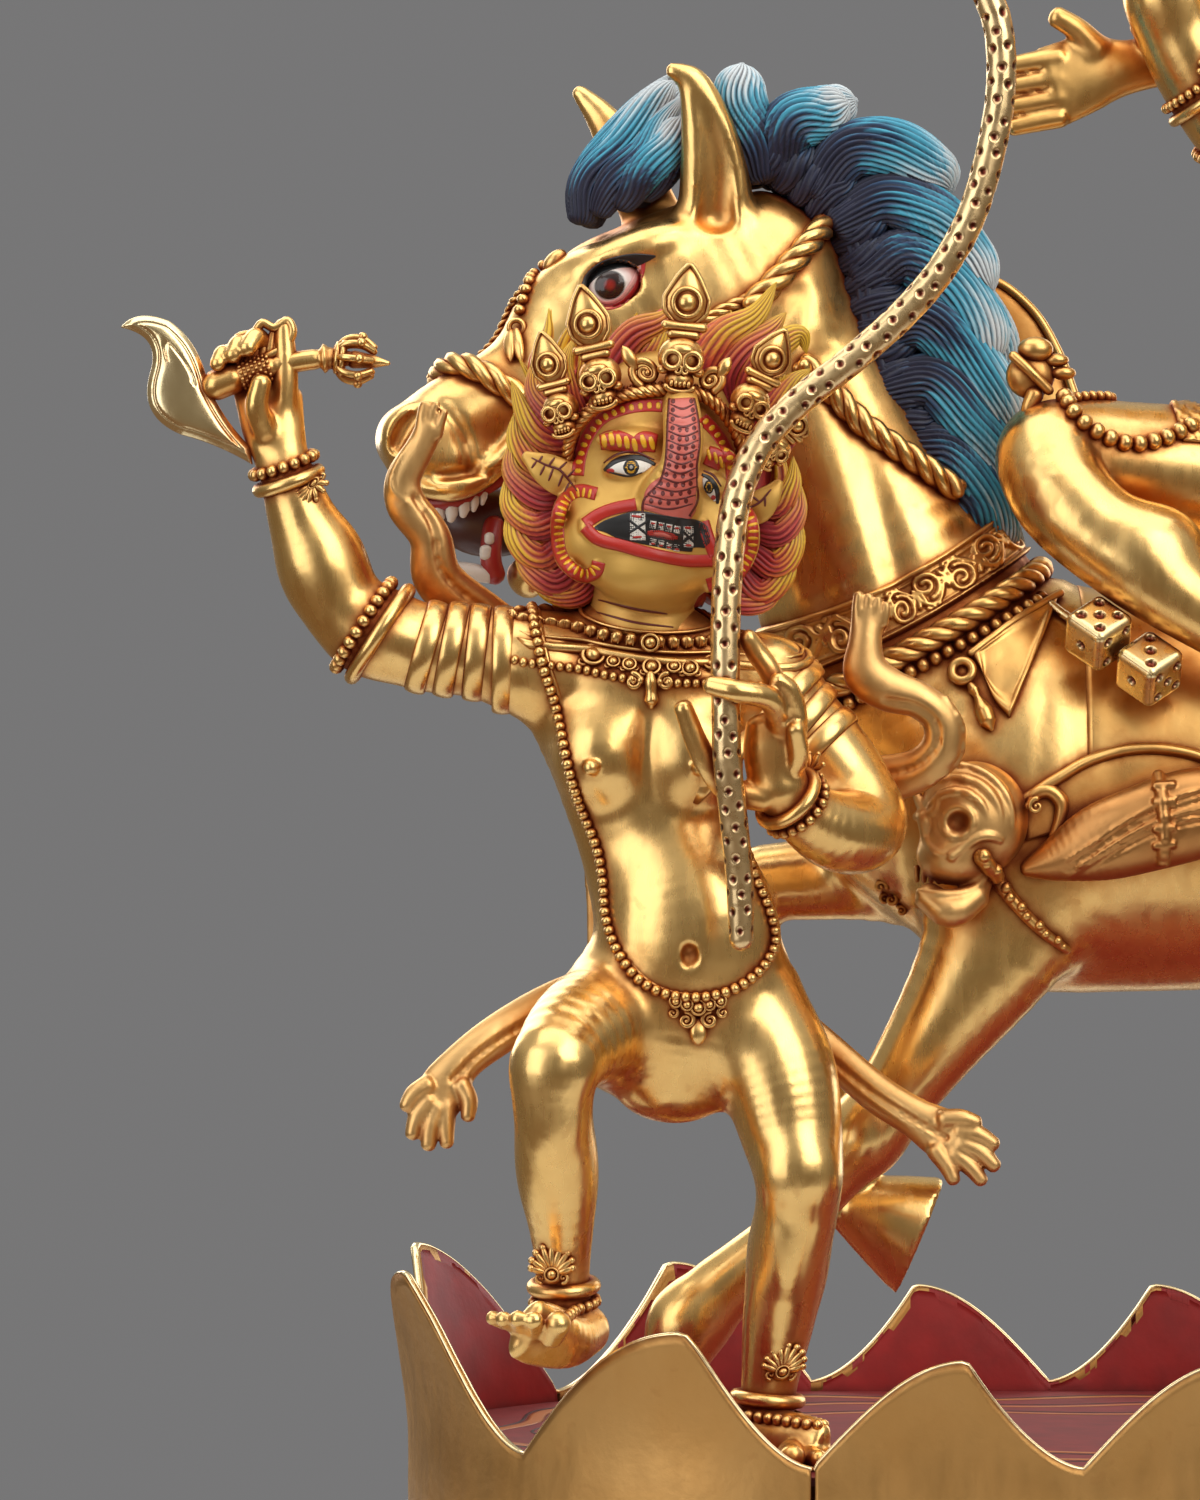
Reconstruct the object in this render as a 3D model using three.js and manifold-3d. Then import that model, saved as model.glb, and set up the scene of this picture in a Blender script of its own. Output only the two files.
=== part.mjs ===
// Gilt copper statue group of a Himalayan protector goddess: an oblong plinth with a collar of wave
// petals, a prancing mule with painted mane and harness, the goddess in the saddle, and the
// makara-nosed attendant who leads the mule with a serpent rein and raises a chopper.
// Millimetres, +Z up. The viewer stands on the -Y side and the mule walks towards -X.
// The origin is the middle of the plinth's underside.
import * as THREE from "three";
import { mergeVertices } from "three/addons/utils/BufferGeometryUtils.js";
import Module from "manifold-3d";

const wasm = await Module();
wasm.setup();

// Fits
const CLEAR = 0.35; // gap between two castings that seat on each other
const BAND = 1.6; // thickness of cuffs, anklets and collars

// Plinth
const PLINTH_LENGTH = 246;
const PLINTH_DEPTH = 146;
const PLINTH_HEIGHT = 36; // underside to the face that the figures stand on
const SHEET = 1.4; // wall, top and closing plates
const LEDGE = 5; // width of the turned-in flange under the top plate
const WAVE_GAUGE = 1.6;
const WAVE_FOOT = 3; // height of a wave strip's lower edge above the underside
const WAVE_RISE = 19; // tip above the plinth's top, along the sides
const WAVE_RISE_ENDS = 31; // the same at the two round ends
const WAVE_FLARE = 3; // how far a tip leans out
const WAVES = 13; // all round the plinth; their tips stand wider apart at the ends
const WAVE_SIDE_PITCH = 43.9; // between two tips along a side
const WAVE_SIDE_LAP = 25; // how far the sides' pitch runs on round each corner
const WAVE_PHASE = 0.41; // waves from the start of the front's pitch to the first wave's foot
const WAVE_VALLEY = 1.5; // lowest point between two waves, above the plinth's top
const WAVE_TIP_AT = 0.56; // share of a wave's pitch at which its tip stands
const WAVE_STRIPS = ["front", "right", "back", "left"];

// The figures: heights that can be chosen, and the heights that the stations below are drawn for
const MULE_HEIGHT = 236; // hooves to ear tips
const ATTENDANT_HEIGHT = 197; // sole to the top of the hair
const GODDESS_HEIGHT = 147; // seat to the top of the hair
const MULE_DRAWN = 236;
const ATTENDANT_DRAWN = 197;
const GODDESS_DRAWN = 147;

// Where the figures stand
const ATTENDANT_INSET = 48; // from the plinth's left end to the attendant's middle
const ATTENDANT_GAP = 18; // from the mule's flank to the attendant's middle
const SEAT_RISE = 1.2; // above the saddle cloth's outer face
const CLOTH = 2.2; // saddle cloth

// Fixings
const STUD_RADIUS = 2;
const STUD_LENGTH = 9;
const NUT_RADIUS = 4;
const NUT_HEIGHT = 3.2;

// Serpent rein, staff and bead chain
const REIN_RADIUS = 2.5;
const STAFF_RADIUS = 1.5;
const BEAD_RADIUS = 1.1;

const paint = (color, roughness, metalness) =>
  new THREE.MeshStandardMaterial({ color, roughness, metalness });
const MATERIALS = {
  gilt: () => paint(0xd9a441, 0.28, 1),
  oldGilt: () => paint(0xc08a36, 0.42, 1),
  faceGold: () => paint(0xd8b04a, 0.6, 0.6),
  redPaint: () => paint(0x8a1a16, 0.6, 0),
  flamePaint: () => paint(0xd2552a, 0.6, 0),
  bluePaint: () => paint(0x2f6f9f, 0.6, 0),
  copper: () => paint(0xa8623a, 0.45, 1),
};

// Stations drawn for one height, in proportion at another.
const sized = (share) => (stations) => stations.map((station) => station.map((v) => v * share));
const MULE_SHARE = MULE_HEIGHT / MULE_DRAWN;
const ATTENDANT_SHARE = ATTENDANT_HEIGHT / ATTENDANT_DRAWN;
const GODDESS_SHARE = GODDESS_HEIGHT / GODDESS_DRAWN;
const ofMule = sized(MULE_SHARE);
const ofAttendant = sized(ATTENDANT_SHARE);
const ofGoddess = sized(GODDESS_SHARE);

// A closed geometry as a solid that can be joined and cut.
function solidOf(geometry) {
  const plain = new THREE.BufferGeometry();
  plain.setAttribute("position", geometry.getAttribute("position"));
  if (geometry.index) plain.setIndex(geometry.index);
  const merged = mergeVertices(plain, 1e-4);
  return new wasm.Manifold(
    new wasm.Mesh({
      numProp: 3,
      vertProperties: new Float32Array(merged.attributes.position.array),
      triVerts: new Uint32Array(merged.index.array),
    }),
  );
}

// The same solid back as a geometry.
function geometryOf(solid) {
  const mesh = solid.getMesh();
  const positions = new Float32Array(mesh.numVert * 3);
  for (let i = 0; i < mesh.numVert; i++)
    positions.set(mesh.vertProperties.subarray(i * mesh.numProp, i * mesh.numProp + 3), i * 3);
  const geometry = new THREE.BufferGeometry();
  geometry.setAttribute("position", new THREE.BufferAttribute(positions, 3));
  geometry.setIndex(new THREE.BufferAttribute(new Uint32Array(mesh.triVerts), 1));
  return geometry;
}

// The biggest separate piece of a solid: what is left of a casting after its neighbours are cut away.
function biggest(solid) {
  return solid
    .decompose()
    .reduce((best, piece) => (piece.volume() > best.volume() ? piece : best));
}

const join = (...solids) => solids.reduce((all, next) => all.add(next));
const seat = (solid, ...neighbours) =>
  biggest(neighbours.reduce((rest, next) => rest.subtract(next), solid));

// A closed skin through rings of points, each ring with the same count, with a pole at each end.
function skin(rings, startPole, endPole) {
  const sides = rings[0].length;
  const points = [startPole, ...rings.flat(), endPole];
  const at = (ring, side) => 1 + ring * sides + (side % sides);
  const faces = [];
  for (let s = 0; s < sides; s++) faces.push(0, at(0, s + 1), at(0, s));
  for (let r = 0; r + 1 < rings.length; r++)
    for (let s = 0; s < sides; s++) {
      faces.push(at(r, s), at(r, s + 1), at(r + 1, s + 1));
      faces.push(at(r, s), at(r + 1, s + 1), at(r + 1, s));
    }
  const last = rings.length - 1;
  for (let s = 0; s < sides; s++) faces.push(points.length - 1, at(last, s), at(last, s + 1));
  const geometry = new THREE.BufferGeometry();
  geometry.setAttribute(
    "position",
    new THREE.Float32BufferAttribute(points.flatMap((p) => [p.x, p.y, p.z]), 3),
  );
  geometry.setIndex(faces);
  return geometry;
}

// A limb: a smooth run of oval sections. Each station is [x, y, z, across, deep]: the section's centre,
// its half width in the plane that faces the viewer, and its half depth. `grow` swells it by a
// clearance or a thickness, `from` and `to` take a stretch of it, and `flat` ends it square.
const DEPTH = new THREE.Vector3(0, 1, 0);
const TURN_STEPS = 48; // steps in which the sections' starting point is carried along the limb
function limb(stations, options = {}) {
  const { sides = 8, rings = 7, from = 0, to = 1, grow = 0, flat = false, round = 0.8 } = options;
  const centres = stations.map(([x, y, z]) => new THREE.Vector3(x, y, z));
  const sizes = stations.map(([, , , across, deep = across]) => new THREE.Vector3(across, deep, 0));
  const path = new THREE.CatmullRomCurve3(centres);
  const widths = new THREE.CatmullRomCurve3(sizes);
  const acrossAt = (along) => new THREE.Vector3().crossVectors(DEPTH, along).normalize();
  const guideAt = (t) => {
    const guide = acrossAt(path.getTangent(0));
    for (let i = 1; i <= TURN_STEPS; i++)
      guide.projectOnPlane(path.getTangent((t * i) / TURN_STEPS)).normalize();
    return guide;
  };
  const ring = (t, shift, scale) => {
    const along = path.getTangent(t);
    const across = acrossAt(along);
    const deep = new THREE.Vector3().crossVectors(along, across);
    const guide = guideAt(t);
    const other = new THREE.Vector3().crossVectors(along, guide);
    const centre = path.getPoint(t).addScaledVector(along, shift);
    const size = widths.getPoint(t);
    return Array.from({ length: sides }, (_, i) => {
      const angle = (2 * Math.PI * i) / sides;
      const ray = guide.clone().multiplyScalar(Math.cos(angle)).addScaledVector(other, Math.sin(angle));
      const a = ray.dot(across) / (size.x + grow);
      const b = ray.dot(deep) / (size.y + grow);
      return centre.clone().addScaledVector(ray, scale / Math.hypot(a, b));
    });
  };
  const pole = (t, shift) => path.getPoint(t).addScaledVector(path.getTangent(t), shift);
  const body = Array.from({ length: rings }, (_, i) => {
    const end = i === 0 ? -1 : i === rings - 1 ? 1 : 0;
    return ring(from + ((to - from) * i) / (rings - 1), flat ? end * grow : 0, 1);
  });
  if (flat) return solidOf(skin(body, pole(from, -grow), pole(to, grow)));
  const capOf = (t) => (Math.min(widths.getPoint(t).x, widths.getPoint(t).y) + grow) * round;
  const [startCap, endCap] = [capOf(from), capOf(to)];
  const startRing = ring(from, -startCap * Math.SQRT1_2, Math.SQRT1_2);
  const endRing = ring(to, endCap * Math.SQRT1_2, Math.SQRT1_2);
  return solidOf(skin([startRing, ...body, endRing], pole(from, -startCap), pole(to, endCap)));
}

// A ball or egg, as a solid.
function egg([x, y, z], [rx, ry, rz], grow = 0) {
  const geometry = new THREE.SphereGeometry(1, 10, 6);
  geometry.scale(rx + grow, ry + grow, rz + grow);
  geometry.translate(x, y, z);
  return solidOf(geometry);
}

// A box between two corners, as a solid.
function block([x0, y0, z0], [x1, y1, z1]) {
  const geometry = new THREE.BoxGeometry(x1 - x0, y1 - y0, z1 - z0);
  geometry.translate((x0 + x1) / 2, (y0 + y1) / 2, (z0 + z1) / 2);
  return solidOf(geometry);
}

// Everything below z = 0 in a figure's frame: it cuts soles and hooves flat.
const ground = () =>
  block([-PLINTH_LENGTH, -PLINTH_LENGTH, -PLINTH_HEIGHT], [PLINTH_LENGTH, PLINTH_LENGTH, 0]);

// An upright cylinder from z0 to z1, as a solid.
function post([x, y], radius, z0, z1, sides = 12) {
  const geometry = new THREE.CylinderGeometry(radius, radius, z1 - z0, sides);
  geometry.rotateX(Math.PI / 2);
  geometry.translate(x, y, (z0 + z1) / 2);
  return solidOf(geometry);
}

function mesh(name, solid, material) {
  const made = new THREE.Mesh(geometryOf(solid), material());
  made.name = name;
  return made;
}

// The plinth's outline grown outwards: two straight sides joined by two half rounds.
function stadium(grow) {
  const radius = PLINTH_DEPTH / 2;
  const straight = PLINTH_LENGTH / 2 - radius;
  const shape = new THREE.Shape();
  shape.absarc(straight, 0, radius + grow, -Math.PI / 2, Math.PI / 2);
  shape.absarc(-straight, 0, radius + grow, Math.PI / 2, (3 * Math.PI) / 2);
  return shape;
}

function slab(grow, z0, z1) {
  const geometry = new THREE.ExtrudeGeometry(stadium(grow), {
    depth: z1 - z0,
    bevelEnabled: false,
    curveSegments: 8,
  });
  geometry.translate(0, 0, z0);
  return solidOf(geometry);
}

// A point on the plinth's outline, measured round it from the front's left corner, with its outward
// direction.
function onOutline(distance, out) {
  const radius = PLINTH_DEPTH / 2;
  const straight = PLINTH_LENGTH - PLINTH_DEPTH;
  const half = Math.PI * radius;
  const round = 2 * (straight + half);
  const d = ((distance % round) + round) % round;
  if (d < straight) return [-straight / 2 + d, -radius - out];
  if (d < straight + half) {
    const angle = -Math.PI / 2 + (d - straight) / radius;
    return [straight / 2 + Math.cos(angle) * (radius + out), Math.sin(angle) * (radius + out)];
  }
  if (d < 2 * straight + half) return [straight / 2 - (d - straight - half), radius + out];
  const angle = Math.PI / 2 + (d - 2 * straight - half) / radius;
  return [-straight / 2 + Math.cos(angle) * (radius + out), Math.sin(angle) * (radius + out)];
}
const OUTLINE_LENGTH = 2 * (PLINTH_LENGTH - PLINTH_DEPTH) + Math.PI * PLINTH_DEPTH;

// Where wave number n lies on the outline. Half the outline is one side, with its laps, and one end.
const HALF_OUTLINE = OUTLINE_LENGTH / 2;
const SIDE_RUN = PLINTH_LENGTH - PLINTH_DEPTH + 2 * WAVE_SIDE_LAP;
const SIDE_WAVES = SIDE_RUN / WAVE_SIDE_PITCH;
const END_PITCH = (HALF_OUTLINE - SIDE_RUN) / (WAVES / 2 - SIDE_WAVES);
function distanceAt(n) {
  const half = Math.floor(n / (WAVES / 2));
  const rest = n - (half * WAVES) / 2;
  const side = Math.min(rest, SIDE_WAVES) * WAVE_SIDE_PITCH;
  const end = Math.max(0, rest - SIDE_WAVES) * END_PITCH;
  return half * HALF_OUTLINE - WAVE_SIDE_LAP + side + end;
}

// Height of a wave's edge above the plinth's top, at share `u` of its pitch: a rounded rise, a tip, and
// a hollow fall.
function waveEdge(u, rise) {
  const fall = (1 - u) / (1 - WAVE_TIP_AT);
  const share = u < WAVE_TIP_AT ? Math.sin((u / WAVE_TIP_AT) * (Math.PI / 2)) : fall ** 1.7;
  return WAVE_VALLEY + (rise - WAVE_VALLEY) * share;
}

function riseAt(distance) {
  const [x] = onOutline(distance, 0);
  const straight = PLINTH_LENGTH / 2 - PLINTH_DEPTH / 2;
  const share = Math.min(1, Math.max(0, (Math.abs(x) - straight) / (PLINTH_DEPTH / 2)));
  return WAVE_RISE + (WAVE_RISE_ENDS - WAVE_RISE) * share;
}

// One strip of the collar: sheet with a waved upper edge that leans out towards its tips. It holds the
// waves numbered from `first` up to `last`, and keeps half a gap to the next strip at each end.
const RISE_STEPS = 4;
const FALL_STEPS = 3;
const STRIP_ROWS = [0, 0.64, 1];
const LEAN_POWER = 1.5; // the sheet leans ever faster towards its tips
function waveStrip(first, last) {
  const stops = [];
  for (let wave = first; wave < last; wave++) {
    for (let i = 0; i < RISE_STEPS; i++) stops.push([wave, (WAVE_TIP_AT * i) / RISE_STEPS]);
    for (let i = 0; i < FALL_STEPS; i++)
      stops.push([wave, WAVE_TIP_AT + ((1 - WAVE_TIP_AT) * i) / FALL_STEPS]);
  }
  stops.push([last - 1, 1]);
  const columns = stops.length - 1;
  const outer = [];
  const inner = [];
  stops.forEach(([wave, u], c) => {
    const trim = c === 0 ? CLEAR : c === columns ? -CLEAR : 0;
    const distance = distanceAt(WAVE_PHASE + wave + u) + trim;
    const tip = distanceAt(WAVE_PHASE + wave + WAVE_TIP_AT);
    const top = PLINTH_HEIGHT + waveEdge(u, riseAt(tip));
    for (const v of STRIP_ROWS) {
      const z = WAVE_FOOT + (top - WAVE_FOOT) * v;
      const lean = CLEAR + WAVE_FLARE * Math.max(0, (z - PLINTH_HEIGHT) / WAVE_RISE) ** LEAN_POWER;
      outer.push([...onOutline(distance, lean + WAVE_GAUGE), z]);
      inner.push([...onOutline(distance, lean), z]);
    }
  });
  const points = [...outer, ...inner];
  const rowCount = STRIP_ROWS.length;
  const at = (layer, c, r) => layer * outer.length + c * rowCount + r;
  const faces = [];
  const quad = (a, b, c, d) => faces.push(a, b, c, a, c, d);
  for (let c = 0; c < columns; c++) {
    for (let r = 0; r + 1 < rowCount; r++) {
      quad(at(0, c, r), at(0, c + 1, r), at(0, c + 1, r + 1), at(0, c, r + 1));
      quad(at(1, c, r), at(1, c, r + 1), at(1, c + 1, r + 1), at(1, c + 1, r));
    }
    const top = rowCount - 1;
    quad(at(0, c, top), at(0, c + 1, top), at(1, c + 1, top), at(1, c, top));
    quad(at(0, c, 0), at(1, c, 0), at(1, c + 1, 0), at(0, c + 1, 0));
  }
  for (let r = 0; r + 1 < rowCount; r++) {
    quad(at(0, 0, r), at(0, 0, r + 1), at(1, 0, r + 1), at(1, 0, r));
    quad(at(0, columns, r), at(1, columns, r), at(1, columns, r + 1), at(0, columns, r + 1));
  }
  const geometry = new THREE.BufferGeometry();
  geometry.setAttribute("position", new THREE.Float32BufferAttribute(points.flat(), 3));
  geometry.setIndex(faces);
  return solidOf(geometry);
}

function plinth() {
  const group = new THREE.Group();
  const wallTop = PLINTH_HEIGHT - SHEET;
  const closing = slab(0, 0, SHEET);
  const wall = slab(0, SHEET, wallTop)
    .subtract(slab(-SHEET, 0, wallTop - SHEET))
    .subtract(slab(-SHEET - LEDGE, 0, PLINTH_HEIGHT));
  const holes = STUDS.map(([x, y]) => post([x, y], STUD_RADIUS + CLEAR, 0, PLINTH_HEIGHT + 1));
  const top = seat(slab(0, wallTop, PLINTH_HEIGHT), ...holes);
  group.add(mesh("closing_plate", closing, MATERIALS.copper));
  group.add(mesh("plinth_wall", wall, MATERIALS.oldGilt));
  group.add(mesh("top_plate", top, MATERIALS.redPaint));

  const joint = (i) => Math.round((WAVES * i) / WAVE_STRIPS.length);
  WAVE_STRIPS.forEach((place, i) => {
    group.add(mesh(`wave_strip_${place}`, waveStrip(joint(i), joint(i + 1)), MATERIALS.oldGilt));
  });

  STUDS.forEach(([x, y, name]) => {
    const nutTop = wallTop - CLEAR;
    const nut = post([x, y], NUT_RADIUS, nutTop - NUT_HEIGHT, nutTop, 6).subtract(
      post([x, y], STUD_RADIUS + CLEAR, 0, PLINTH_HEIGHT),
    );
    group.add(mesh(`${name}_nut`, nut, MATERIALS.copper));
  });
  return group;
}

// The studs under the near hooves, [x, y], and the three hooves that stand: [x, y, reach], with the
// pastern's place and how far the sole's middle lies ahead of it, towards -X.
const [MULE_FORE_STUD, MULE_HIND_STUD] = ofMule([
  [-85, -13],
  [82, -14],
]);
const [HOOF_FORE_NEAR, HOOF_HIND_NEAR, HOOF_HIND_FAR] = ofMule([
  [-80, -13, 8],
  [84, -14, 5],
  [98, 14, 5],
]);
const HOOF_LEVELS = ofMule([
  [0, 9.3, 6.4],
  [1.6, 9.5, 6.6],
  [9, 5.2, 5],
]); // height, half length and half width of the sole, its rim and the coronet
const HOOF_SIDES = 8;
function hoof([x, y, reach]) {
  const coronet = HOOF_LEVELS.length - 1;
  const rings = HOOF_LEVELS.map(([z, across, deep], level) =>
    Array.from({ length: HOOF_SIDES }, (_, i) => {
      const angle = (2 * Math.PI * i) / HOOF_SIDES;
      const centre = level === coronet ? x : x - reach;
      return new THREE.Vector3(centre + Math.cos(angle) * across, y + Math.sin(angle) * deep, z);
    }),
  );
  const top = HOOF_LEVELS[coronet][0] + CLEAR;
  return solidOf(skin(rings, new THREE.Vector3(x - reach, y, 0), new THREE.Vector3(x, y, top)));
}

// The mule, in its own frame: X as the plinth, Z up from the plinth's top.
const BARREL = ofMule([
  [-34, 0, 113, 21, 19],
  [-22, 0, 111.5, 33, 25],
  [4, 0, 110.5, 35, 28],
  [38, 0, 111.5, 33.5, 28],
  [73, 0, 113, 33, 27],
  [93, 0, 114, 26, 22],
]);
const NECK = ofMule([
  [-60, 1, 202, 10, 9],
  [-57, 1, 181, 17, 13],
  [-48, 0, 158, 20.5, 15.5],
  [-37, 0, 136, 26, 19.5],
  [-25, 0, 115, 31, 24],
]);
const SKULL = ofMule([
  [-61, 1, 203, 13, 10.5],
  [-76, -1, 196.5, 16.5, 12.5],
  [-92, -4, 188.5, 13.5, 10.5],
  [-105.5, -7, 179.5, 10, 8.5],
  [-117, -9.5, 174, 8.7, 8],
  [-124.5, -11, 170, 7, 7.4],
]);
const JAW = ofMule([
  [-72, 0, 182, 11, 9.5],
  [-86, -3, 166, 6.5, 7],
  [-97, -6, 154, 4.4, 6],
  [-104.5, -8, 147.5, 3.8, 5.4],
]);
const FORELEG_NEAR = ofMule([
  [-18, -15, 100, 18, 10],
  [-25, -17, 84, 12.5, 9],
  [-36, -16.5, 67, 8.2, 7.2],
  [-45, -15.5, 54, 6.3, 6.1],
  [-59, -14.5, 37, 4.6, 4.6],
  [-76.5, -13.5, 19.5, 6.8, 5.3],
  [-80, -13, 8.5, 4.8, 4.8],
]);
const FORELEG_FAR = ofMule([
  [-34, 12, 100, 13, 10],
  [-52, 14, 96, 7.6, 7],
  [-67, 15.5, 93, 6.4, 6],
  [-62, 15.5, 78, 4.7, 4.7],
  [-52, 15, 57, 4.7, 4.7],
  [-47.5, 15, 43, 5.5, 5.3],
]);
const HOOF_FAR = ofMule([
  [-46.5, 15, 37.7, 6, 5.4],
  [-35.4, 15, 33, 11.3, 6.8],
]);
const HINDLEG_NEAR = ofMule([
  [84, -13, 104, 20, 12],
  [80, -15.5, 82, 13.5, 10],
  [88, -15.5, 63, 8.5, 7.5],
  [97, -15, 47, 6.5, 6],
  [93, -14.5, 30, 4.7, 4.7],
  [89, -14, 16, 5.6, 5.3],
  [84, -14, 9, 4.7, 4.7],
]);
const HINDLEG_FAR = ofMule([
  [88, 13, 104, 19, 12],
  [92, 15.5, 80, 12.5, 10],
  [102, 15.5, 62, 8.2, 7.5],
  [111, 15, 48, 6.5, 6],
  [107, 14.5, 30, 4.7, 4.7],
  [103, 14, 16, 5.6, 5.3],
  [98, 14, 9, 4.7, 4.7],
]);
const TAIL = ofMule([
  [103, 0, 128, 6, 6],
  [116, 0, 133, 7.5, 7],
  [126, 1, 122, 8.5, 7.5],
  [130, 2, 104, 9.5, 8],
  [127, 3, 84, 9, 7],
  [131, 4, 66, 6, 5],
  [127, 4, 54, 2.5, 2.5],
]);
const MANE = ofMule([
  [-68, 2, 221, 8, 4],
  [-56, 2, 222, 10, 5],
  [-43, 2, 210, 12.5, 6],
  [-35, 1, 193, 14, 6.5],
  [-27, 0, 175, 14, 7],
  [-21, 0, 162, 10, 7],
  [-22, 0, 153, 5, 4],
]);
const FORELOCK = ofMule([
  [-96, -2, 206, 3.5, 5],
  [-90, -1, 213, 6.5, 7],
  [-82, 0, 219, 7, 7],
  [-75, 1, 225, 4, 5],
]);
const EAR_NEAR = ofMule([
  [-73, -6, 208, 6.5, 3.5],
  [-72.5, -8, 218, 5.8, 3.2],
  [-74, -9.5, 228, 3.8, 2.6],
  [-78, -10.5, 235, 1.8, 1.6],
]);
const EAR_FAR = ofMule([
  [-83, 8, 212, 5, 3.5],
  [-87, 10, 221, 4.4, 3.2],
  [-91, 11, 229, 3, 2.4],
  [-95, 11.5, 234, 1.5, 1.4],
]);
const LEG_RINGS = 9;
const HEAD_BAND_FROM = 0.64; // the noseband's place along the skull
const CHEEK_ROPE = ofMule([
  [-86, -14.5, 193, 1.7],
  [-76, -15, 200, 1.7],
  [-66, -13.6, 207, 1.7],
  [-58.5, -10.5, 214, 1.7],
]);
const COLLAR = { from: 0.62, to: 0.72 }; // breast collar, as shares of the neck
const COLLAR_ROPE = { from: 0.73, to: 0.77 };

const barrel = (grow) => limb(BARREL, { sides: 12, rings: 8, grow });
const neck = (grow, stretch = {}) => limb(NECK, { sides: 12, rings: 7, grow, ...stretch });
const trunkOfMule = (grow) => join(barrel(grow), neck(grow));
const skull = (grow) => limb(SKULL, { sides: 10, rings: 7, grow });

// The breast collar: a scrolled band with a thick twisted rope along its lower edge.
const ROPE_PROUD = 3.4; // how far the rope stands off the neck
function breastCollar(grow) {
  const band = neck(BAND + grow, { ...COLLAR, rings: 3, flat: true });
  const rope = neck(ROPE_PROUD + grow, { ...COLLAR_ROPE, rings: 2, flat: true });
  return band.add(rope);
}

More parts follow.
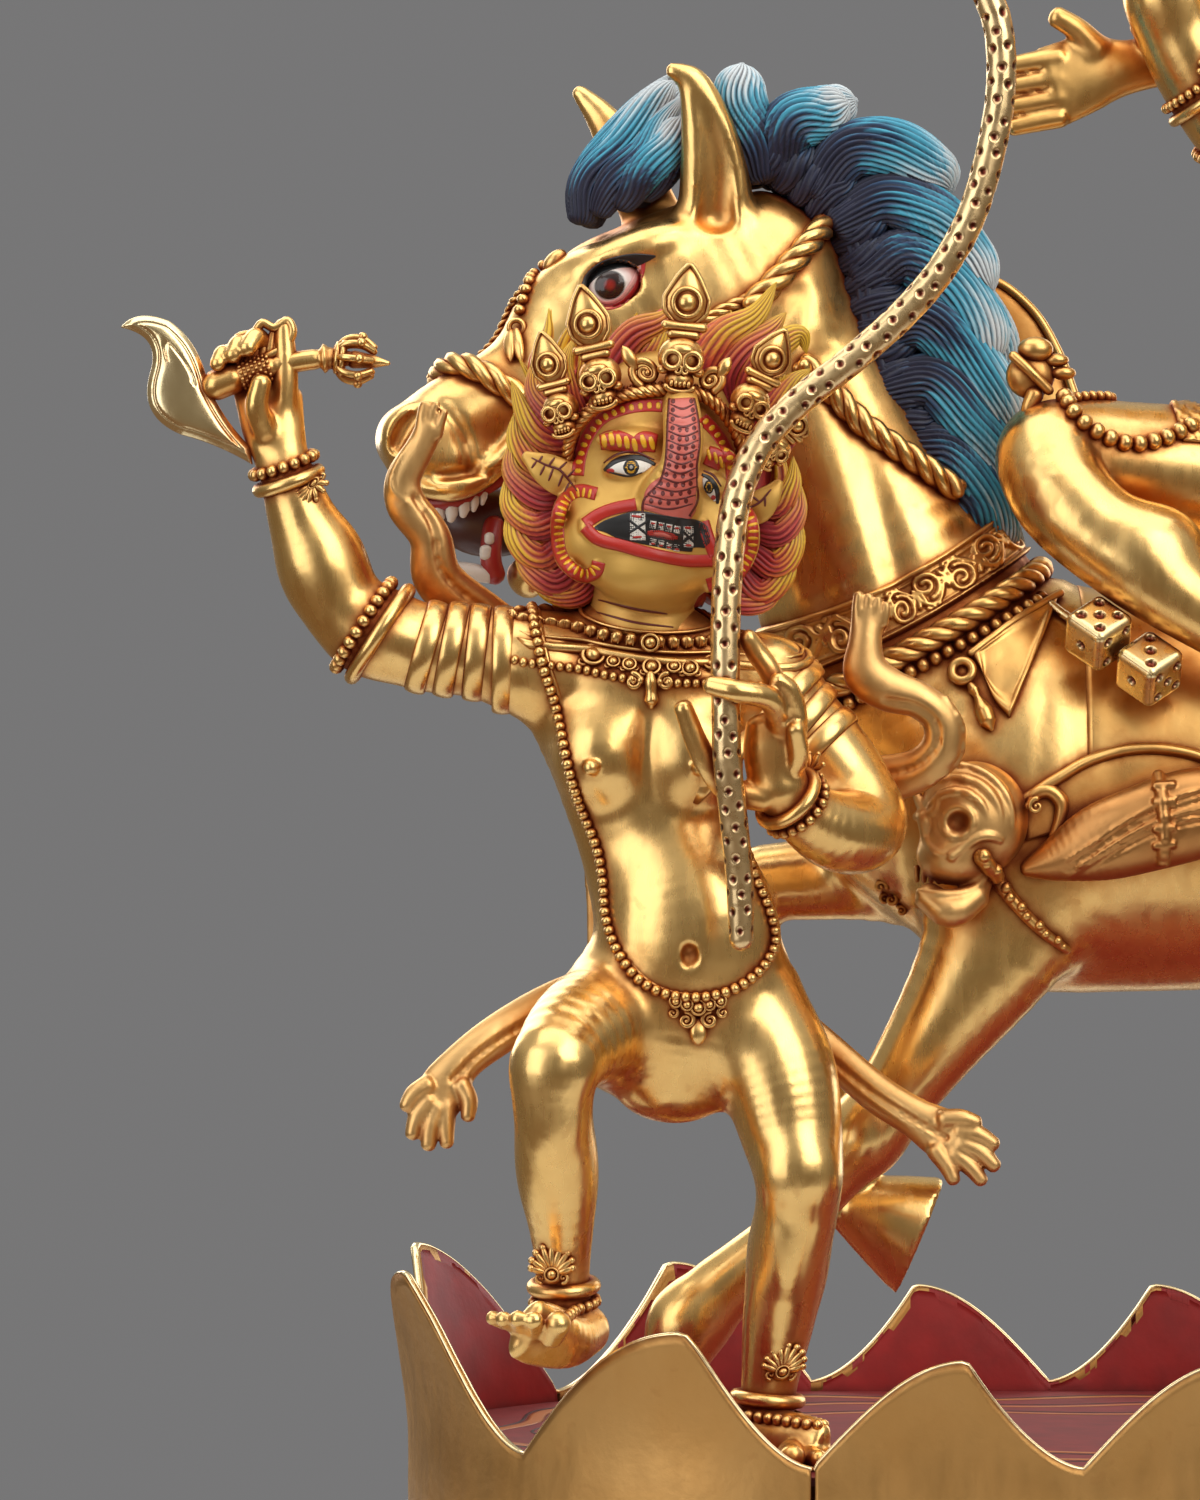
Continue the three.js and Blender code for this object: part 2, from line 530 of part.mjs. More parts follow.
function mule() {
  const group = new THREE.Group();
  group.position.z = PLINTH_HEIGHT;
  const body = trunkOfMule(0);
  const bodyRoom = trunkOfMule(CLEAR);
  const add = (name, solid, material) => group.add(mesh(name, solid, material));

  // The legs are separate castings pinned to the body; two of them carry a stud each.
  const studAt = (x, y) => post([x, y], STUD_RADIUS, -STUD_LENGTH, 2);
  const leg = (stations, grow = 0) => limb(stations, { rings: LEG_RINGS, grow });
  const standing = (stations, foot) => join(leg(stations), hoof(foot)).subtract(ground());
  const legNearFore = standing(FORELEG_NEAR, HOOF_FORE_NEAR);
  const legNearHind = standing(HINDLEG_NEAR, HOOF_HIND_NEAR);
  const legFarHind = standing(HINDLEG_FAR, HOOF_HIND_FAR);
  const legFarFore = join(leg(FORELEG_FAR), limb(HOOF_FAR, { rings: 3, flat: true }));
  add("mule_body", body, MATERIALS.gilt);
  add("mule_foreleg_near", seat(legNearFore, bodyRoom).add(studAt(...MULE_FORE_STUD)), MATERIALS.gilt);
  add("mule_foreleg_far", seat(legFarFore, bodyRoom), MATERIALS.gilt);
  add("mule_hindleg_near", seat(legNearHind, bodyRoom).add(studAt(...MULE_HIND_STUD)), MATERIALS.gilt);
  add("mule_hindleg_far", seat(legFarHind, bodyRoom), MATERIALS.gilt);

  // Head: skull with the upper jaw, and the dropped lower jaw hung under it
  const head = seat(skull(0), bodyRoom);
  const headRoom = skull(CLEAR);
  const jaw = limb(JAW, { rings: 6 });
  const jawRoom = limb(JAW, { rings: 6, grow: CLEAR });
  add("mule_head", head, MATERIALS.gilt);
  add("mule_jaw", seat(jaw, headRoom, bodyRoom), MATERIALS.gilt);
  const earNear = limb(EAR_NEAR, { rings: 4, sides: 6 });
  const earFar = limb(EAR_FAR, { rings: 4, sides: 6 });
  const earRooms = [EAR_NEAR, EAR_FAR].map((e) => limb(e, { rings: 4, sides: 6, grow: CLEAR }));
  add("mule_ear_near", seat(earNear, headRoom, bodyRoom), MATERIALS.gilt);
  add("mule_ear_far", seat(earFar, headRoom, bodyRoom), MATERIALS.gilt);

  // Harness
  const noseband = limb(SKULL, {
    from: HEAD_BAND_FROM,
    to: HEAD_BAND_FROM + 0.06,
    rings: 2,
    sides: 10,
    grow: ROPE_PROUD,
    flat: true,
  });
  add("noseband_rope", seat(noseband, headRoom, jawRoom), MATERIALS.gilt);
  const cheekRope = limb(CHEEK_ROPE, { rings: 6, sides: 6 });
  add("cheek_rope", seat(cheekRope, headRoom, bodyRoom, ...earRooms), MATERIALS.gilt);
  const [nearLeg, farLeg] = [leg(FORELEG_NEAR, CLEAR), leg(FORELEG_FAR, CLEAR)];
  add("breast_collar", seat(breastCollar(0), bodyRoom, nearLeg, farLeg), MATERIALS.oldGilt);

  // Mane and forelock, modelled in relief and painted
  const maneCuts = [bodyRoom, headRoom, ...earRooms];
  const mane = limb(MANE, { rings: 9 });
  const cheekRoom = limb(CHEEK_ROPE, { rings: 6, sides: 6, grow: CLEAR });
  const collarRoom = breastCollar(CLEAR);
  const maneRooms = [...maneCuts, cheekRoom, collarRoom, saddleCloth(CLEAR)];
  add("mule_mane", seat(mane, ...maneRooms), MATERIALS.bluePaint);
  const maneRoom = limb(MANE, { rings: 9, grow: CLEAR });
  const forelock = limb(FORELOCK, { sides: 6, rings: 6 });
  add("mule_forelock", seat(forelock, ...maneCuts, maneRoom), MATERIALS.bluePaint);
  add("mule_tail", seat(limb(TAIL, { rings: 10 }), bodyRoom), MATERIALS.bluePaint);

  // What hangs from the saddle
  const cloth = saddleCloth(0);
  add("saddle_cloth", seat(cloth, bodyRoom, collarRoom), MATERIALS.oldGilt);
  const hindLegs = [leg(HINDLEG_NEAR, CLEAR), leg(HINDLEG_FAR, CLEAR)];
  const sideRooms = [bodyRoom, saddleCloth(CLEAR), nearLeg, ...hindLegs];
  add("dice", seat(dice(0), ...sideRooms), MATERIALS.gilt);
  add("skull_ornament", seat(skullOrnament(0), ...sideRooms), MATERIALS.gilt);
  add("skin_bag", seat(limb(BAG, { rings: 6 }), ...sideRooms, skullOrnament(CLEAR)), MATERIALS.oldGilt);
  return group;
}

// The flayed skin that serves as a saddle cloth: a shell over the mule's back.
const CLOTH_FROM = 0.26;
const CLOTH_TO = 0.64;
const CLOTH_HEM = 107 * MULE_SHARE; // height of its lower edge above the plinth's top
function saddleCloth(grow) {
  const shell = limb(BARREL, {
    from: CLOTH_FROM,
    to: CLOTH_TO,
    sides: 12,
    rings: 5,
    grow: CLOTH + CLEAR + grow,
    flat: true,
  });
  const [wide, tall] = [PLINTH_LENGTH, PLINTH_LENGTH + MULE_HEIGHT];
  return shell.intersect(block([-wide, -wide, CLOTH_HEM - grow], [wide, wide, tall]));
}

const DIE = 8.6; // edge of a die
const DICE = ofMule([
  [-7.5, -30, 138],
  [1, -31, 132],
]);
const DICE_CORD = ofMule([
  [-16, -27.5, 138.5, 1.4],
  [-2, -29, 134, 1.4],
]);
const DICE_SWING = 0.45; // turn about the depth axis, radians
const DICE_TIP = -0.35; // turn towards the viewer
function dice(grow) {
  const edge = DIE + 2 * grow;
  const one = ([x, y, z]) => {
    const geometry = new THREE.BoxGeometry(edge, edge, edge);
    geometry.rotateY(DICE_SWING);
    geometry.rotateX(DICE_TIP);
    geometry.translate(x, y, z);
    return solidOf(geometry);
  };
  return join(...DICE.map(one), limb(DICE_CORD, { rings: 3, sides: 6, grow }));
}

const [SKULL_MIDDLE, SKULL_RADII] = ofMule([
  [-28.5, -28, 105.5],
  [8.5, 6.5, 8.5],
]);
const SKULL_TEETH = ofMule([
  [-30.5, -29, 98, 7, 5],
  [-31, -28.5, 91, 5.5, 4.5],
]);
const skullOrnament = (grow) =>
  join(egg(SKULL_MIDDLE, SKULL_RADII, grow), limb(SKULL_TEETH, { rings: 3, grow }));

const BAG = ofMule([
  [-18, -30, 99, 3.5, 3],
  [-8, -31, 103, 6.5, 4],
  [6, -32, 107, 8, 4.5],
  [16, -32, 108, 7, 4],
]);

// The studs under the figures, on the plinth: [x, y, whose].
const [ATTENDANT_STUD] = ofAttendant([[11, -3]]); // under her left foot, in her own frame
const ATTENDANT_X = -PLINTH_LENGTH / 2 + ATTENDANT_INSET;
const MULE_HALF_DEPTH = BARREL[2][4];
const ATTENDANT_OFFSET = MULE_HALF_DEPTH + ATTENDANT_GAP;
const STUDS = [
  [...MULE_FORE_STUD, "mule_fore"],
  [...MULE_HIND_STUD, "mule_hind"],
  [ATTENDANT_X + ATTENDANT_STUD[0], ATTENDANT_STUD[1] - ATTENDANT_OFFSET, "attendant"],
];

// The attendant, in a frame of her own: the origin on the plinth's top under her middle.
const TORSO = ofAttendant([
  [-4.7, 0, 63, 10, 8.5],
  [-4.2, 0, 71.5, 18.5, 11.5],
  [-2.5, -1.5, 86.5, 16.3, 13],
  [-6, 0, 100, 13.8, 10.6],
  [-8.7, 0, 115, 16, 11.6],
  [-9.7, 0, 126.5, 20, 12],
  [-10, 0, 134, 18.5, 9.5],
  [-9.8, -0.5, 139.5, 9.3, 8],
  [-9.6, -1, 146, 8, 7.6],
]);
const ARM_RIGHT = ofAttendant([
  [-26, 0, 131.5, 8.3],
  [-36.7, 0, 134.5, 7.8],
  [-46.7, -1, 135.6, 7.5],
  [-57, -2, 139.7, 7.3],
  [-63, -3, 149, 6.9],
  [-66.4, -4, 157.5, 5.7],
  [-68.8, -5, 164.4, 4.5],
]);
const FIST_RIGHT = ofAttendant([
  [-69.6, -5.2, 167.5, 4.8, 3.6],
  [-71.2, -5.5, 172, 5.8, 3.8],
  [-71, -5.5, 177, 5, 3.6],
]);
const RAISED_FINGER = ofAttendant([
  [-69.5, -5, 174, 2],
  [-69, -5, 182, 2.1],
  [-69.2, -5, 189.5, 1.7],
]);
const ARM_LEFT = ofAttendant([
  [9, 0, 128.5, 8.2],
  [18, -1, 121, 7.6],
  [25, -3.5, 111.5, 7.4],
  [26.5, -8, 105.5, 7.2],
  [22, -14, 105, 6.7],
  [16, -19, 108.5, 5.2],
  [12.5, -22, 112, 4.3],
]);
const HAND_LEFT = ofAttendant([
  [11.8, -23.4, 114, 4.6, 3.2],
  [10.4, -26, 119, 5.2, 3.4],
  [8.6, -27.4, 124.5, 4.6, 3.2],
  [8, -28, 129, 3, 2.4],
]);
const LEG_RIGHT = ofAttendant([
  [-12.5, 0, 73.5, 10.8, 10.5],
  [-19, -10, 72, 9.6, 9.6],
  [-24, -19, 66.3, 7.4, 7.4],
  [-24.3, -18.5, 57, 6.8, 6.8],
  [-23.3, -14.5, 45, 6.2, 6.2],
  [-22.8, -10.5, 32.5, 4.5, 4.5],
  [-22.6, -9.5, 27, 4.6, 4.8],
]);
const FOOT_RIGHT = ofAttendant([
  [-19.5, -8, 22.5, 4.4, 4.4],
  [-22.5, -15, 21.4, 4.8, 4],
  [-27, -22, 22.5, 5, 3.2],
  [-31, -27, 24.6, 4, 2],
]);
const LEG_LEFT = ofAttendant([
  [7, 0, 75, 11, 10.5],
  [12.5, -3, 65, 10.2, 10],
  [15, -5.5, 55, 8.7, 8.6],
  [16.2, -7, 46.7, 7.4, 7.4],
  [14.7, -5, 35, 7, 7],
  [13, -3, 24, 6.2, 6.2],
  [11.3, -2, 11.7, 4.7, 4.7],
  [10.8, -2, 6, 4.8, 5],
]);
const FOOT_LEFT = ofAttendant([
  [8.5, -0.5, 4, 4.3, 4.3],
  [14, -6, 4, 4.6, 4.2],
  [19, -11, 3, 5, 3.2],
  [23, -15, 2, 4.2, 2.2],
]);
const FACE = ofAttendant([
  [-8.4, -4, 148, 9, 8.5],
  [-8, -4.5, 153, 13.3, 12],
  [-7.5, -4, 160.5, 15, 13.4],
  [-7.2, -2.5, 168.5, 13.5, 12],
  [-7, -1, 174, 9, 8.5],
]);
const SNOUT = ofAttendant([
  [-6.2, -16, 155.5, 5.6, 3.2],
  [-4.8, -18.6, 161, 4, 2.8],
  [-3.6, -18.6, 167.5, 2.9, 2.4],
  [-3.4, -16.4, 173, 2.4, 2],
  [-3.8, -13.6, 176, 1.9, 1.6],
]);
const HAIR = ofAttendant([
  [-8, 6.5, 143, 13, 6],
  [-8, 6.5, 150, 21.5, 8.5],
  [-8, 6.5, 162, 24.5, 9.5],
  [-7.5, 6.5, 174, 22, 9],
  [-4, 6.5, 186, 15, 6.5],
  [0, 6.5, 195, 7, 4],
]);
const [CROWN_CENTRE, CROWN_RIM] = ofAttendant([
  [-7.5, 159.5],
  [15.6, 19],
]);
const CROWN_PLANE = -10.5 * ATTENDANT_SHARE; // front face of the diadem
const CROWN_GAUGE = 1.6;
const CROWN_LEAVES = [
  [-47, 30],
  [-21, 34],
  [7, 38],
  [33, 34],
  [58, 29],
]; // tilt from upright in degrees, and reach from the centre
const LEAF_HALF_WIDTH = 3.9 * ATTENDANT_SHARE;
const REIN = ofAttendant([
  [6.3, -25, 87.5, 1.7],
  [5.8, -27, 96.7, 2.2],
  [5.3, -28.5, 106.7, REIN_RADIUS / ATTENDANT_SHARE],
  [4.7, -29.5, 116.7, REIN_RADIUS / ATTENDANT_SHARE],
  [3.7, -30, 126.7, REIN_RADIUS / ATTENDANT_SHARE],
  [2.7, -30, 136.7, REIN_RADIUS / ATTENDANT_SHARE],
  [3.2, -29, 147, REIN_RADIUS / ATTENDANT_SHARE],
  [5.3, -27.5, 158.3, REIN_RADIUS / ATTENDANT_SHARE],
  [9.2, -26, 167.6, REIN_RADIUS / ATTENDANT_SHARE],
  [15.4, -25, 174.8, REIN_RADIUS / ATTENDANT_SHARE],
  [23.3, -25, 181, REIN_RADIUS / ATTENDANT_SHARE],
  [31.7, -25, 188.3, REIN_RADIUS / ATTENDANT_SHARE],
  [38.3, -25, 195.8, REIN_RADIUS / ATTENDANT_SHARE],
  [43.3, -25, 204.2, REIN_RADIUS / ATTENDANT_SHARE],
  [47, -25, 215, REIN_RADIUS / ATTENDANT_SHARE],
  [48.6, -25, 226.7, REIN_RADIUS / ATTENDANT_SHARE],
  [47.2, -25, 237.5, REIN_RADIUS / ATTENDANT_SHARE],
  [42.5, -25, 247, REIN_RADIUS / ATTENDANT_SHARE],
  [34.5, -25, 252.5, REIN_RADIUS / ATTENDANT_SHARE],
  [26, -25, 252.5, 2.9],
  [20, -25, 249.5, 3.5],
  [15.5, -25, 246.5, 2.4],
]);
const CAPE_BACK = ofAttendant([
  [-9, 13.5, 133, 20, 1.6],
  [-8, 13.8, 120, 16, 1.8],
  [-6, 13.6, 103, 14, 1.8],
  [-4, 14.6, 88, 15, 1.8],
  [-3, 14.6, 76, 16, 1.6],
]);
const CAPE_HAND_RIGHT = ofAttendant([
  [-14, 14, 79, 4, 2],
  [-24, 11, 76, 3.6, 2.4],
  [-34, 5, 70.5, 3.8, 2.6],
  [-41, 2, 64.5, 5.4, 2.4],
  [-44.5, 1, 57, 4.6, 2],
]);
const CAPE_HAND_LEFT = ofAttendant([
  [8, 14, 78, 4, 2],
  [20, 12, 69, 3.2, 2.2],
  [30, 8, 60.5, 3.4, 2.4],
  [38, 5, 56, 4.6, 2.4],
  [46, 3, 51, 4.6, 2],
]);
const CAPE_FOOT_RIGHT = ofAttendant([
  [-24, 13, 132, 4, 2],
  [-36, 10, 141, 3.6, 2.2],
  [-43.5, 7, 147, 4, 2.2],
  [-44, 5, 155, 3.4, 2],
  [-49.5, 4, 161.5, 3.4, 2],
  [-46.5, 3, 168, 2, 1.6],
  [-44.8, 3, 173, 1, 1],
]);
const CAPE_FOOT_LEFT = ofAttendant([
  [8, 13.5, 125, 4, 2],
  [22, 11, 114, 4, 2.2],
  [31, 7, 113.5, 4, 2.4],
  [39.5, 4, 117.5, 3.4, 2.4],
  [41, 3, 124.5, 3.2, 2.4],
  [34.5, 3, 128.8, 3.2, 2.4],
  [27.8, 3, 131, 4.2, 2.6],
  [27.6, 3, 138, 2.8, 2],
  [28.4, 3, 144, 1.8, 1.4],
]);
const NECKLACE = { from: 0.815, to: 0.87 };
const BEAD_CHAIN = ofAttendant([
  [-26.8, -9, 136],
  [-24.4, -12.4, 130],
  [-22.5, -13, 122],
  [-20.5, -12.6, 113],
  [-17.5, -11.6, 104],
  [-15.3, -11.8, 95],
  [-13, -12.8, 86.5],
  [-9, -14, 81],
  [-2, -14.6, 77.4],
  [5, -14, 80.5],
  [10.5, -12, 86],
]);
const ARMLET = { from: 0.405, to: 0.475 };
const BRACELET_RIGHT = { from: 0.93, to: 0.985 };
const BRACELET_LEFT = { from: 0.875, to: 0.94 };
const ANKLET_RIGHT = { from: 0.87, to: 0.925 };
const ANKLET_LEFT = { from: 0.86, to: 0.91 };
const BLADE_GAUGE = 3.6;
const BLADE_PLANE = -5.5 * ATTENDANT_SHARE; // middle of the blade's thickness

const TORSO_SIDES = 12;
const cuffOf = (stations, stretch, grow, sides) =>
  limb(stations, { ...stretch, rings: 2, sides, grow, flat: true });

// The diadem: a rim round the brow with upright leaves, each given as [tilt, reach].
const RIM_SWEEP = THREE.MathUtils.degToRad(64); // how far the rim runs down each side of the brow
function diadem([cx, cz], plane, rim, share, leaves, halfWidth, grow) {
  const inner = rim[0] - grow;
  const outer = rim[1] + grow;
  const half = halfWidth + grow;
  const options = { depth: CROWN_GAUGE + 2 * grow, bevelEnabled: false, curveSegments: 8 };
  const band = new THREE.Shape();
  band.absarc(0, 0, outer, Math.PI / 2 + RIM_SWEEP, Math.PI / 2 - RIM_SWEEP, true);
  band.absarc(0, 0, inner, Math.PI / 2 - RIM_SWEEP, Math.PI / 2 + RIM_SWEEP, false);
  const shapes = leaves.map(([tilt, reach]) => {
    const tip = reach * share + grow;
    const at = (along) => outer + (tip - outer) * along;
    const right = [
      [half * 0.7, inner + CLEAR],
      [half, at(0.1)],
      [half * 0.6, at(0.45)],
      [half * 0.8, at(0.65)],
    ];
    const left = right.map(([x, z]) => [-x, z]).reverse();
    const leaf = new THREE.Shape([...right, [0, tip], ...left].map((p) => new THREE.Vector2(...p)));
    return [leaf, THREE.MathUtils.degToRad(-tilt)];
  });
  return join(
    ...[[band, 0], ...shapes].map(([shape, turn]) => {
      const geometry = new THREE.ExtrudeGeometry(shape, options);
      geometry.rotateZ(turn);
      geometry.rotateX(Math.PI / 2);
      geometry.translate(cx, plane + CROWN_GAUGE + grow, cz);
      return solidOf(geometry);
    }),
  );
}

// The chopper's blade: a flame outline with a hooked tip.
function blade() {
  const shape = new THREE.Shape();
  shape.moveTo(-74.2, 165.5);
  shape.quadraticCurveTo(-80, 169, -86, 170.5);
  shape.quadraticCurveTo(-93.5, 173.5, -91.2, 181);
  shape.quadraticCurveTo(-89.4, 187, -96.2, 188.3);
  shape.quadraticCurveTo(-93.5, 191.6, -88, 189.4);
  shape.quadraticCurveTo(-83, 186, -81.5, 178.5);
  shape.quadraticCurveTo(-78.5, 172, -74, 168);
  shape.closePath();
  const geometry = new THREE.ExtrudeGeometry(shape, {
    depth: BLADE_GAUGE,
    bevelEnabled: false,
    curveSegments: 5,
  });
  geometry.scale(ATTENDANT_SHARE, ATTENDANT_SHARE, 1);
  geometry.rotateX(Math.PI / 2);
  geometry.translate(0, BLADE_PLANE + BLADE_GAUGE / 2, 0);
  return solidOf(geometry);
}

const HANDLE = ofAttendant([
  [-80.5, -5.8, 179, 2.1],
  [-77, -5.8, 180.2, 2.1],
  [-73, -5.8, 181.4, 1.7],
  [-66, -5.8, 182.6, 1.7],
  [-62, -5.8, 183.2, 3.4],
  [-57.5, -5.8, 183, 3.2],
  [-55.5, -5.8, 182.6, 1.2],
]);

function attendant() {
  const group = new THREE.Group();
  group.position.set(ATTENDANT_X, -ATTENDANT_OFFSET, PLINTH_HEIGHT);
  const add = (name, solid, material) => group.add(mesh(name, solid, material));
  const torso = (grow) => limb(TORSO, { sides: TORSO_SIDES, rings: 12, grow });
  const face = (grow) => limb(FACE, { sides: 10, rings: 6, grow });
  const armRight = (grow) =>
    join(
      limb(ARM_RIGHT, { rings: 8, grow }),
      limb(FIST_RIGHT, { rings: 3, sides: 6, grow }),
      limb(RAISED_FINGER, { rings: 2, sides: 5, grow }),
    );
  const armLeft = (grow) =>
    join(limb(ARM_LEFT, { rings: 8, grow }), limb(HAND_LEFT, { rings: 3, sides: 6, grow }));
  const legRight = (grow) =>
    join(limb(LEG_RIGHT, { rings: 9, grow }), limb(FOOT_RIGHT, { rings: 3, sides: 6, grow }));
  const legLeft = (grow) =>
    join(limb(LEG_LEFT, { rings: 9, grow }), limb(FOOT_LEFT, { rings: 3, sides: 6, grow }));
  const rein = (grow) => limb(REIN, { rings: 34, sides: 6, grow });
  const handle = (grow) => limb(HANDLE, { rings: 7, sides: 6, grow });
  const hair = (grow) => limb(HAIR, { sides: 10, rings: 6, grow });
  const room = {
    torso: torso(CLEAR),
    face: face(CLEAR),
    armRight: armRight(CLEAR),
    armLeft: armLeft(CLEAR),
    legRight: legRight(CLEAR),
    legLeft: legLeft(CLEAR),
    rein: rein(CLEAR),
    handle: handle(CLEAR),
    hair: hair(CLEAR),
  };

  add("attendant_torso", torso(0), MATERIALS.gilt);
  add("attendant_head", seat(face(0), room.torso), MATERIALS.faceGold);
  add("attendant_snout", seat(limb(SNOUT, { rings: 5, sides: 6 }), room.face), MATERIALS.flamePaint);
  add("attendant_arm_right", seat(armRight(0), room.torso, room.handle), MATERIALS.gilt);
  add("attendant_arm_left", seat(armLeft(0), room.torso, room.rein), MATERIALS.gilt);
  add("attendant_leg_right", seat(legRight(0), room.torso), MATERIALS.gilt);
  const stud = post(ATTENDANT_STUD, STUD_RADIUS, -STUD_LENGTH, 2);
  const standing = seat(legLeft(0), room.torso, room.legRight, ground()).add(stud);
  add("attendant_leg_left", standing, MATERIALS.gilt);

  // What she holds
  add("serpent_rein", seat(rein(0), room.torso), MATERIALS.gilt);
  add("chopper_handle", handle(0), MATERIALS.gilt);
  add("chopper_blade", seat(blade(), room.handle, room.armRight), MATERIALS.gilt);

  // Head dress
  const crown = (grow) =>
    diadem(CROWN_CENTRE, CROWN_PLANE, CROWN_RIM, ATTENDANT_SHARE, CROWN_LEAVES, LEAF_HALF_WIDTH, grow);
  const snoutRoom = limb(SNOUT, { rings: 5, sides: 6, grow: CLEAR });
  add("attendant_hair", seat(hair(0), room.face, room.torso, crown(CLEAR)), MATERIALS.flamePaint);
  add("attendant_crown", seat(crown(0), room.face, snoutRoom, room.rein), MATERIALS.gilt);

  // Jewellery
  const necklace = cuffOf(TORSO, NECKLACE, BAND, TORSO_SIDES);
  const necklaceRoom = cuffOf(TORSO, NECKLACE, BAND + CLEAR, TORSO_SIDES);
  const armRooms = [room.armRight, room.armLeft];
  add("necklace", seat(necklace, room.torso, room.hair, ...armRooms, room.rein), MATERIALS.gilt);
  const chain = limb(
    BEAD_CHAIN.map((point) => [...point, BEAD_RADIUS]),
    { rings: 20, sides: 5 },
  );
  const legRooms = [room.legRight, room.legLeft];
  add(
    "bead_chain",
    seat(chain, room.torso, ...armRooms, ...legRooms, room.rein, necklaceRoom),
    MATERIALS.gilt,
  );
  const cuffs = [
    ["armlet", ARM_RIGHT, ARMLET, room.armRight],
    ["bracelet_right", ARM_RIGHT, BRACELET_RIGHT, room.armRight],
    ["bracelet_left", ARM_LEFT, BRACELET_LEFT, room.armLeft],
    ["anklet_right", LEG_RIGHT, ANKLET_RIGHT, room.legRight],
    ["anklet_left", LEG_LEFT, ANKLET_LEFT, room.legLeft],
  ];
  const bladeRoom = blade();
  cuffs.forEach(([name, stations, stretch, wearer]) => {
    const band = cuffOf(stations, stretch, BAND);
    add(name, seat(band, wearer, room.rein, room.torso, bladeRoom), MATERIALS.gilt);
  });

  // The flayed skin tied over her back, with its hands and feet hanging free
  const cape = join(
    limb(CAPE_BACK, { rings: 4 }),
    ...[CAPE_HAND_RIGHT, CAPE_HAND_LEFT].map((s) => limb(s, { rings: 5, sides: 5 })),
    ...[CAPE_FOOT_RIGHT, CAPE_FOOT_LEFT].map((s) => limb(s, { rings: 9, sides: 5 })),
  );
  const armletRoom = cuffOf(ARM_RIGHT, ARMLET, BAND + CLEAR);
  const worn = [room.torso, ...armRooms, ...legRooms, room.hair, armletRoom];
  add("skin_cape", seat(cape, ...worn), MATERIALS.oldGilt);
  return group;
}

// The goddess, in a frame of her own: the origin on the saddle under her middle.
const G_TORSO = ofGoddess([
  [0, 0, 8, 15, 12],
  [0, 0, 16, 17.5, 13.5],
  [0, -1, 30, 13.5, 12],
  [0, 0, 42, 12, 10],
  [0, 0, 55, 16.5, 12.5],
  [0, 0, 66, 19.5, 12.5],
  [0, 0, 73, 17, 9.5],
  [0, 0, 79, 9, 8],
  [0, -1, 86, 8, 8],
]);
const G_ARM_RIGHT = ofGoddess([
  [-15, 0, 69, 9],
  [-25, -1, 80, 8.4],
  [-33, -2, 93, 7.8],
  [-36, -3.5, 104, 7],
  [-34, -6, 115, 6.2],
  [-31, -8, 125, 4.8],
  [-30, -8.5, 130, 5.4],
  [-29.5, -8.5, 135, 4.6],
]);
const G_ARM_LEFT = ofGoddess([
  [15, 0, 69, 9],
  [25, -1, 60, 8.3],
  [33, -4, 50, 7.8],
  [33, -10, 44.5, 7.4],
  [25, -18, 47, 6.6],
  [17, -23.5, 51, 5],
  [12, -25.5, 53.5, 5.6, 4],
]);
const G_LEG_RIGHT = ofGoddess([
  [-8, -2, 13, 13, 12],
  [-24, -6.5, 15.5, 12.2, 11.6],
  [-42, -11.5, 18, 11, 10.6],
  [-56, -17, 19, 9.6, 9.6],
  [-55, -24, 12, 8.8, 8.6],
  [-42, -29.5, 0, 8, 7.6],
  [-27, -32, -11, 6, 5.8],
  [-20, -32.5, -16, 5.2, 5],
]);
const G_FOOT_RIGHT = ofGoddess([
  [-19, -32.5, -18, 5.2, 4.8],
  [-12, -34, -21, 5.4, 4.2],
  [-4, -35, -22, 5, 2.8],
]);
const G_LEG_LEFT = ofGoddess([
  [8, -2, 13, 13, 12],
  [24, -9, 16, 11.5, 11],
  [37, -18, 16, 9.6, 9.6],
  [37, -27, 6, 8.8, 8.6],
  [31, -32, -9, 7.6, 7.6],
  [24, -33.5, -22, 5.6, 5.6],
  [22, -33.5, -29, 5, 5],
]);
const G_FOOT_LEFT = ofGoddess([
  [22, -33, -31, 5, 4.8],
  [17, -35.5, -34, 5.2, 4.2],
  [10, -37.5, -35.5, 4.8, 2.8],
]);
const G_HEAD = ofGoddess([
  [0, -3, 88, 9.5, 9],
  [0, -4, 93, 14.5, 13.5],
  [0, -4, 101, 17, 15.5],
  [0, -3, 109.5, 15.5, 14.5],
  [0, -1, 116, 10, 10],
]);
const G_HAIR = ofGoddess([
  [0, 7, 84, 14, 6],
  [0, 7, 92, 23, 9],
  [0, 7, 104, 26, 10.5],
  [0, 7, 118, 23, 10],
  [1, 7, 132, 15, 7.5],
  [3, 7, 143, 6, 4],
]);
const [G_CROWN_CENTRE, G_CROWN_RIM] = ofGoddess([
  [0, 100.5],
  [17.4, 21],
]);
const G_CROWN_PLANE = -12.5 * GODDESS_SHARE;
const G_CROWN_LEAVES = [
  [-54, 32],
  [-27, 35],
  [0, 38],
  [27, 35],
  [54, 32],
];
const G_LEAF_HALF_WIDTH = 4.2 * GODDESS_SHARE;
const G_CAPE = ofGoddess([
  [0, 14.5, 74, 22, 2],
  [0, 15.5, 58, 20, 2.2],
  [0, 15, 40, 19, 2.2],
  [0, 16.5, 22, 21, 2.2],
  [0, 18, 8, 22, 2],
]);
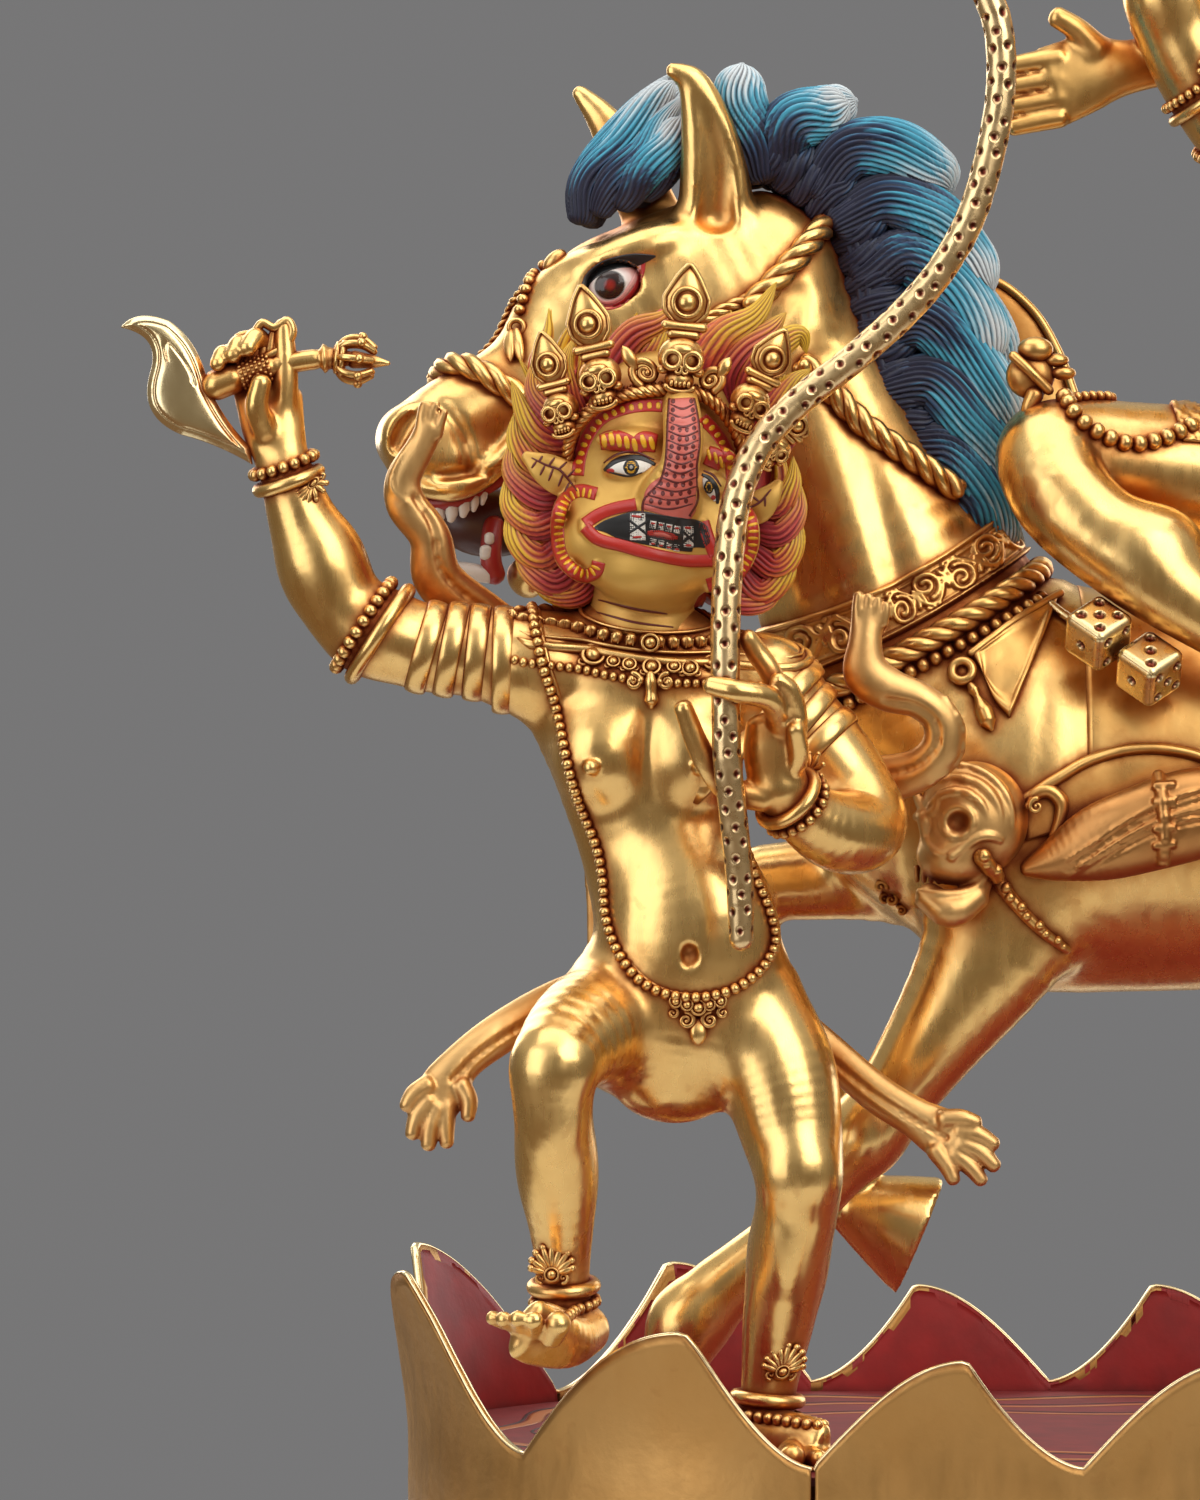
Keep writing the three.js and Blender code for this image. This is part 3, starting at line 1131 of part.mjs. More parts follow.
const G_CAPE_HAND = ofGoddess([
  [-12, 14.5, 74, 6, 2.4],
  [-17, 13.6, 83, 5.6, 2.8],
  [-24, 12, 90.4, 5.4, 3],
  [-32, 10.6, 90.6, 5.2, 3],
  [-41, 9.4, 88.6, 5, 3],
  [-48, 8.6, 87.4, 7, 3],
  [-55, 8, 85, 7.4, 2.4],
  [-60, 8, 84, 6.6, 1.8],
]);
const STAFF = ofGoddess([
  [-48, -12, 111, STAFF_RADIUS / GODDESS_SHARE],
  [-29.5, -12.6, 132, STAFF_RADIUS / GODDESS_SHARE],
  [-15, -13, 149, STAFF_RADIUS / GODDESS_SHARE],
  [-13, -13, 151.5, 3.6],
  [-9, -13, 156, 3.2],
]);
const [CUP_CENTRE] = ofGoddess([[6, -27.5, 62]]); // middle of the bowl's rim
const CUP_RADIUS = 8 * GODDESS_SHARE;
const CUP_DEPTH = 6.8 * GODDESS_SHARE;
const CUP_LIP = 1.2;
const CUP_HEAP = 3.5; // how high its contents are heaped above the rim
const CUP_GRIP = 1; // room between the bowl and the hand that holds it

// The skull cup with its heaped contents, cast in one piece and turned about its own axis.
function skullCup([x, y, z]) {
  const quarter = (steps, from, radius, height) =>
    Array.from({ length: steps + 1 }, (_, i) => {
      const angle = from + (i / steps) * (Math.PI / 2);
      return new THREE.Vector2(Math.cos(angle) * radius, Math.sin(angle) * height);
    });
  const bowl = quarter(4, -Math.PI / 2, CUP_RADIUS, CUP_DEPTH);
  const heap = quarter(3, 0, CUP_RADIUS - CUP_LIP, CUP_HEAP);
  bowl[0].x = 0;
  heap[heap.length - 1].x = 0;
  const geometry = new THREE.LatheGeometry([...bowl, ...heap], 12);
  geometry.rotateX(Math.PI / 2);
  geometry.translate(x, y, z);
  return solidOf(geometry);
}

const SEAT_X = 42 * MULE_SHARE; // the goddess's seat along the mule
const MULE_BACK = BARREL[2][2] + BARREL[2][3];
const SEAT_HEIGHT = MULE_BACK + CLOTH + CLEAR + SEAT_RISE;

function goddess() {
  const group = new THREE.Group();
  group.position.set(SEAT_X, 0, PLINTH_HEIGHT + SEAT_HEIGHT);
  const add = (name, solid, material) => group.add(mesh(name, solid, material));
  const torso = (grow) => limb(G_TORSO, { sides: TORSO_SIDES, rings: 10, grow });
  const head = (grow) => limb(G_HEAD, { sides: 10, rings: 6, grow });
  const armRight = (grow) => limb(G_ARM_RIGHT, { rings: 8, grow });
  const armLeft = (grow) => limb(G_ARM_LEFT, { rings: 8, grow });
  const legRight = (grow) =>
    join(limb(G_LEG_RIGHT, { rings: 8, grow }), limb(G_FOOT_RIGHT, { rings: 2, sides: 6, grow }));
  const legLeft = (grow) =>
    join(limb(G_LEG_LEFT, { rings: 8, grow }), limb(G_FOOT_LEFT, { rings: 2, sides: 6, grow }));
  const hair = (grow) => limb(G_HAIR, { sides: 10, rings: 6, grow });
  const staff = (grow) => limb(STAFF, { rings: 7, sides: 6, grow });
  const cupRoom = egg(CUP_CENTRE, [CUP_RADIUS, CUP_RADIUS, CUP_DEPTH], CUP_GRIP);
  const [roomTorso, roomHead, roomHair] = [torso(CLEAR), head(CLEAR), hair(CLEAR)];
  const limbRooms = [armRight(CLEAR), armLeft(CLEAR), legRight(CLEAR), legLeft(CLEAR)];

  // She sits on the cloth: everything that would sink into the mule is cut off the casting.
  const mount = join(trunkOfMule(CLEAR), saddleCloth(CLEAR), dice(CLEAR));
  const muleRoom = mount.translate([-SEAT_X, 0, -SEAT_HEIGHT]);
  add("goddess_torso", seat(torso(0), muleRoom), MATERIALS.gilt);
  add("goddess_head", seat(head(0), roomTorso), MATERIALS.faceGold);
  add("goddess_arm_right", seat(armRight(0), roomTorso, staff(CLEAR)), MATERIALS.gilt);
  add("goddess_arm_left", seat(armLeft(0), roomTorso, cupRoom), MATERIALS.gilt);
  add("goddess_leg_right", seat(legRight(0), roomTorso, muleRoom), MATERIALS.gilt);
  add("goddess_leg_left", seat(legLeft(0), roomTorso, muleRoom, limbRooms[2]), MATERIALS.gilt);
  add("staff", staff(0), MATERIALS.gilt);
  add("skull_cup", skullCup(CUP_CENTRE), MATERIALS.gilt);

  const crown = (grow) =>
    diadem(
      G_CROWN_CENTRE,
      G_CROWN_PLANE,
      G_CROWN_RIM,
      GODDESS_SHARE,
      G_CROWN_LEAVES,
      G_LEAF_HALF_WIDTH,
      grow,
    );
  const hairRooms = [roomHead, roomTorso, crown(CLEAR), ...limbRooms];
  add("goddess_hair", seat(hair(0), ...hairRooms), MATERIALS.flamePaint);
  add("goddess_crown", seat(crown(0), roomHead, staff(CLEAR)), MATERIALS.gilt);
  const cape = join(limb(G_CAPE, { rings: 4 }), limb(G_CAPE_HAND, { rings: 6, sides: 6 }));
  const capeRooms = [roomTorso, roomHair, ...limbRooms, muleRoom];
  add("goddess_skin_cape", seat(cape, ...capeRooms), MATERIALS.oldGilt);
  return group;
}

const statue = new THREE.Group();
statue.name = "protector_goddess_statue";
statue.add(plinth(), mule(), attendant(), goddess());

export default statue;
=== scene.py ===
# %% [markdown]
# # A gilt statue group, dressed around its castings
# The statue is gilt copper: a plinth with a collar of wave petals, a mule with a painted mane, the
# goddess in the saddle, and her attendant, who leads the mule with a serpent rein. The castings are
# loaded as fixed solids of the right size. Every figure is then modelled over its castings as a
# sculptor works, in clay first and with the jewellery laid on afterwards.
#
# All places are in millimetres, with Z up, the viewer on the -Y side and the mule walking to -X.

# %% Load the castings
import math

import bpy
import numpy as np
import openvdb
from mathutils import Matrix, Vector
from mathutils.bvhtree import BVHTree


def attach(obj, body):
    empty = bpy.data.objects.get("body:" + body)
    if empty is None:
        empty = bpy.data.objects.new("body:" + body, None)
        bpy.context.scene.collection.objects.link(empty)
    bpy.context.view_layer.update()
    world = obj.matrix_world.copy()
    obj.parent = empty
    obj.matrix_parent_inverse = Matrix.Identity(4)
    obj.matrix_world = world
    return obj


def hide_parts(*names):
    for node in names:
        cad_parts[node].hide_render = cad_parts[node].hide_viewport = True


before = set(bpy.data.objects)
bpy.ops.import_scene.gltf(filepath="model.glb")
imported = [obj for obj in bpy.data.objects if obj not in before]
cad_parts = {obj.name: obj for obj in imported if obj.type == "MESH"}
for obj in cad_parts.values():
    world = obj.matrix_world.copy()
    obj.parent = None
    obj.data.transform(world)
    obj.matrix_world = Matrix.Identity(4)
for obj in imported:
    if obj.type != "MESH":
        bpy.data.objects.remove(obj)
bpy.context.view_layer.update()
MM = 0.001

# %% [markdown]
# ## Camera, floor and light
# The statue is seen from the front at the height of the attendant's breast, through a long lens, so
# upright lines stay upright. Polished gold shows mostly what is round it. Large soft lamps against a
# grey room give it long pale highlights with dark bands between them.

# %% Camera
VIEW_POINT = Vector((-91.7, -1145.0, 154.3)) * MM
SEEN_HEIGHT = 250.0
SEEN_AT = 1100.0
SENSOR = 36.0

camera_data = bpy.data.cameras.new("camera")
camera_data.sensor_width = SENSOR
camera_data.lens = SENSOR * SEEN_AT / SEEN_HEIGHT
camera = bpy.data.objects.new("camera", camera_data)
camera.location = VIEW_POINT
camera.rotation_euler = (math.radians(90), 0, 0)
bpy.context.scene.collection.objects.link(camera)
bpy.context.scene.camera = camera
bpy.context.scene.view_settings.view_transform = "Standard"
print("lens:", round(camera_data.lens, 1), "mm")

# %% Lamps and room
LAMPS = {
    "key_lamp": ((560, -900, 760), (0.9, 0.9), 7.5, (1.0, 0.97, 0.92)),
    "fill_lamp": ((-860, -760, 420), (0.8, 1.1), 5, (0.97, 0.98, 1.0)),
    "top_lamp": ((-60, -160, 980), (1.1, 0.8), 5, (1.0, 0.98, 0.95)),
    "rim_lamp": ((-520, 820, 620), (0.6, 0.9), 4.5, (1.0, 0.98, 0.95)),
    "back_lamp": ((620, 760, 420), (0.6, 0.9), 3.5, (1.0, 1.0, 1.0)),
}
AIM = Vector((-20, 0, 165)) * MM
for lamp_name, (place, size, watts, tint) in LAMPS.items():
    lamp_data = bpy.data.lights.new(lamp_name, "AREA")
    lamp_data.shape = "RECTANGLE"
    lamp_data.size, lamp_data.size_y = size
    lamp_data.energy = watts
    lamp_data.color = tint
    lamp = bpy.data.objects.new(lamp_name, lamp_data)
    lamp.location = Vector(place) * MM
    lamp.rotation_euler = (AIM - lamp.location).to_track_quat("-Z", "Y").to_euler()
    bpy.context.scene.collection.objects.link(lamp)

BACKDROP_GREY = (0.184, 0.182, 0.183, 1)
ROOM_WARMTH = (
    (0.2, (0.20, 0.13, 0.08, 1)), (0.40, (0.19, 0.155, 0.115, 1)), (0.60, (0.21, 0.185, 0.155, 1)),
    (0.8, (0.50, 0.48, 0.45, 1))
)
world = bpy.data.worlds.new("studio")
world.use_nodes = True
sky = world.node_tree
heading = sky.nodes.new("ShaderNodeTexCoord")
split = sky.nodes.new("ShaderNodeSeparateXYZ")
sky.links.new(heading.outputs["Generated"], split.inputs["Vector"])
tones = sky.nodes.new("ShaderNodeValToRGB")
raised = sky.nodes.new("ShaderNodeMapRange")
raised.inputs["From Min"].default_value = -1
sky.links.new(split.outputs["Z"], raised.inputs["Value"])
sky.links.new(raised.outputs["Result"], tones.inputs["Fac"])
tones.color_ramp.elements.remove(tones.color_ramp.elements[1])
tones.color_ramp.elements[0].position, tones.color_ramp.elements[0].color = ROOM_WARMTH[0]
for height, tone in ROOM_WARMTH[1:]:
    tones.color_ramp.elements.new(height).color = tone
rays = sky.nodes.new("ShaderNodeLightPath")
choice = sky.nodes.new("ShaderNodeMix")
choice.data_type = "RGBA"
sky.links.new(rays.outputs["Is Camera Ray"], choice.inputs[0])
sky.links.new(tones.outputs["Color"], choice.inputs[6])
choice.inputs[7].default_value = BACKDROP_GREY
sky.links.new(choice.outputs[2], sky.nodes["Background"].inputs["Color"])
bpy.context.scene.world = world
print("lamps:", len(LAMPS))

# %% [markdown]
# ## Finishes
# Fire gilding is bright where it was burnished, and keeps a red-brown tone in every crevice, where
# the burnisher could not reach. Ambient occlusion finds those crevices: it is dark wherever nearby
# metal crowds a point, whether on the same casting or on a bead laid over it. The same measure also
# makes the gold duller there. A wider measure turns the gold orange round the forms, where it faces
# other gold: this is partly orange patina and partly painted reflection of the gold nearby.

# %% Node helpers
def link(tree, value, socket):
    """Joins a node's output to a socket, or sets the socket to a plain value."""
    if isinstance(value, bpy.types.NodeSocket):
        tree.links.new(value, socket)
    elif value is not None:
        socket.default_value = value


def node(tree, kind, output=0, settings=None, **inputs):
    """Adds a node, sets its settings and inputs, and returns one of its outputs."""
    made = tree.nodes.new("ShaderNode" + kind)
    for key, value in (settings or {}).items():
        setattr(made, key, value)
    for key, value in inputs.items():
        link(tree, value, made.inputs[int(key[1:]) if key[0] == "i" and key[1:].isdigit() else key])
    return made.outputs[output]


def maths(tree, operation, a, b=None, c=None):
    return node(tree, "Math", 0, {"operation": operation}, i0=a, i1=b, i2=c)


def ramp(tree, value, low, high, to_low=0.0, to_high=1.0):
    """Maps a value from one span to another and stops at both ends."""
    return node(tree, "MapRange", 0, None, i0=value, i1=low, i2=high, i3=to_low, i4=to_high)


def blend_colours(tree, share, a, b):
    return node(tree, "Mix", 2, {"data_type": "RGBA"}, i0=share, i6=a, i7=b)


def new_finish(name):
    """An empty material with its shader, ready for nodes."""
    made = bpy.data.materials.new(name)
    made.use_nodes = True
    tree = made.node_tree
    return made, tree, tree.nodes["Principled BSDF"]


def here(tree):
    return node(tree, "TexCoord", 3)


def noise(tree, scale, detail=3.0, stretch=None):
    place = here(tree)
    if stretch:
        place = node(tree, "Mapping", 0, None, i0=place, i3=stretch)
    return node(tree, "TexNoise", 0, None, Vector=place, Scale=scale, Detail=detail)


def crevices(tree, reach, samples=6):
    """1 where nearby metal crowds a point, 0 in the open."""
    open_sky = node(tree, "AmbientOcclusion", 1, {"samples": samples}, Distance=reach)
    uneven = ramp(tree, noise(tree, 260, 4), 0.3, 0.7, -0.1, 0.1)
    return ramp(tree, maths(tree, "ADD", open_sky, uneven), 0.93, 0.52)

# %% Gilt finishes
def gilding(
    name, polished, tarnish, rough, reach=0.0018, dull=0.3, bump=0.06, patina_and_reflection_orange=(0.64, 0.225, 0.04),
    spread=0.010
):
    """Burnished gold: red-brown patina in the tight crevices, and round the forms a matt orange that is
    partly patina and partly painted reflection of the gold nearby.
    """
    made, tree, shader = new_finish(name)
    crowded = crevices(tree, reach)
    patina_and_reflection_mask = maths(tree, "MULTIPLY", crevices(tree, spread, 5), 0.92)
    cloud = ramp(tree, noise(tree, 55, 3), 0.35, 0.7)
    warm = [c * f for c, f in zip(polished, (0.95, 0.84, 0.66))] + [1]
    base = blend_colours(tree, maths(tree, "MULTIPLY", cloud, 0.4), [*polished, 1], warm)
    # partly orange patina, partly painted reflection: orange where the gold faces nearby gold
    base = blend_colours(tree, patina_and_reflection_mask, base, [*patina_and_reflection_orange, 1])
    link(tree, blend_colours(tree, crowded, base, [*tarnish, 1]), shader.inputs["Base Color"])
    shader.inputs["Metallic"].default_value = 1.0
    scuffs = ramp(tree, noise(tree, 420, 5, (1, 1, 0.25)), 0.35, 0.75, -0.03, 0.09)
    dullness = maths(tree, "MULTIPLY_ADD", crowded, dull, maths(tree, "ADD", scuffs, rough))
    link(tree, maths(tree, "MULTIPLY_ADD", patina_and_reflection_mask, 0.14, dullness), shader.inputs["Roughness"])
    grain = node(tree, "Bump", 0, None, Strength=bump, Distance=0.0004, Height=noise(tree, 520, 4))
    link(tree, grain, shader.inputs["Normal"])
    return made


GILT = gilding("gilt", (0.88, 0.585, 0.225), (0.25, 0.05, 0.016), 0.25, 0.0021)
OLD_GILT = gilding("old_gilt", (0.80, 0.49, 0.17), (0.20, 0.042, 0.016), 0.3, 0.0032)
BAG_GILT = gilding("bag_gilt", (0.54, 0.27, 0.095), (0.18, 0.038, 0.014), 0.34, 0.0036)
WAVE_GILT = gilding(
    "wave_gilt", (0.50, 0.283, 0.098), (0.18, 0.058, 0.022), 0.43, 0.004, 0.4, 0.2, (0.42, 0.18, 0.05),
    0.009
)
HIDE_GILT = gilding(
    "hide_gilt", (0.76, 0.47, 0.19), (0.26, 0.06, 0.02), 0.38, 0.0028, 0.3, 0.1, (0.60, 0.21, 0.04),
    0.010
)
BRIGHT_GILT = gilding("bright_gilt", (0.93, 0.78, 0.47), (0.44, 0.18, 0.06), 0.17, dull=0.25)
COPPER = gilding("copper", (0.62, 0.30, 0.17), (0.16, 0.06, 0.03), 0.4, patina_and_reflection_orange=(0.45, 0.18, 0.09))
print("gilt finishes:", 7)

# %% Painted finishes
def painted(name, rough=0.5, colour=None, sheen=0.0, reach=0.002):
    """Mineral paint: its colour is carried by the mesh, or is one colour all over, a little uneven."""
    made, tree, shader = new_finish(name)
    if colour is None:
        base = node(tree, "VertexColor", 0, {"layer_name": "paint"})
    else:
        darker = [c * 0.72 for c in colour] + [1]
        base = blend_colours(tree, ramp(tree, noise(tree, 180, 4), 0.35, 0.7), [*colour, 1], darker)
    # painted shade: the paint is darkened towards a dull red-brown where nearby metal crowds it
    crowded = maths(tree, "MULTIPLY", crevices(tree, reach), 0.55)
    shadow = blend_colours(tree, 1.0, base, (0.35, 0.2, 0.2, 1))
    tree.nodes[-1].blend_type = "MULTIPLY"
    link(tree, blend_colours(tree, crowded, base, shadow), shader.inputs["Base Color"])
    shader.inputs["Roughness"].default_value = rough
    shader.inputs["Coat Weight"].default_value = sheen
    shader.inputs["Coat Roughness"].default_value = 0.25
    grain = node(tree, "Bump", 0, None, Strength=0.12, Distance=0.0003, Height=noise(tree, 900, 3))
    link(tree, grain, shader.inputs["Normal"])
    return made


HAIR_PAINT = painted("hair_paint", 0.5, sheen=0.15)
MANE_PAINT = painted("mane_paint", 0.55, sheen=0.1)
print("painted finishes:", 2)

# %% Floor
def full_turn(count):
    """Angles spread evenly round a circle."""
    return np.linspace(0, 2 * math.pi, count, endpoint=False)


FLOOR_RADIUS = 250.0
FLOOR_GREY = (0.62, 0.62, 0.62)
floor_finish, floor_tree, floor_shader = new_finish("floor_paper")
floor_fleck = ramp(floor_tree, noise(floor_tree, 30), 0.2, 0.8, 0.97, 1.0)
floor_tone = node(floor_tree, "HueSaturation", 0, None, Value=floor_fleck, Color=(*FLOOR_GREY, 1))
link(floor_tree, floor_tone, floor_shader.inputs["Base Color"])
floor_shader.inputs["Roughness"].default_value = 0.8
floor_mesh = bpy.data.meshes.new("floor")
floor_rim = [
    (FLOOR_RADIUS * MM * math.cos(a), FLOOR_RADIUS * MM * math.sin(a), 0)
    for a in full_turn(128)
]
floor_mesh.from_pydata(floor_rim, [], [list(range(128))])
floor = bpy.data.objects.new("floor", floor_mesh)
floor_mesh.materials.append(floor_finish)
bpy.context.scene.collection.objects.link(floor)

# %% [markdown]
# ## A block of clay
# A figure's flesh runs on smoothly from limb to limb, which is hard to do with separate tubes. So the
# clay here is a box of numbers, each the distance to the nearest surface, negative inside. A limb
# is pressed on by taking the smaller distance, with a soft blend where it meets what is there, and a
# fold is cut by pushing the surface in. At the end the surface where the distance is zero becomes
# the mesh.

# %% Smooth curves through chosen points
def smooth_line(points, steps=6, closed=False):
    """A curve through chosen points, with `steps` pieces between each two. Sizes are carried along."""
    p = np.array(points, float)
    if closed:
        p = np.vstack([p[-1], p, p[0], p[1]])
    else:
        p = np.vstack([2 * p[0] - p[1], p, 2 * p[-1] - p[-2]])
    gaps = np.maximum(np.linalg.norm(np.diff(p[:, :3], axis=0), axis=1) ** 0.5, 1e-3)
    u = np.linspace(0, 1, steps, endpoint=False)[:, None]
    runs = []
    for i in range(1, len(p) - 2):
        a, b, c, d = p[i - 1 : i + 3]
        ga, gb, gc = gaps[i - 1 : i + 2]
        leave = ((b - a) / ga - (c - a) / (ga + gb) + (c - b) / gb) * gb
        reach = ((c - b) / gb - (d - b) / (gb + gc) + (d - c) / gc) * gb
        weights = (2 * u**3 - 3 * u**2 + 1, u**3 - 2 * u**2 + u, 3 * u**2 - 2 * u**3, u**3 - u**2)
        runs.append(sum(w * v for w, v in zip(weights, (b, leave, c, reach))))
    if not closed:
        runs.append(p[-2][None])
    return np.vstack(runs)


def flat_line(run, steps=6):
    """A smooth curve through [x, z] places, as the viewer sees them."""
    return smooth_line([(x, 0, z) for x, z in run], steps)


def unit(v):
    v = np.asarray(v, float)
    return v / np.maximum(np.linalg.norm(v, axis=-1, keepdims=True), 1e-9)


DEPTH = np.array((0.0, 1.0, 0.0))
RIGHT, FRONT, UP = (1, 0, 0), (0, -1, 0), (0, 0, 1)

# %% The clay
FAR = 30.0
SHELL = 3.0
HAIRLINE = 0.1


def soft_min(a, b, width):
    if width <= 0:
        return np.minimum(a, b)
    h = np.clip(0.5 + 0.5 * (b - a) / width, 0, 1)
    return b * (1 - h) + a * h - width * h * (1 - h)


def oval_distance(u, v, w, a, b, c):
    """Roughly how far a point lies outside an egg with half sizes a, b and c."""
    k = np.sqrt((u / a) ** 2 + (v / b) ** 2 + (w / c) ** 2)
    slope = np.sqrt((u / a**2) ** 2 + (v / b**2) ** 2 + (w / c**2) ** 2)
    k = np.maximum(k, 1e-3)
    return k * (k - 1) / np.maximum(slope, 1e-4)


class Clay:
    """Distances on a grid, in millimetres, negative inside. Shapes are given from the figure's place."""

    def __init__(self, place, low, high, step):
        self.place, self.step = place, step
        self.low = np.add(place, low)
        count = np.ceil((np.add(place, high) - self.low) / step).astype(int) + 1
        self.field = np.full(count, FAR, np.float32)

    def window(self, low, high):
        """The slices of a box of the grid, and the grid's coordinates in it."""
        shape = self.field.shape
        start = np.clip(np.floor((np.asarray(low) - self.low) / self.step), 0, shape).astype(int)
        stop = np.clip(np.ceil((np.asarray(high) - self.low) / self.step) + 1, 0, shape).astype(int)
        spans = [
            np.arange(a, b, dtype=np.float32) * self.step + o for a, b, o in zip(start, stop, self.low)
        ]
        cut = tuple(slice(a, b) for a, b in zip(start, stop))
        return cut, np.ix_(*spans)

    def limb_distance(self, stations, reach, steps=4):
        """Distance to a smooth run of oval sections: [x, y, z, across, deep, turn]."""
        rows = np.array([list(s) + [s[3], 0][len(s) - 4 :] if len(s) < 6 else s for s in stations], float)
        fine = smooth_line(rows, steps)
        size = fine[:, 3:5].max() + 2 * self.step
        cut, _ = self.window(fine[:, :3].min(0) - size - reach, fine[:, :3].max(0) + size + reach)
        near = np.full([s.stop - s.start for s in cut], FAR, np.float32)
        for p, q in zip(fine[:-1], fine[1:]):
            grown = max(p[3], p[4], q[3], q[4]) + reach
            part, (x, y, z) = self.window(
                np.minimum(p[:3], q[:3]) - grown, np.maximum(p[:3], q[:3]) + grown
            )
            inner = tuple(slice(s.start - c.start, s.stop - c.start) for s, c in zip(part, cut))
            if near[inner].size == 0:
                continue
            run = q[:3] - p[:3]
            length = max(np.linalg.norm(run), 1e-6)
            along = run / length
            across = np.cross(DEPTH, along)
            across = unit(across if np.linalg.norm(across) > 1e-3 else (1, 0, 0))
            deep = np.cross(along, across)
            turn = math.radians((p[5] + q[5]) / 2)
            across, deep = (
                math.cos(turn) * across + math.sin(turn) * deep,
                math.cos(turn) * deep - math.sin(turn) * across,
            )
            x, y, z = x - p[0], y - p[1], z - p[2]
            s = x * along[0] + y * along[1] + z * along[2]
            t = np.clip(s / length, 0, 1)
            u = x * across[0] + y * across[1] + z * across[2]
            v = x * deep[0] + y * deep[1] + z * deep[2]
            a = p[3] + (q[3] - p[3]) * t
            b = p[4] + (q[4] - p[4]) * t
            d = oval_distance(u, v, s - t * length, a, b, 0.8 * np.minimum(a, b))
            np.minimum(near[inner], d, out=near[inner])
        return cut, near

    def egg_distance(self, centre, radii, reach, turn=0.0):
        """Distance to an egg, turned about the depth axis by `turn` degrees."""
        size = max(radii) + reach
        cut, (x, y, z) = self.window(np.array(centre) - size, np.array(centre) + size)
        x, y, z = x - centre[0], y - centre[1], z - centre[2]
        c, s = math.cos(math.radians(turn)), math.sin(math.radians(turn))
        return cut, oval_distance(c * x - s * z, y + 0 * x, s * x + c * z, *radii)

    def press(self, found, blend):
        cut, near = found
        self.field[cut] = soft_min(self.field[cut], near, blend)

    def carve(self, found, blend):
        cut, near = found
        self.field[cut] = -soft_min(-self.field[cut], near, blend)

    def moved(self, stations):
        return [(*np.add(s[:3], self.place), *s[3:]) for s in stations]

    def limb(self, stations, blend=0.0, steps=4, sole=None):
        """Presses a limb on. `sole` is a point and a direction past which it is cut flat."""
        cut, near = self.limb_distance(self.moved(stations), blend + 2, steps)
        if sole is not None:
            spans = [np.arange(c.start, c.stop) * self.step + o for c, o in zip(cut, self.low)]
            grid = np.ix_(*spans)
            point, way = np.add(sole[0], self.place), unit(sole[1])
            plane = sum((g - o) * w for g, o, w in zip(grid, point, way))
            near = np.maximum(near, plane)
        self.press((cut, near), blend)

    def egg(self, centre, radii, blend=3.0, turn=0.0):
        self.press(self.egg_distance(np.add(centre, self.place), radii, blend + 2, turn), blend)

    def hollow(self, stations, blend=0.6, steps=4):
        self.carve(self.limb_distance(self.moved(stations), blend + 1, steps), blend)

    def dent(self, centre, radii, blend=1.0, turn=0.0):
        self.carve(self.egg_distance(np.add(centre, self.place), radii, blend + 1, turn), blend)

    def groove(self, points, width, depth):
        """Sinks a soft line into the surface along a run of points."""
        line = self.moved([(*point[:3], HAIRLINE) for point in points])
        cut, near = self.limb_distance(line, 3 * width)
        self.field[cut] += depth * np.exp(-((np.maximum(near, 0) / width) ** 2))

    def floor(self, z=0):
        """Cuts away everything below a height."""
        heights = np.arange(self.field.shape[2]) * self.step + self.low[2]
        below = self.place[2] + z - heights
        self.field = np.maximum(self.field, below[None, None, :].astype(np.float32))

    def surface(self):
        """The points and quads of the surface where the distance is zero."""
        grid = openvdb.FloatGrid(SHELL)
        grid.copyFromArray(np.clip(self.field / self.step, -SHELL, SHELL))
        points, quads = grid.convertToQuads(isovalue=0.0)
        points = np.asarray(points, float) * self.step + self.low
        return points, np.asarray(quads, int)[:, ::-1]

    def front(self, x, z):
        """How near the viewer the clay comes at [x, z], which is a world place."""
        i, k = (int(round((v - o) / self.step)) for v, o in zip((x, z), (self.low[0], self.low[2])))
        solid = np.flatnonzero(self.field[i, :, k] < 0)
        return self.low[1] + solid[0] * self.step if len(solid) else self.low[1] + 12

    def laid(self, run, sink=0.2):
        """Stations [x, y, z, size] for a run of [x, z, size] that lies on the clay's front."""
        px, py, pz = self.place
        return [(x, self.front(x + px, z + pz) + sink - py, z, size) for x, z, size in run]

    def laid_thread(self, run, steps, size, sink):
        """The same for a smooth thread of one size through [x, z] places."""
        return self.laid([(x, z, size) for x, _, z in flat_line(run, steps)], sink)

# %% Meshes from points
def outward(points, quads):
    """Turns all the quads round if the mesh is inside out."""
    a, b, c = points[quads[:, 0]], points[quads[:, 1]], points[quads[:, 2]]
    volume = np.einsum("ij,ij->i", a, np.cross(b, c)).sum()
    return quads if volume > 0 else quads[:, ::-1]


def smoothed(points, quads, rounds, amount=0.5):
    """Moves each point towards the middle of its neighbours and back, so that size is kept."""
    pairs = np.vstack([quads[:, [i, (i + 1) % 4]] for i in range(4)])
    count = np.bincount(pairs[:, 0], minlength=len(points))
    for step in range(2 * rounds):
        pull = amount if step % 2 == 0 else -amount * 0.94
        total = np.stack(
            [np.bincount(pairs[:, 0], points[pairs[:, 1], i], minlength=len(points)) for i in range(3)], 1
        )
        points = points + pull * (total / np.maximum(count, 1)[:, None] - points)
    return points


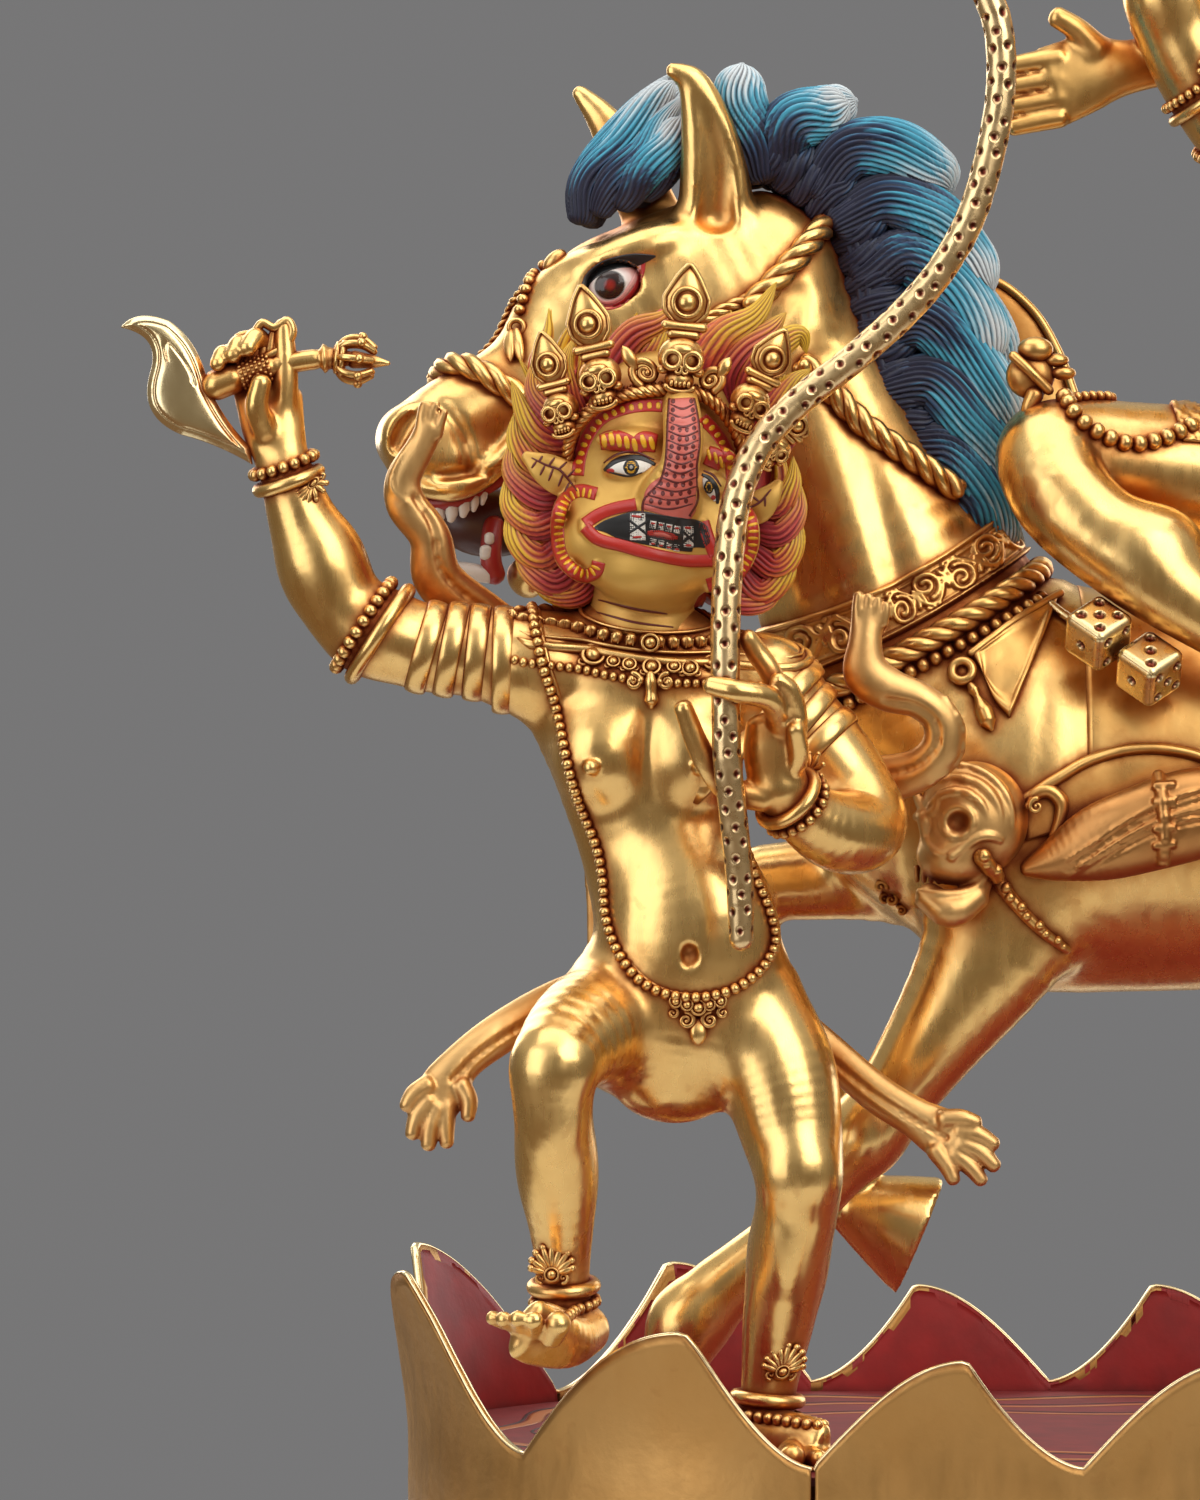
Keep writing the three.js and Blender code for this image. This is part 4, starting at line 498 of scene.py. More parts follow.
def make_mesh(name, points, faces_by_size, paint=None):
    """A mesh from points in millimetres and arrays of quads and triangles."""
    mesh = bpy.data.meshes.new(name)
    faces_by_size = [np.asarray(f, np.int32) for f in faces_by_size if len(f)]
    loops = np.concatenate([f.ravel() for f in faces_by_size])
    sizes = np.concatenate([np.full(len(f), f.shape[1], np.int32) for f in faces_by_size])
    starts = np.concatenate([[0], np.cumsum(sizes)[:-1]]).astype(np.int32)
    mesh.vertices.add(len(points))
    mesh.vertices.foreach_set("co", (np.asarray(points) * MM).astype(np.float32).ravel())
    mesh.loops.add(len(loops))
    mesh.loops.foreach_set("vertex_index", loops.astype(np.int32))
    mesh.polygons.add(len(sizes))
    mesh.polygons.foreach_set("loop_start", starts)
    mesh.polygons.foreach_set("use_smooth", np.ones(len(sizes), bool))
    mesh.update(calc_edges=True)
    if paint is not None:
        colours = np.ones((len(points), 4), np.float32)
        colours[:, :3] = paint
        layer = mesh.color_attributes.new("paint", "FLOAT_COLOR", "POINT")
        layer.data.foreach_set("color", colours.ravel())
    return mesh


TALLY = {}


def show(name, mesh, finish, replaced=()):
    """Puts a mesh in the scene as a piece of the statue, in place of some castings."""
    piece = bpy.data.objects.new(name, mesh)
    mesh.materials.append(finish)
    bpy.context.scene.collection.objects.link(piece)
    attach(piece, "root")
    if replaced:
        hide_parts(*replaced)
    TALLY[name] = len(mesh.polygons)
    return piece


def fire(clay, name, finish, replaced=(), rounds=2, paint=None):
    """Hardens the clay into a piece, and returns its points and quads for laying things on."""
    points, quads = clay.surface()
    quads = outward(points, quads)
    points = smoothed(points, quads, rounds)
    colours = paint(points) if paint else None
    show(name, make_mesh(name, points, [quads], colours), finish, replaced)
    print(name, "quads:", len(quads))
    return points, quads

# %% [markdown]
# ## The attendant's body
# She is slender, with small breasts and a round belly, and stands on one bent leg with the other
# raised. Her castings give the run of each limb. The clay adds what a limb alone can't have: knees,
# calves, the shoulder's cap, fingers round the rein and toes.

# %% Where each figure stands
ATTENDANT = np.array((-75, -46, 36.0))
MULE = np.array((0, 0, 36.0))
GODDESS = np.array((42, 0, 185.25))

# %% Attendant: limbs, as her castings run
TORSO = [
    (-4.7, 0, 63, 10, 8.5),
    (-4.2, 0, 71.5, 18.2, 11.2),
    (-2.5, -1, 86.5, 15.6, 11.5),
    (-6, 0, 100, 13.4, 10.2),
    (-8.7, 0, 115, 15.6, 10.6),
    (-9.7, 0, 126.5, 19.2, 11),
    (-10, 0, 134, 17.5, 9),
    (-9.8, -0.5, 139.5, 9.3, 8),
    (-9.6, -1, 145, 7.6, 7.2),
]
ARM_RIGHT = [
    (-26, 0, 131.5, 8.1),
    (-36.7, 0, 134.5, 7.6),
    (-46.7, -1, 135.6, 7.3),
    (-57, -2, 139.7, 7.1),
    (-63, -3, 149, 6.9),
    (-66.4, -4, 157.5, 5.6),
    (-68.8, -5, 164.4, 4.3),
]
ARM_LEFT = [
    (9, 0, 128.5, 8),
    (18, -1, 121, 7.4),
    (25, -3.5, 111.5, 7.2),
    (26.5, -8, 105.5, 7.1),
    (22, -14, 105, 6.6),
    (16, -19, 108.5, 5.1),
    (12.5, -22, 112, 4.2),
]
LEG_RIGHT = [
    (-12.5, 0, 73.5, 10.6, 10.3),
    (-19, -10, 72, 9.4, 9.4),
    (-24, -19, 66.3, 7.2, 7.2),
    (-24.3, -18.5, 57, 6.4, 6.6),
    (-23.3, -14.5, 45, 6, 6.1),
    (-22.8, -10.5, 32.5, 4.4, 4.4),
    (-22.6, -9.5, 27, 4.4, 4.7),
]
LEG_LEFT = [
    (7, 0, 75, 10.8, 10.3),
    (12.5, -3, 65, 10, 9.8),
    (15, -5.5, 55, 8.5, 8.4),
    (16.2, -7, 46.7, 7.2, 7.2),
    (14.7, -5, 35, 6.6, 6.8),
    (13, -3, 24, 6, 6),
    (11.3, -2, 11.7, 4.6, 4.6),
    (10.8, -2, 6, 4.7, 4.9),
]

# %% Attendant: hands and feet, finger by finger
PALM_RIGHT = [(-69.4, -5.2, 166.5, 4.4, 3.4), (-70.8, -4.6, 171.5, 5.2, 3.4), (-71.6, -3.6, 176.5, 5.6, 3)]
FINGERS_RIGHT = [
    [(-69.2, -5, 173, 2.3), (-68.8, -5.6, 181, 2.1), (-69.1, -5.4, 188.6, 1.6)],
    [(-72.4, -3, 177, 2), (-72.2, -3.4, 184, 1.9), (-73.6, -6.5, 186.6, 1.7), (-75, -8.6, 184.6, 1.5)],
    [(-74, -3, 176.5, 1.9), (-75, -3.4, 183, 1.8), (-76.4, -6.3, 185.6, 1.6), (-77.4, -8.2, 183.4, 1.4)],
    [(-75.2, -3, 175.6, 1.7), (-77.4, -3.4, 181.6, 1.6), (-79, -6, 184, 1.5), (-80, -7.8, 182, 1.3)],
    [(-72, -7, 171, 2.2), (-73.4, -9, 175, 2), (-72.6, -9.6, 179, 1.7)],
]
PALM_LEFT = [(12, -22.8, 113, 4.6, 3.2), (11.6, -23.8, 118.5, 5, 3), (11.4, -24.4, 122.5, 4.4, 2.6)]
FINGERS_LEFT = [
    [(10, -23.6, 110.5, 2.4), (4.4, -24.2, 111.8, 2.2), (0.2, -26.2, 117, 2), (-3.2, -27.8, 125.2, 1.6)],
    [(13, -25.6, 122, 2.2), (10.6, -31.4, 126.6, 2), (5.4, -34, 127.8, 1.9), (1.2, -32.8, 128.8, 1.6)],
    [(12.4, -24.6, 123, 2), (11.4, -26.8, 130, 1.9), (8.6, -27.4, 134.4, 1.8), (7.2, -28.4, 136.6, 1.5)],
    [(14.2, -24, 117, 2), (15.2, -27, 122.6, 1.9), (14, -29.6, 128, 1.7), (12, -30.6, 129.6, 1.5)],
    [(13.8, -23.4, 113.6, 1.8), (15.6, -26.4, 117.4, 1.7), (15, -29.2, 121.8, 1.5)],
]
FOOT_RIGHT = [
    (-19.4, -8, 22.5, 4.4, 4.4),
    (-22.5, -15, 21.6, 4.9, 3.8),
    (-26.6, -21.5, 23, 5.4, 2.8),
    (-28.6, -24.5, 24, 5.2, 2.2),
]
TOES_RIGHT = [
    [(-24.6, -25.5, 23, 2.1), (-23.4, -29, 25.4, 2.1)],
    [(-27.4, -26, 24, 1.6), (-27.4, -30.2, 26, 1.5)],
    [(-29.4, -25.6, 24.6, 1.5), (-30, -29.6, 26.2, 1.4)],
    [(-31, -24.6, 24.8, 1.4), (-32.4, -28, 26, 1.3)],
    [(-32.2, -23, 25, 1.3), (-34.2, -25.8, 26, 1.2)],
]
FOOT_LEFT = [
    (8.4, -0.5, 4, 4.3, 4.3),
    (13, -6, 4.2, 4.8, 4),
    (17, -10.4, 3.4, 5.2, 3),
    (18.6, -12, 2.8, 5, 2.5),
]
TOES_LEFT = [
    [(14.6, -13.6, 2.6, 2.3), (14.8, -17.6, 2.4, 2.1)],
    [(18, -13.6, 2.2, 1.7), (19.2, -17.2, 2, 1.6)],
    [(20.4, -12.6, 2.1, 1.6), (22.2, -15.6, 1.9, 1.5)],
    [(22.2, -11, 2, 1.5), (24.6, -13.4, 1.8, 1.4)],
    [(23.4, -9, 1.9, 1.4), (26, -10.8, 1.7, 1.3)],
]

# %% Attendant: muscle, bone and fat as eggs [centre, radii, blend]
SHAPES = [
    ((-16.6, -6.4, 117.4), (7.6, 6.8, 7.8), 4),
    ((-1.2, -6.4, 117.4), (7.6, 6.8, 7.8), 4),
    ((-1.4, -5.4, 90), (12.2, 8.2, 14), 6),
    ((-8.6, -7.6, 130.5), (12, 2.6, 1.8), 3),
    ((-27.5, -0.5, 133), (8.6, 8.4, 8), 4),
    ((10.5, -0.5, 129), (9, 8.6, 8.4), 4),
    ((-12.5, 6.5, 70), (9.4, 6.8, 9), 4),
    ((5.5, 6.5, 70), (9.4, 6.8, 9), 4),
    ((-24.2, -21.6, 67), (6, 4.8, 5.6), 4),
    ((-23.9, -13.4, 52), (5.8, 5.8, 10), 4),
    ((-24, -22.4, 59.5), (2.6, 2.4, 6.5), 3),
    ((16, -11, 48.6), (5.6, 4.2, 5.6), 4),
    ((14.6, -0.5, 35), (6, 5.6, 9.5), 4),
    ((14.2, -9.2, 39), (2.4, 2.6, 9), 3),
    ((-54, -1.5, 138), (7.4, 7.2, 7), 3),
    ((-62.6, -2.6, 149), (6.6, 6.8, 8), 3),
    ((26.4, -5.5, 106.5), (6.8, 6.6, 6.4), 3),
]
NIPPLES = [(-18.2, -13.4, 115.4), (-0.2, -13.4, 115.4)]
NAVEL = (-2, -14, 84.5)

# %% Attendant: sculpt
clay = Clay(ATTENDANT, (-84, -38, -1), (38, 20, 193), 0.5)
clay.limb(TORSO, 0, 6)
for stations, blend in ((LEG_RIGHT, 4), (LEG_LEFT, 4), (ARM_RIGHT, 4), (ARM_LEFT, 4)):
    clay.limb(stations, blend, 6)
for centre, radii, blend in SHAPES:
    clay.egg(centre, radii, blend)
for stations in (PALM_RIGHT, PALM_LEFT, FOOT_RIGHT, FOOT_LEFT):
    clay.limb(stations, 2, 5)
for stations in FINGERS_RIGHT + FINGERS_LEFT:
    clay.limb(stations, 0.6, 5)
for stations in TOES_RIGHT + TOES_LEFT:
    clay.limb(stations, 0.7, 3)
for centre in NIPPLES:
    clay.egg(centre, (1.4, 1.2, 1.4), 0.5)
clay.dent(NAVEL, (1.3, 1.6, 1.8), 1.2)
clay.groove([(-8.9, -12, 124), (-8.9, -12, 117), (-8.6, -11.6, 110)], 1.6, 0.8)
clay.groove([(-13, 12, 66), (-3.6, 13, 63), (-3.6, 9, 60)], 2.0, 0.8)
clay.floor()
BODY_POINTS, BODY_QUADS = fire(
    clay,
    "attendant_body",
    GILT,
    (
        "attendant_torso", "attendant_arm_right", "attendant_arm_left", "attendant_leg_right",
        "attendant_leg_left"
    ),
)

# %% [markdown]
# ## The mule's body
# The mule strides to the left with one foreleg raised, its head drawn in and its mouth open. Body,
# legs, head and jaw are one run of polished metal, so they are one block of clay, with the shoulder,
# haunch, cheek and nostril pressed on. The mouth, the ears and the folds of the throat are cut.

# %% Mule: body and legs, as the castings run
BARREL = [
    (-34, 0, 113, 20.5, 18.5),
    (-22, 0, 111.5, 32.5, 24.5),
    (4, 0, 110.5, 34, 27),
    (38, 0, 111.5, 32.5, 27),
    (73, 0, 113, 32.5, 26.5),
    (93, 0, 114, 25.5, 21.5),
]
NECK = [
    (-60, 1, 202, 10, 9),
    (-57, 1, 181, 16.5, 12),
    (-48, 0, 158, 20, 14.5),
    (-37, 0, 136, 25.5, 18.5),
    (-25, 0, 115, 30, 23),
]
SKULL = [
    (-61, 1, 203, 13, 10.3),
    (-76, -1, 196.5, 16.3, 12.3),
    (-92, -4, 188.5, 13.3, 10),
    (-105.5, -7, 179.5, 9.8, 7.8),
    (-117, -9.5, 174, 8.6, 7.6),
    (-124, -11, 170.5, 7, 7.2),
]
JAW = [
    (-72, 0, 182, 11, 9.2),
    (-86, -3, 166, 6.3, 6.6),
    (-97, -6, 154.4, 4.2, 5.6),
    (-104.5, -8, 147.8, 3.6, 5.2),
]
FORELEG_NEAR = [
    (-18, -15, 100, 18, 9.6),
    (-25, -17, 84, 12.3, 8.6),
    (-36, -16.5, 67, 8, 7),
    (-45, -15.5, 54, 6.2, 6),
    (-59, -14.5, 37, 4.5, 4.5),
    (-76.5, -13.5, 19.5, 6.5, 5.2),
    (-80, -13, 10, 4.9, 4.8),
]
FORELEG_FAR = [
    (-34, 12, 100, 13, 9.6),
    (-52, 14, 96, 7.6, 7),
    (-67, 15.5, 93, 6.3, 6),
    (-62, 15.5, 78, 4.6, 4.6),
    (-52, 15, 57, 4.6, 4.6),
    (-47.5, 15, 43, 5.3, 5.2),
]
HINDLEG_NEAR = [
    (84, -13, 104, 20, 12),
    (80, -15.5, 82, 13.3, 9.6),
    (88, -15.5, 63, 8.4, 7.2),
    (97, -15, 47, 6.4, 6),
    (93, -14.5, 30, 4.6, 4.6),
    (89, -14, 16, 5.4, 5.2),
    (84, -14, 10, 4.8, 4.7),
]
HINDLEG_FAR = [
    (88, 13, 104, 19, 12),
    (92, 15.5, 80, 12.3, 9.6),
    (102, 15.5, 62, 8, 7.2),
    (111, 15, 48, 6.4, 6),
    (107, 14.5, 30, 4.6, 4.6),
    (103, 14, 16, 5.4, 5.2),
    (98, 14, 10, 4.8, 4.7),
]
EAR_NEAR = [
    (-71.5, -5, 206, 7.2, 4),
    (-72, -7.5, 217, 6, 3.4),
    (-73.6, -9.3, 227, 4.3, 2.6),
    (-76, -10.2, 233.4, 2.6, 1.8),
    (-79.4, -10.8, 235.2, 1.3, 1.2),
]
EAR_NEAR_CUP = [
    (-71.6, -10.5, 210, 3.6, 3.4),
    (-71.4, -12.2, 218, 3.7, 3),
    (-73, -13.2, 226, 2.5, 2.2),
    (-75, -13.4, 230.5, 1.2, 1.4),
]
EAR_FAR = [
    (-82, 7, 210, 5.4, 3.6),
    (-86.5, 9.5, 220, 4.6, 3.2),
    (-91, 11, 228.5, 3, 2.4),
    (-95.4, 11.5, 233.6, 1.4, 1.3),
]
EAR_FAR_CUP = [(-82.6, 13, 211, 2.8, 3), (-87, 14.6, 220, 2.4, 2.6), (-90.6, 15, 226, 1.2, 1.6)]

# %% Mule: hooves. A pastern spreads into a foot that is cut flat at its sole.
HOOF_SPREAD = (4.9, 7.4, 9.4)
HOOF_DEPTH = (4.8, 5.8, 6.5)
HOOF_HEIGHTS = (9.5, 4.6, 0)


def hoof_run(x, y, reach):
    shares = (0, 0.62, 1)
    return [
        (x - reach * s, y, z, a, b)
        for s, z, a, b in zip(shares, HOOF_HEIGHTS, HOOF_SPREAD, HOOF_DEPTH)
    ]


HOOVES = [hoof_run(-80, -13, 8), hoof_run(84, -14, 5), hoof_run(98, 14, 5)]
RAISED_HOOF = [(-47, 15, 38.2, 5.4, 5.2), (-41.5, 15, 35.8, 8.2, 6.2), (-35.4, 15, 33, 11, 6.7)]
RAISED_SOLE = ((-35.4, 15, 33), (11.4, 0, -4.8))

# %% Mule: muscle and bone as eggs [centre, radii, blend, turn]
MULE_SHAPES = [
    ((-20, -17, 106), (15, 8, 18), 7, 15),
    ((-20, 17, 106), (15, 8, 18), 7, 15),
    ((-46, 0, 118), (11, 13, 13), 7, 20),
    ((80, -13, 110), (18, 12, 20), 8, -10),
    ((82, 13, 110), (18, 12, 20), 8, -10),
    ((-66.5, -6.5, 190), (13, 6, 14), 5, 20),
    ((-66.5, 6.5, 190), (13, 6, 14), 5, 20),
    ((-86, -9.8, 204.4), (9.5, 3.6, 3), 4, -20),
    ((-90, 4, 205.4), (9.5, 3.6, 3), 4, -20),
    ((-96.7, -4.8, 194.8), (12, 7, 8), 4, -42),
    ((-103, -7, 186.5), (14, 4.4, 3.6), 4, -38),
    ((-124.6, -15.2, 172.6), (4, 3.2, 5), 2.5, 20),
    ((-126, -7, 172.6), (4, 3.2, 5), 2.5, 20),
    ((-117, -10, 167.4), (9.6, 7.4, 4.6), 3, -14),
    ((-76.5, -13.6, 20.6), (6.4, 5.6, 6), 3, 0),
    ((-46, -16, 53), (6.6, 6.4, 7.4), 3, 20),
    ((-66.4, 15.4, 91), (6.4, 6.2, 7), 3, 0),
    ((98, -15, 48), (6.6, 6.2, 8), 3, 0),
    ((112, 15, 49), (6.6, 6.2, 8), 3, 0),
    ((89.4, -14, 17), (6, 5.6, 5), 3, 0),
    ((103.4, 14, 17), (6, 5.6, 5), 3, 0),
]
LIP_UPPER = [
    (-122.6, -14.6, 163.8, 2.2),
    (-116.6, -16.5, 163, 2.2),
    (-111.6, -15.9, 165.2, 2.1),
    (-107.6, -14.8, 169, 2),
    (-104.6, -13.4, 174, 1.6),
]
NOSTRILS = [
    [(-126.6, -18.2, 170, 1.4, 2), (-124.8, -18.6, 173.6, 1.9, 2.2), (-122.6, -18.2, 176, 1.1, 1.8)],
    [(-129, -5, 170, 1.4, 2), (-127.6, -4, 173.6, 1.9, 2.2), (-125.6, -4, 176, 1.1, 1.8)],
]
MOUTH = [(-119, -10, 157.6, 5.2, 6), (-106, -8, 160.4, 4.8, 6), (-95, -5, 165, 3.4, 5.6)]
THROAT_FOLDS = [
    [(-62, -13.2, 176), (-60, -14.4, 160), (-52, -16.6, 140)],
    [(-52, -12.6, 186), (-46, -14.6, 168), (-40, -17, 146)],
    [(-70, -10.4, 170), (-66, -13.6, 178), (-58, -13, 196)],
]
NOSE_FOLDS = [
    [(-119, -17, 178), (-115, -16.4, 172), (-113.6, -16.4, 166)],
    [(-118.4, -17.4, 165.4), (-109, -16.6, 165.6)]
]
EYE = (-89.3, -11, 198.2)
EYE_FAR = (-92.6, 4.4, 198.3)
EYE_SOCKET, EYE_TURN = (5.1, 4, 4.1), -25

# %% Mule: sculpt
clay = Clay(MULE, (-134, -38, -1), (124, 36, 238), 0.65)
clay.limb(BARREL, 0, 5)
clay.limb(NECK, 9, 5)
for stations, blend in ((FORELEG_NEAR, 6), (FORELEG_FAR, 6), (HINDLEG_NEAR, 6), (HINDLEG_FAR, 6)):
    clay.limb(stations, blend, 5)
clay.limb(SKULL, 6, 5)
clay.limb(JAW, 3.5, 5)
for centre, radii, blend, turn in MULE_SHAPES:
    clay.egg(centre, radii, blend, turn)
for stations in HOOVES:
    clay.limb(stations, 0.8, 6)
clay.limb(RAISED_HOOF, 0.8, 6, sole=RAISED_SOLE)
clay.limb(LIP_UPPER, 1.2, 6)
clay.hollow(MOUTH, 1)
for stations in NOSTRILS:
    clay.hollow(stations, 1)
for stations, cup in ((EAR_NEAR, EAR_NEAR_CUP), (EAR_FAR, EAR_FAR_CUP)):
    clay.limb(stations, 3, 5)
    clay.hollow(cup, 1, 5)
for fold in THROAT_FOLDS:
    clay.groove(fold, 2.6, 1.5)
for fold in NOSE_FOLDS:
    clay.groove(fold, 1.0, 0.9)
for eye in (EYE, EYE_FAR):
    clay.dent(eye, EYE_SOCKET, 0.8, EYE_TURN)
clay.floor()
MULE_POINTS, MULE_QUADS = fire(
    clay,
    "mule_body_cast",
    GILT,
    (
        "mule_body",
        "mule_foreleg_near",
        "mule_foreleg_far",
        "mule_hindleg_near",
        "mule_hindleg_far",
        "mule_head",
        "mule_jaw",
        "mule_ear_near",
        "mule_ear_far",
    ),
)

# %% [markdown]
# ## The goddess's body
# She sits sideways on the saddle cloth with her knees wide, and both legs hang on the viewer's side.
# One arm is raised with the staff and the other holds the skull cup before her. Her flesh is heavier
# than the attendant's, with a full belly.

# %% Goddess: limbs, hands and feet
G_TORSO = [
    (0, 0, 8, 14.8, 11.8),
    (0, 0, 16, 17.2, 13.2),
    (0, -1, 30, 13.4, 11.6),
    (0, 0, 42, 12, 10),
    (0, 0, 55, 16, 12),
    (0, 0, 66, 19, 12),
    (0, 0, 73, 16.4, 9.2),
    (0, 0, 79, 9, 8),
    (0, -1, 86, 7.8, 7.8),
]
G_ARM_RIGHT = [
    (-15, 0, 69, 8.8),
    (-25, -1, 80, 8.2),
    (-33, -2, 93, 7.6),
    (-36, -3.5, 104, 6.9),
    (-34, -6, 115, 6.1),
    (-31.4, -7.6, 125, 4.6),
]
G_ARM_LEFT = [
    (15, 0, 69, 8.8),
    (25, -1, 60, 8.1),
    (33, -4, 50, 7.6),
    (33, -10, 44.5, 7.2),
    (25, -18, 47, 6.5),
    (17.4, -23, 50.6, 4.6),
]
G_LEG_RIGHT = [
    (-8, -2, 13, 12.8, 11.8),
    (-24, -6.5, 15.5, 12, 11.4),
    (-42, -11.5, 18, 10.8, 10.4),
    (-56, -17, 19, 9.4, 9.4),
    (-55, -24, 12, 8.6, 8.4),
    (-42, -29.5, 0, 7.8, 7.4),
    (-27, -32, -11, 5.8, 5.6),
    (-20, -32.5, -16, 5, 5),
]
G_LEG_LEFT = [
    (8, -2, 13, 12.8, 11.8),
    (24, -9, 16, 11.3, 10.8),
    (37, -18, 16, 9.4, 9.4),
    (37, -27, 6, 8.6, 8.4),
    (31, -32, -9, 7.4, 7.4),
    (24, -33.5, -22, 5.4, 5.4),
    (22, -33.5, -29, 4.9, 4.9),
]
G_HANDS = [
    [(-30.8, -8, 127.5, 4.6, 3.8), (-30, -8.2, 131.5, 5, 4), (-29.6, -8.2, 135, 4.4, 3.4)],
    [(14.6, -24.6, 52, 4.8, 3.6), (10.6, -26, 53.4, 5.2, 3.2), (6.6, -27, 53.6, 4.2, 2.2)],
]
G_FINGERS = [
    [(-33, -9, 134, 1.9), (-33.4, -13, 134.4, 1.8), (-31.6, -15.4, 131.6, 1.6)],
    [(-30.6, -9, 136, 2), (-31, -13.4, 136.6, 1.9), (-29.4, -15.8, 133.6, 1.7)],
    [(-28.2, -9, 136.6, 2), (-28.4, -13.4, 137.4, 1.9), (-27, -15.8, 134.6, 1.7)],
    [(-26, -9, 136, 1.9), (-25.4, -13, 137, 1.8), (-24.4, -15, 134.6, 1.6)],
    [(-27.4, -8.4, 129, 2.1), (-25.6, -11, 129.4, 1.9), (-25, -14, 130.6, 1.6)],
    [(8, -23.6, 54, 1.9), (1.6, -22.4, 56, 1.7), (-2.2, -22.8, 59.6, 1.5)],
    [(7, -26.4, 53.2, 1.9), (0.4, -27, 55, 1.7), (-3.4, -27.4, 59, 1.5)],
    [(8, -29.2, 53.6, 1.8), (2, -31.6, 55.6, 1.6), (-1.4, -32.2, 59.4, 1.4)],
    [(13.8, -27.4, 53.6, 2), (12.6, -32.4, 55.6, 1.8), (12.6, -35, 59.6, 1.5)],
]
G_FEET = [
    [(-19, -32.5, -18, 5, 4.6), (-13, -34, -20.6, 5.4, 3.8), (-7, -34.8, -22, 5.4, 2.6)],
    [(22, -33, -31, 4.8, 4.6), (17.4, -35.2, -33.6, 5.2, 3.8), (12.4, -36.6, -35, 5, 2.6)],
]
G_TOES = [
    [(-5.4, -37.6, -21.4, 2), (-1.6, -38.4, -22, 1.9)],
    [(-4.6, -36, -22.6, 1.5), (-0.8, -36.4, -23.4, 1.4)],
    [(-4.6, -34.6, -23.4, 1.4), (-1.2, -34.8, -24.4, 1.3)],
    [(-5.2, -33.4, -24, 1.3), (-2, -33.4, -25, 1.2)],
    [(10.6, -38.2, -33.4, 1.9), (6.8, -39.2, -33.6, 1.8)],
    [(10.2, -37.6, -35.4, 1.5), (6.6, -38.2, -36, 1.4)],
    [(10.6, -36.2, -36.6, 1.4), (7.4, -36.6, -37.2, 1.3)],
]
G_SHAPES = [
    ((-8.2, -7.6, 59), (8.4, 7.2, 8.2), 4),
    ((8.2, -7.6, 59), (8.4, 7.2, 8.2), 4),
    ((0, -6, 30), (13, 9, 13.5), 7),
    ((0, -7.6, 70), (11.6, 2.6, 1.8), 3),
    ((-17, 0, 70), (9.4, 9, 8.6), 4),
    ((17, 0, 70), (9.4, 9, 8.6), 4),
    ((-9, 7, 12), (10.4, 8, 9.6), 4),
    ((9, 7, 12), (10.4, 8, 9.6), 4),
    ((-57.6, -18.6, 20), (7, 7, 7), 4),
    ((39, -19.4, 17), (7, 7, 7), 4),
    ((-35.4, -3, 100), (7.2, 7.2, 8), 3),
    ((33.6, -6.6, 48), (7.4, 7.2, 6.6), 3),
    ((-40, -28, 3), (8.6, 7.6, 7.6), 4),
    ((33, -30, -3), (7.6, 7.8, 9), 4),
]

# %% Goddess: sculpt
clay = Clay(GODDESS, (-68, -42, -42), (50, 22, 140), 0.7)
clay.limb(G_TORSO, 0, 5)
for stations in (G_LEG_RIGHT, G_LEG_LEFT, G_ARM_RIGHT, G_ARM_LEFT):
    clay.limb(stations, 4.5, 5)
for centre, radii, blend in G_SHAPES:
    clay.egg(centre, radii, blend)
for stations in G_HANDS + G_FEET:
    clay.limb(stations, 2, 4)
for stations in G_FINGERS + G_TOES:
    clay.limb(stations, 0.7, 4)
for side in (-1, 1):
    clay.egg((side * 8.4, -14.9, 57.6), (1.5, 1.3, 1.5), 0.6)
clay.dent((0, -15.4, 27), (1.5, 2, 2), 1.4)
GODDESS_POINTS, GODDESS_QUADS = fire(
    clay,
    "goddess_body",
    GILT,
    ("goddess_torso", "goddess_arm_right", "goddess_arm_left", "goddess_leg_right", "goddess_leg_left"),
)

# %% [markdown]
# ## Wire, beads and rope
# The jewellery is built from a few things that the metalworker solders together: wire of any section,
# beads, twisted rope and rolled scrolls. Each is added to a heap of points and faces, and the heap
# becomes one piece.

# %% A heap of parts
class Heap:
    """Collects closed parts and makes one mesh of them."""

    def __init__(self):
        self.points, self.quads, self.tris, self.paint = [], [], [], []
        self.count = 0

    def put(self, points, quads, tris=(), paint=None):
        points = np.asarray(points, float)
        self.points.append(points)
        self.quads.append(np.asarray(quads, int).reshape(-1, 4) + self.count)
        self.tris.append(np.asarray(tris, int).reshape(-1, 3) + self.count)
        colours = np.ones((len(points), 3)) if paint is None else np.broadcast_to(paint, (len(points), 3))
        self.paint.append(colours)
        self.count += len(points)

    def join(self, other):
        self.points += other.points
        self.quads += [q + self.count for q in other.quads]
        self.tris += [q + self.count for q in other.tris]
        self.paint += other.paint
        self.count += other.count

    def piece(self, name, finish, replaced=(), slot="gilt"):
        faces = [np.vstack(self.quads), np.vstack(self.tris)]
        mesh = make_mesh(name, np.vstack(self.points), faces, np.vstack(self.paint))
        return show(name, mesh, finish, replaced)


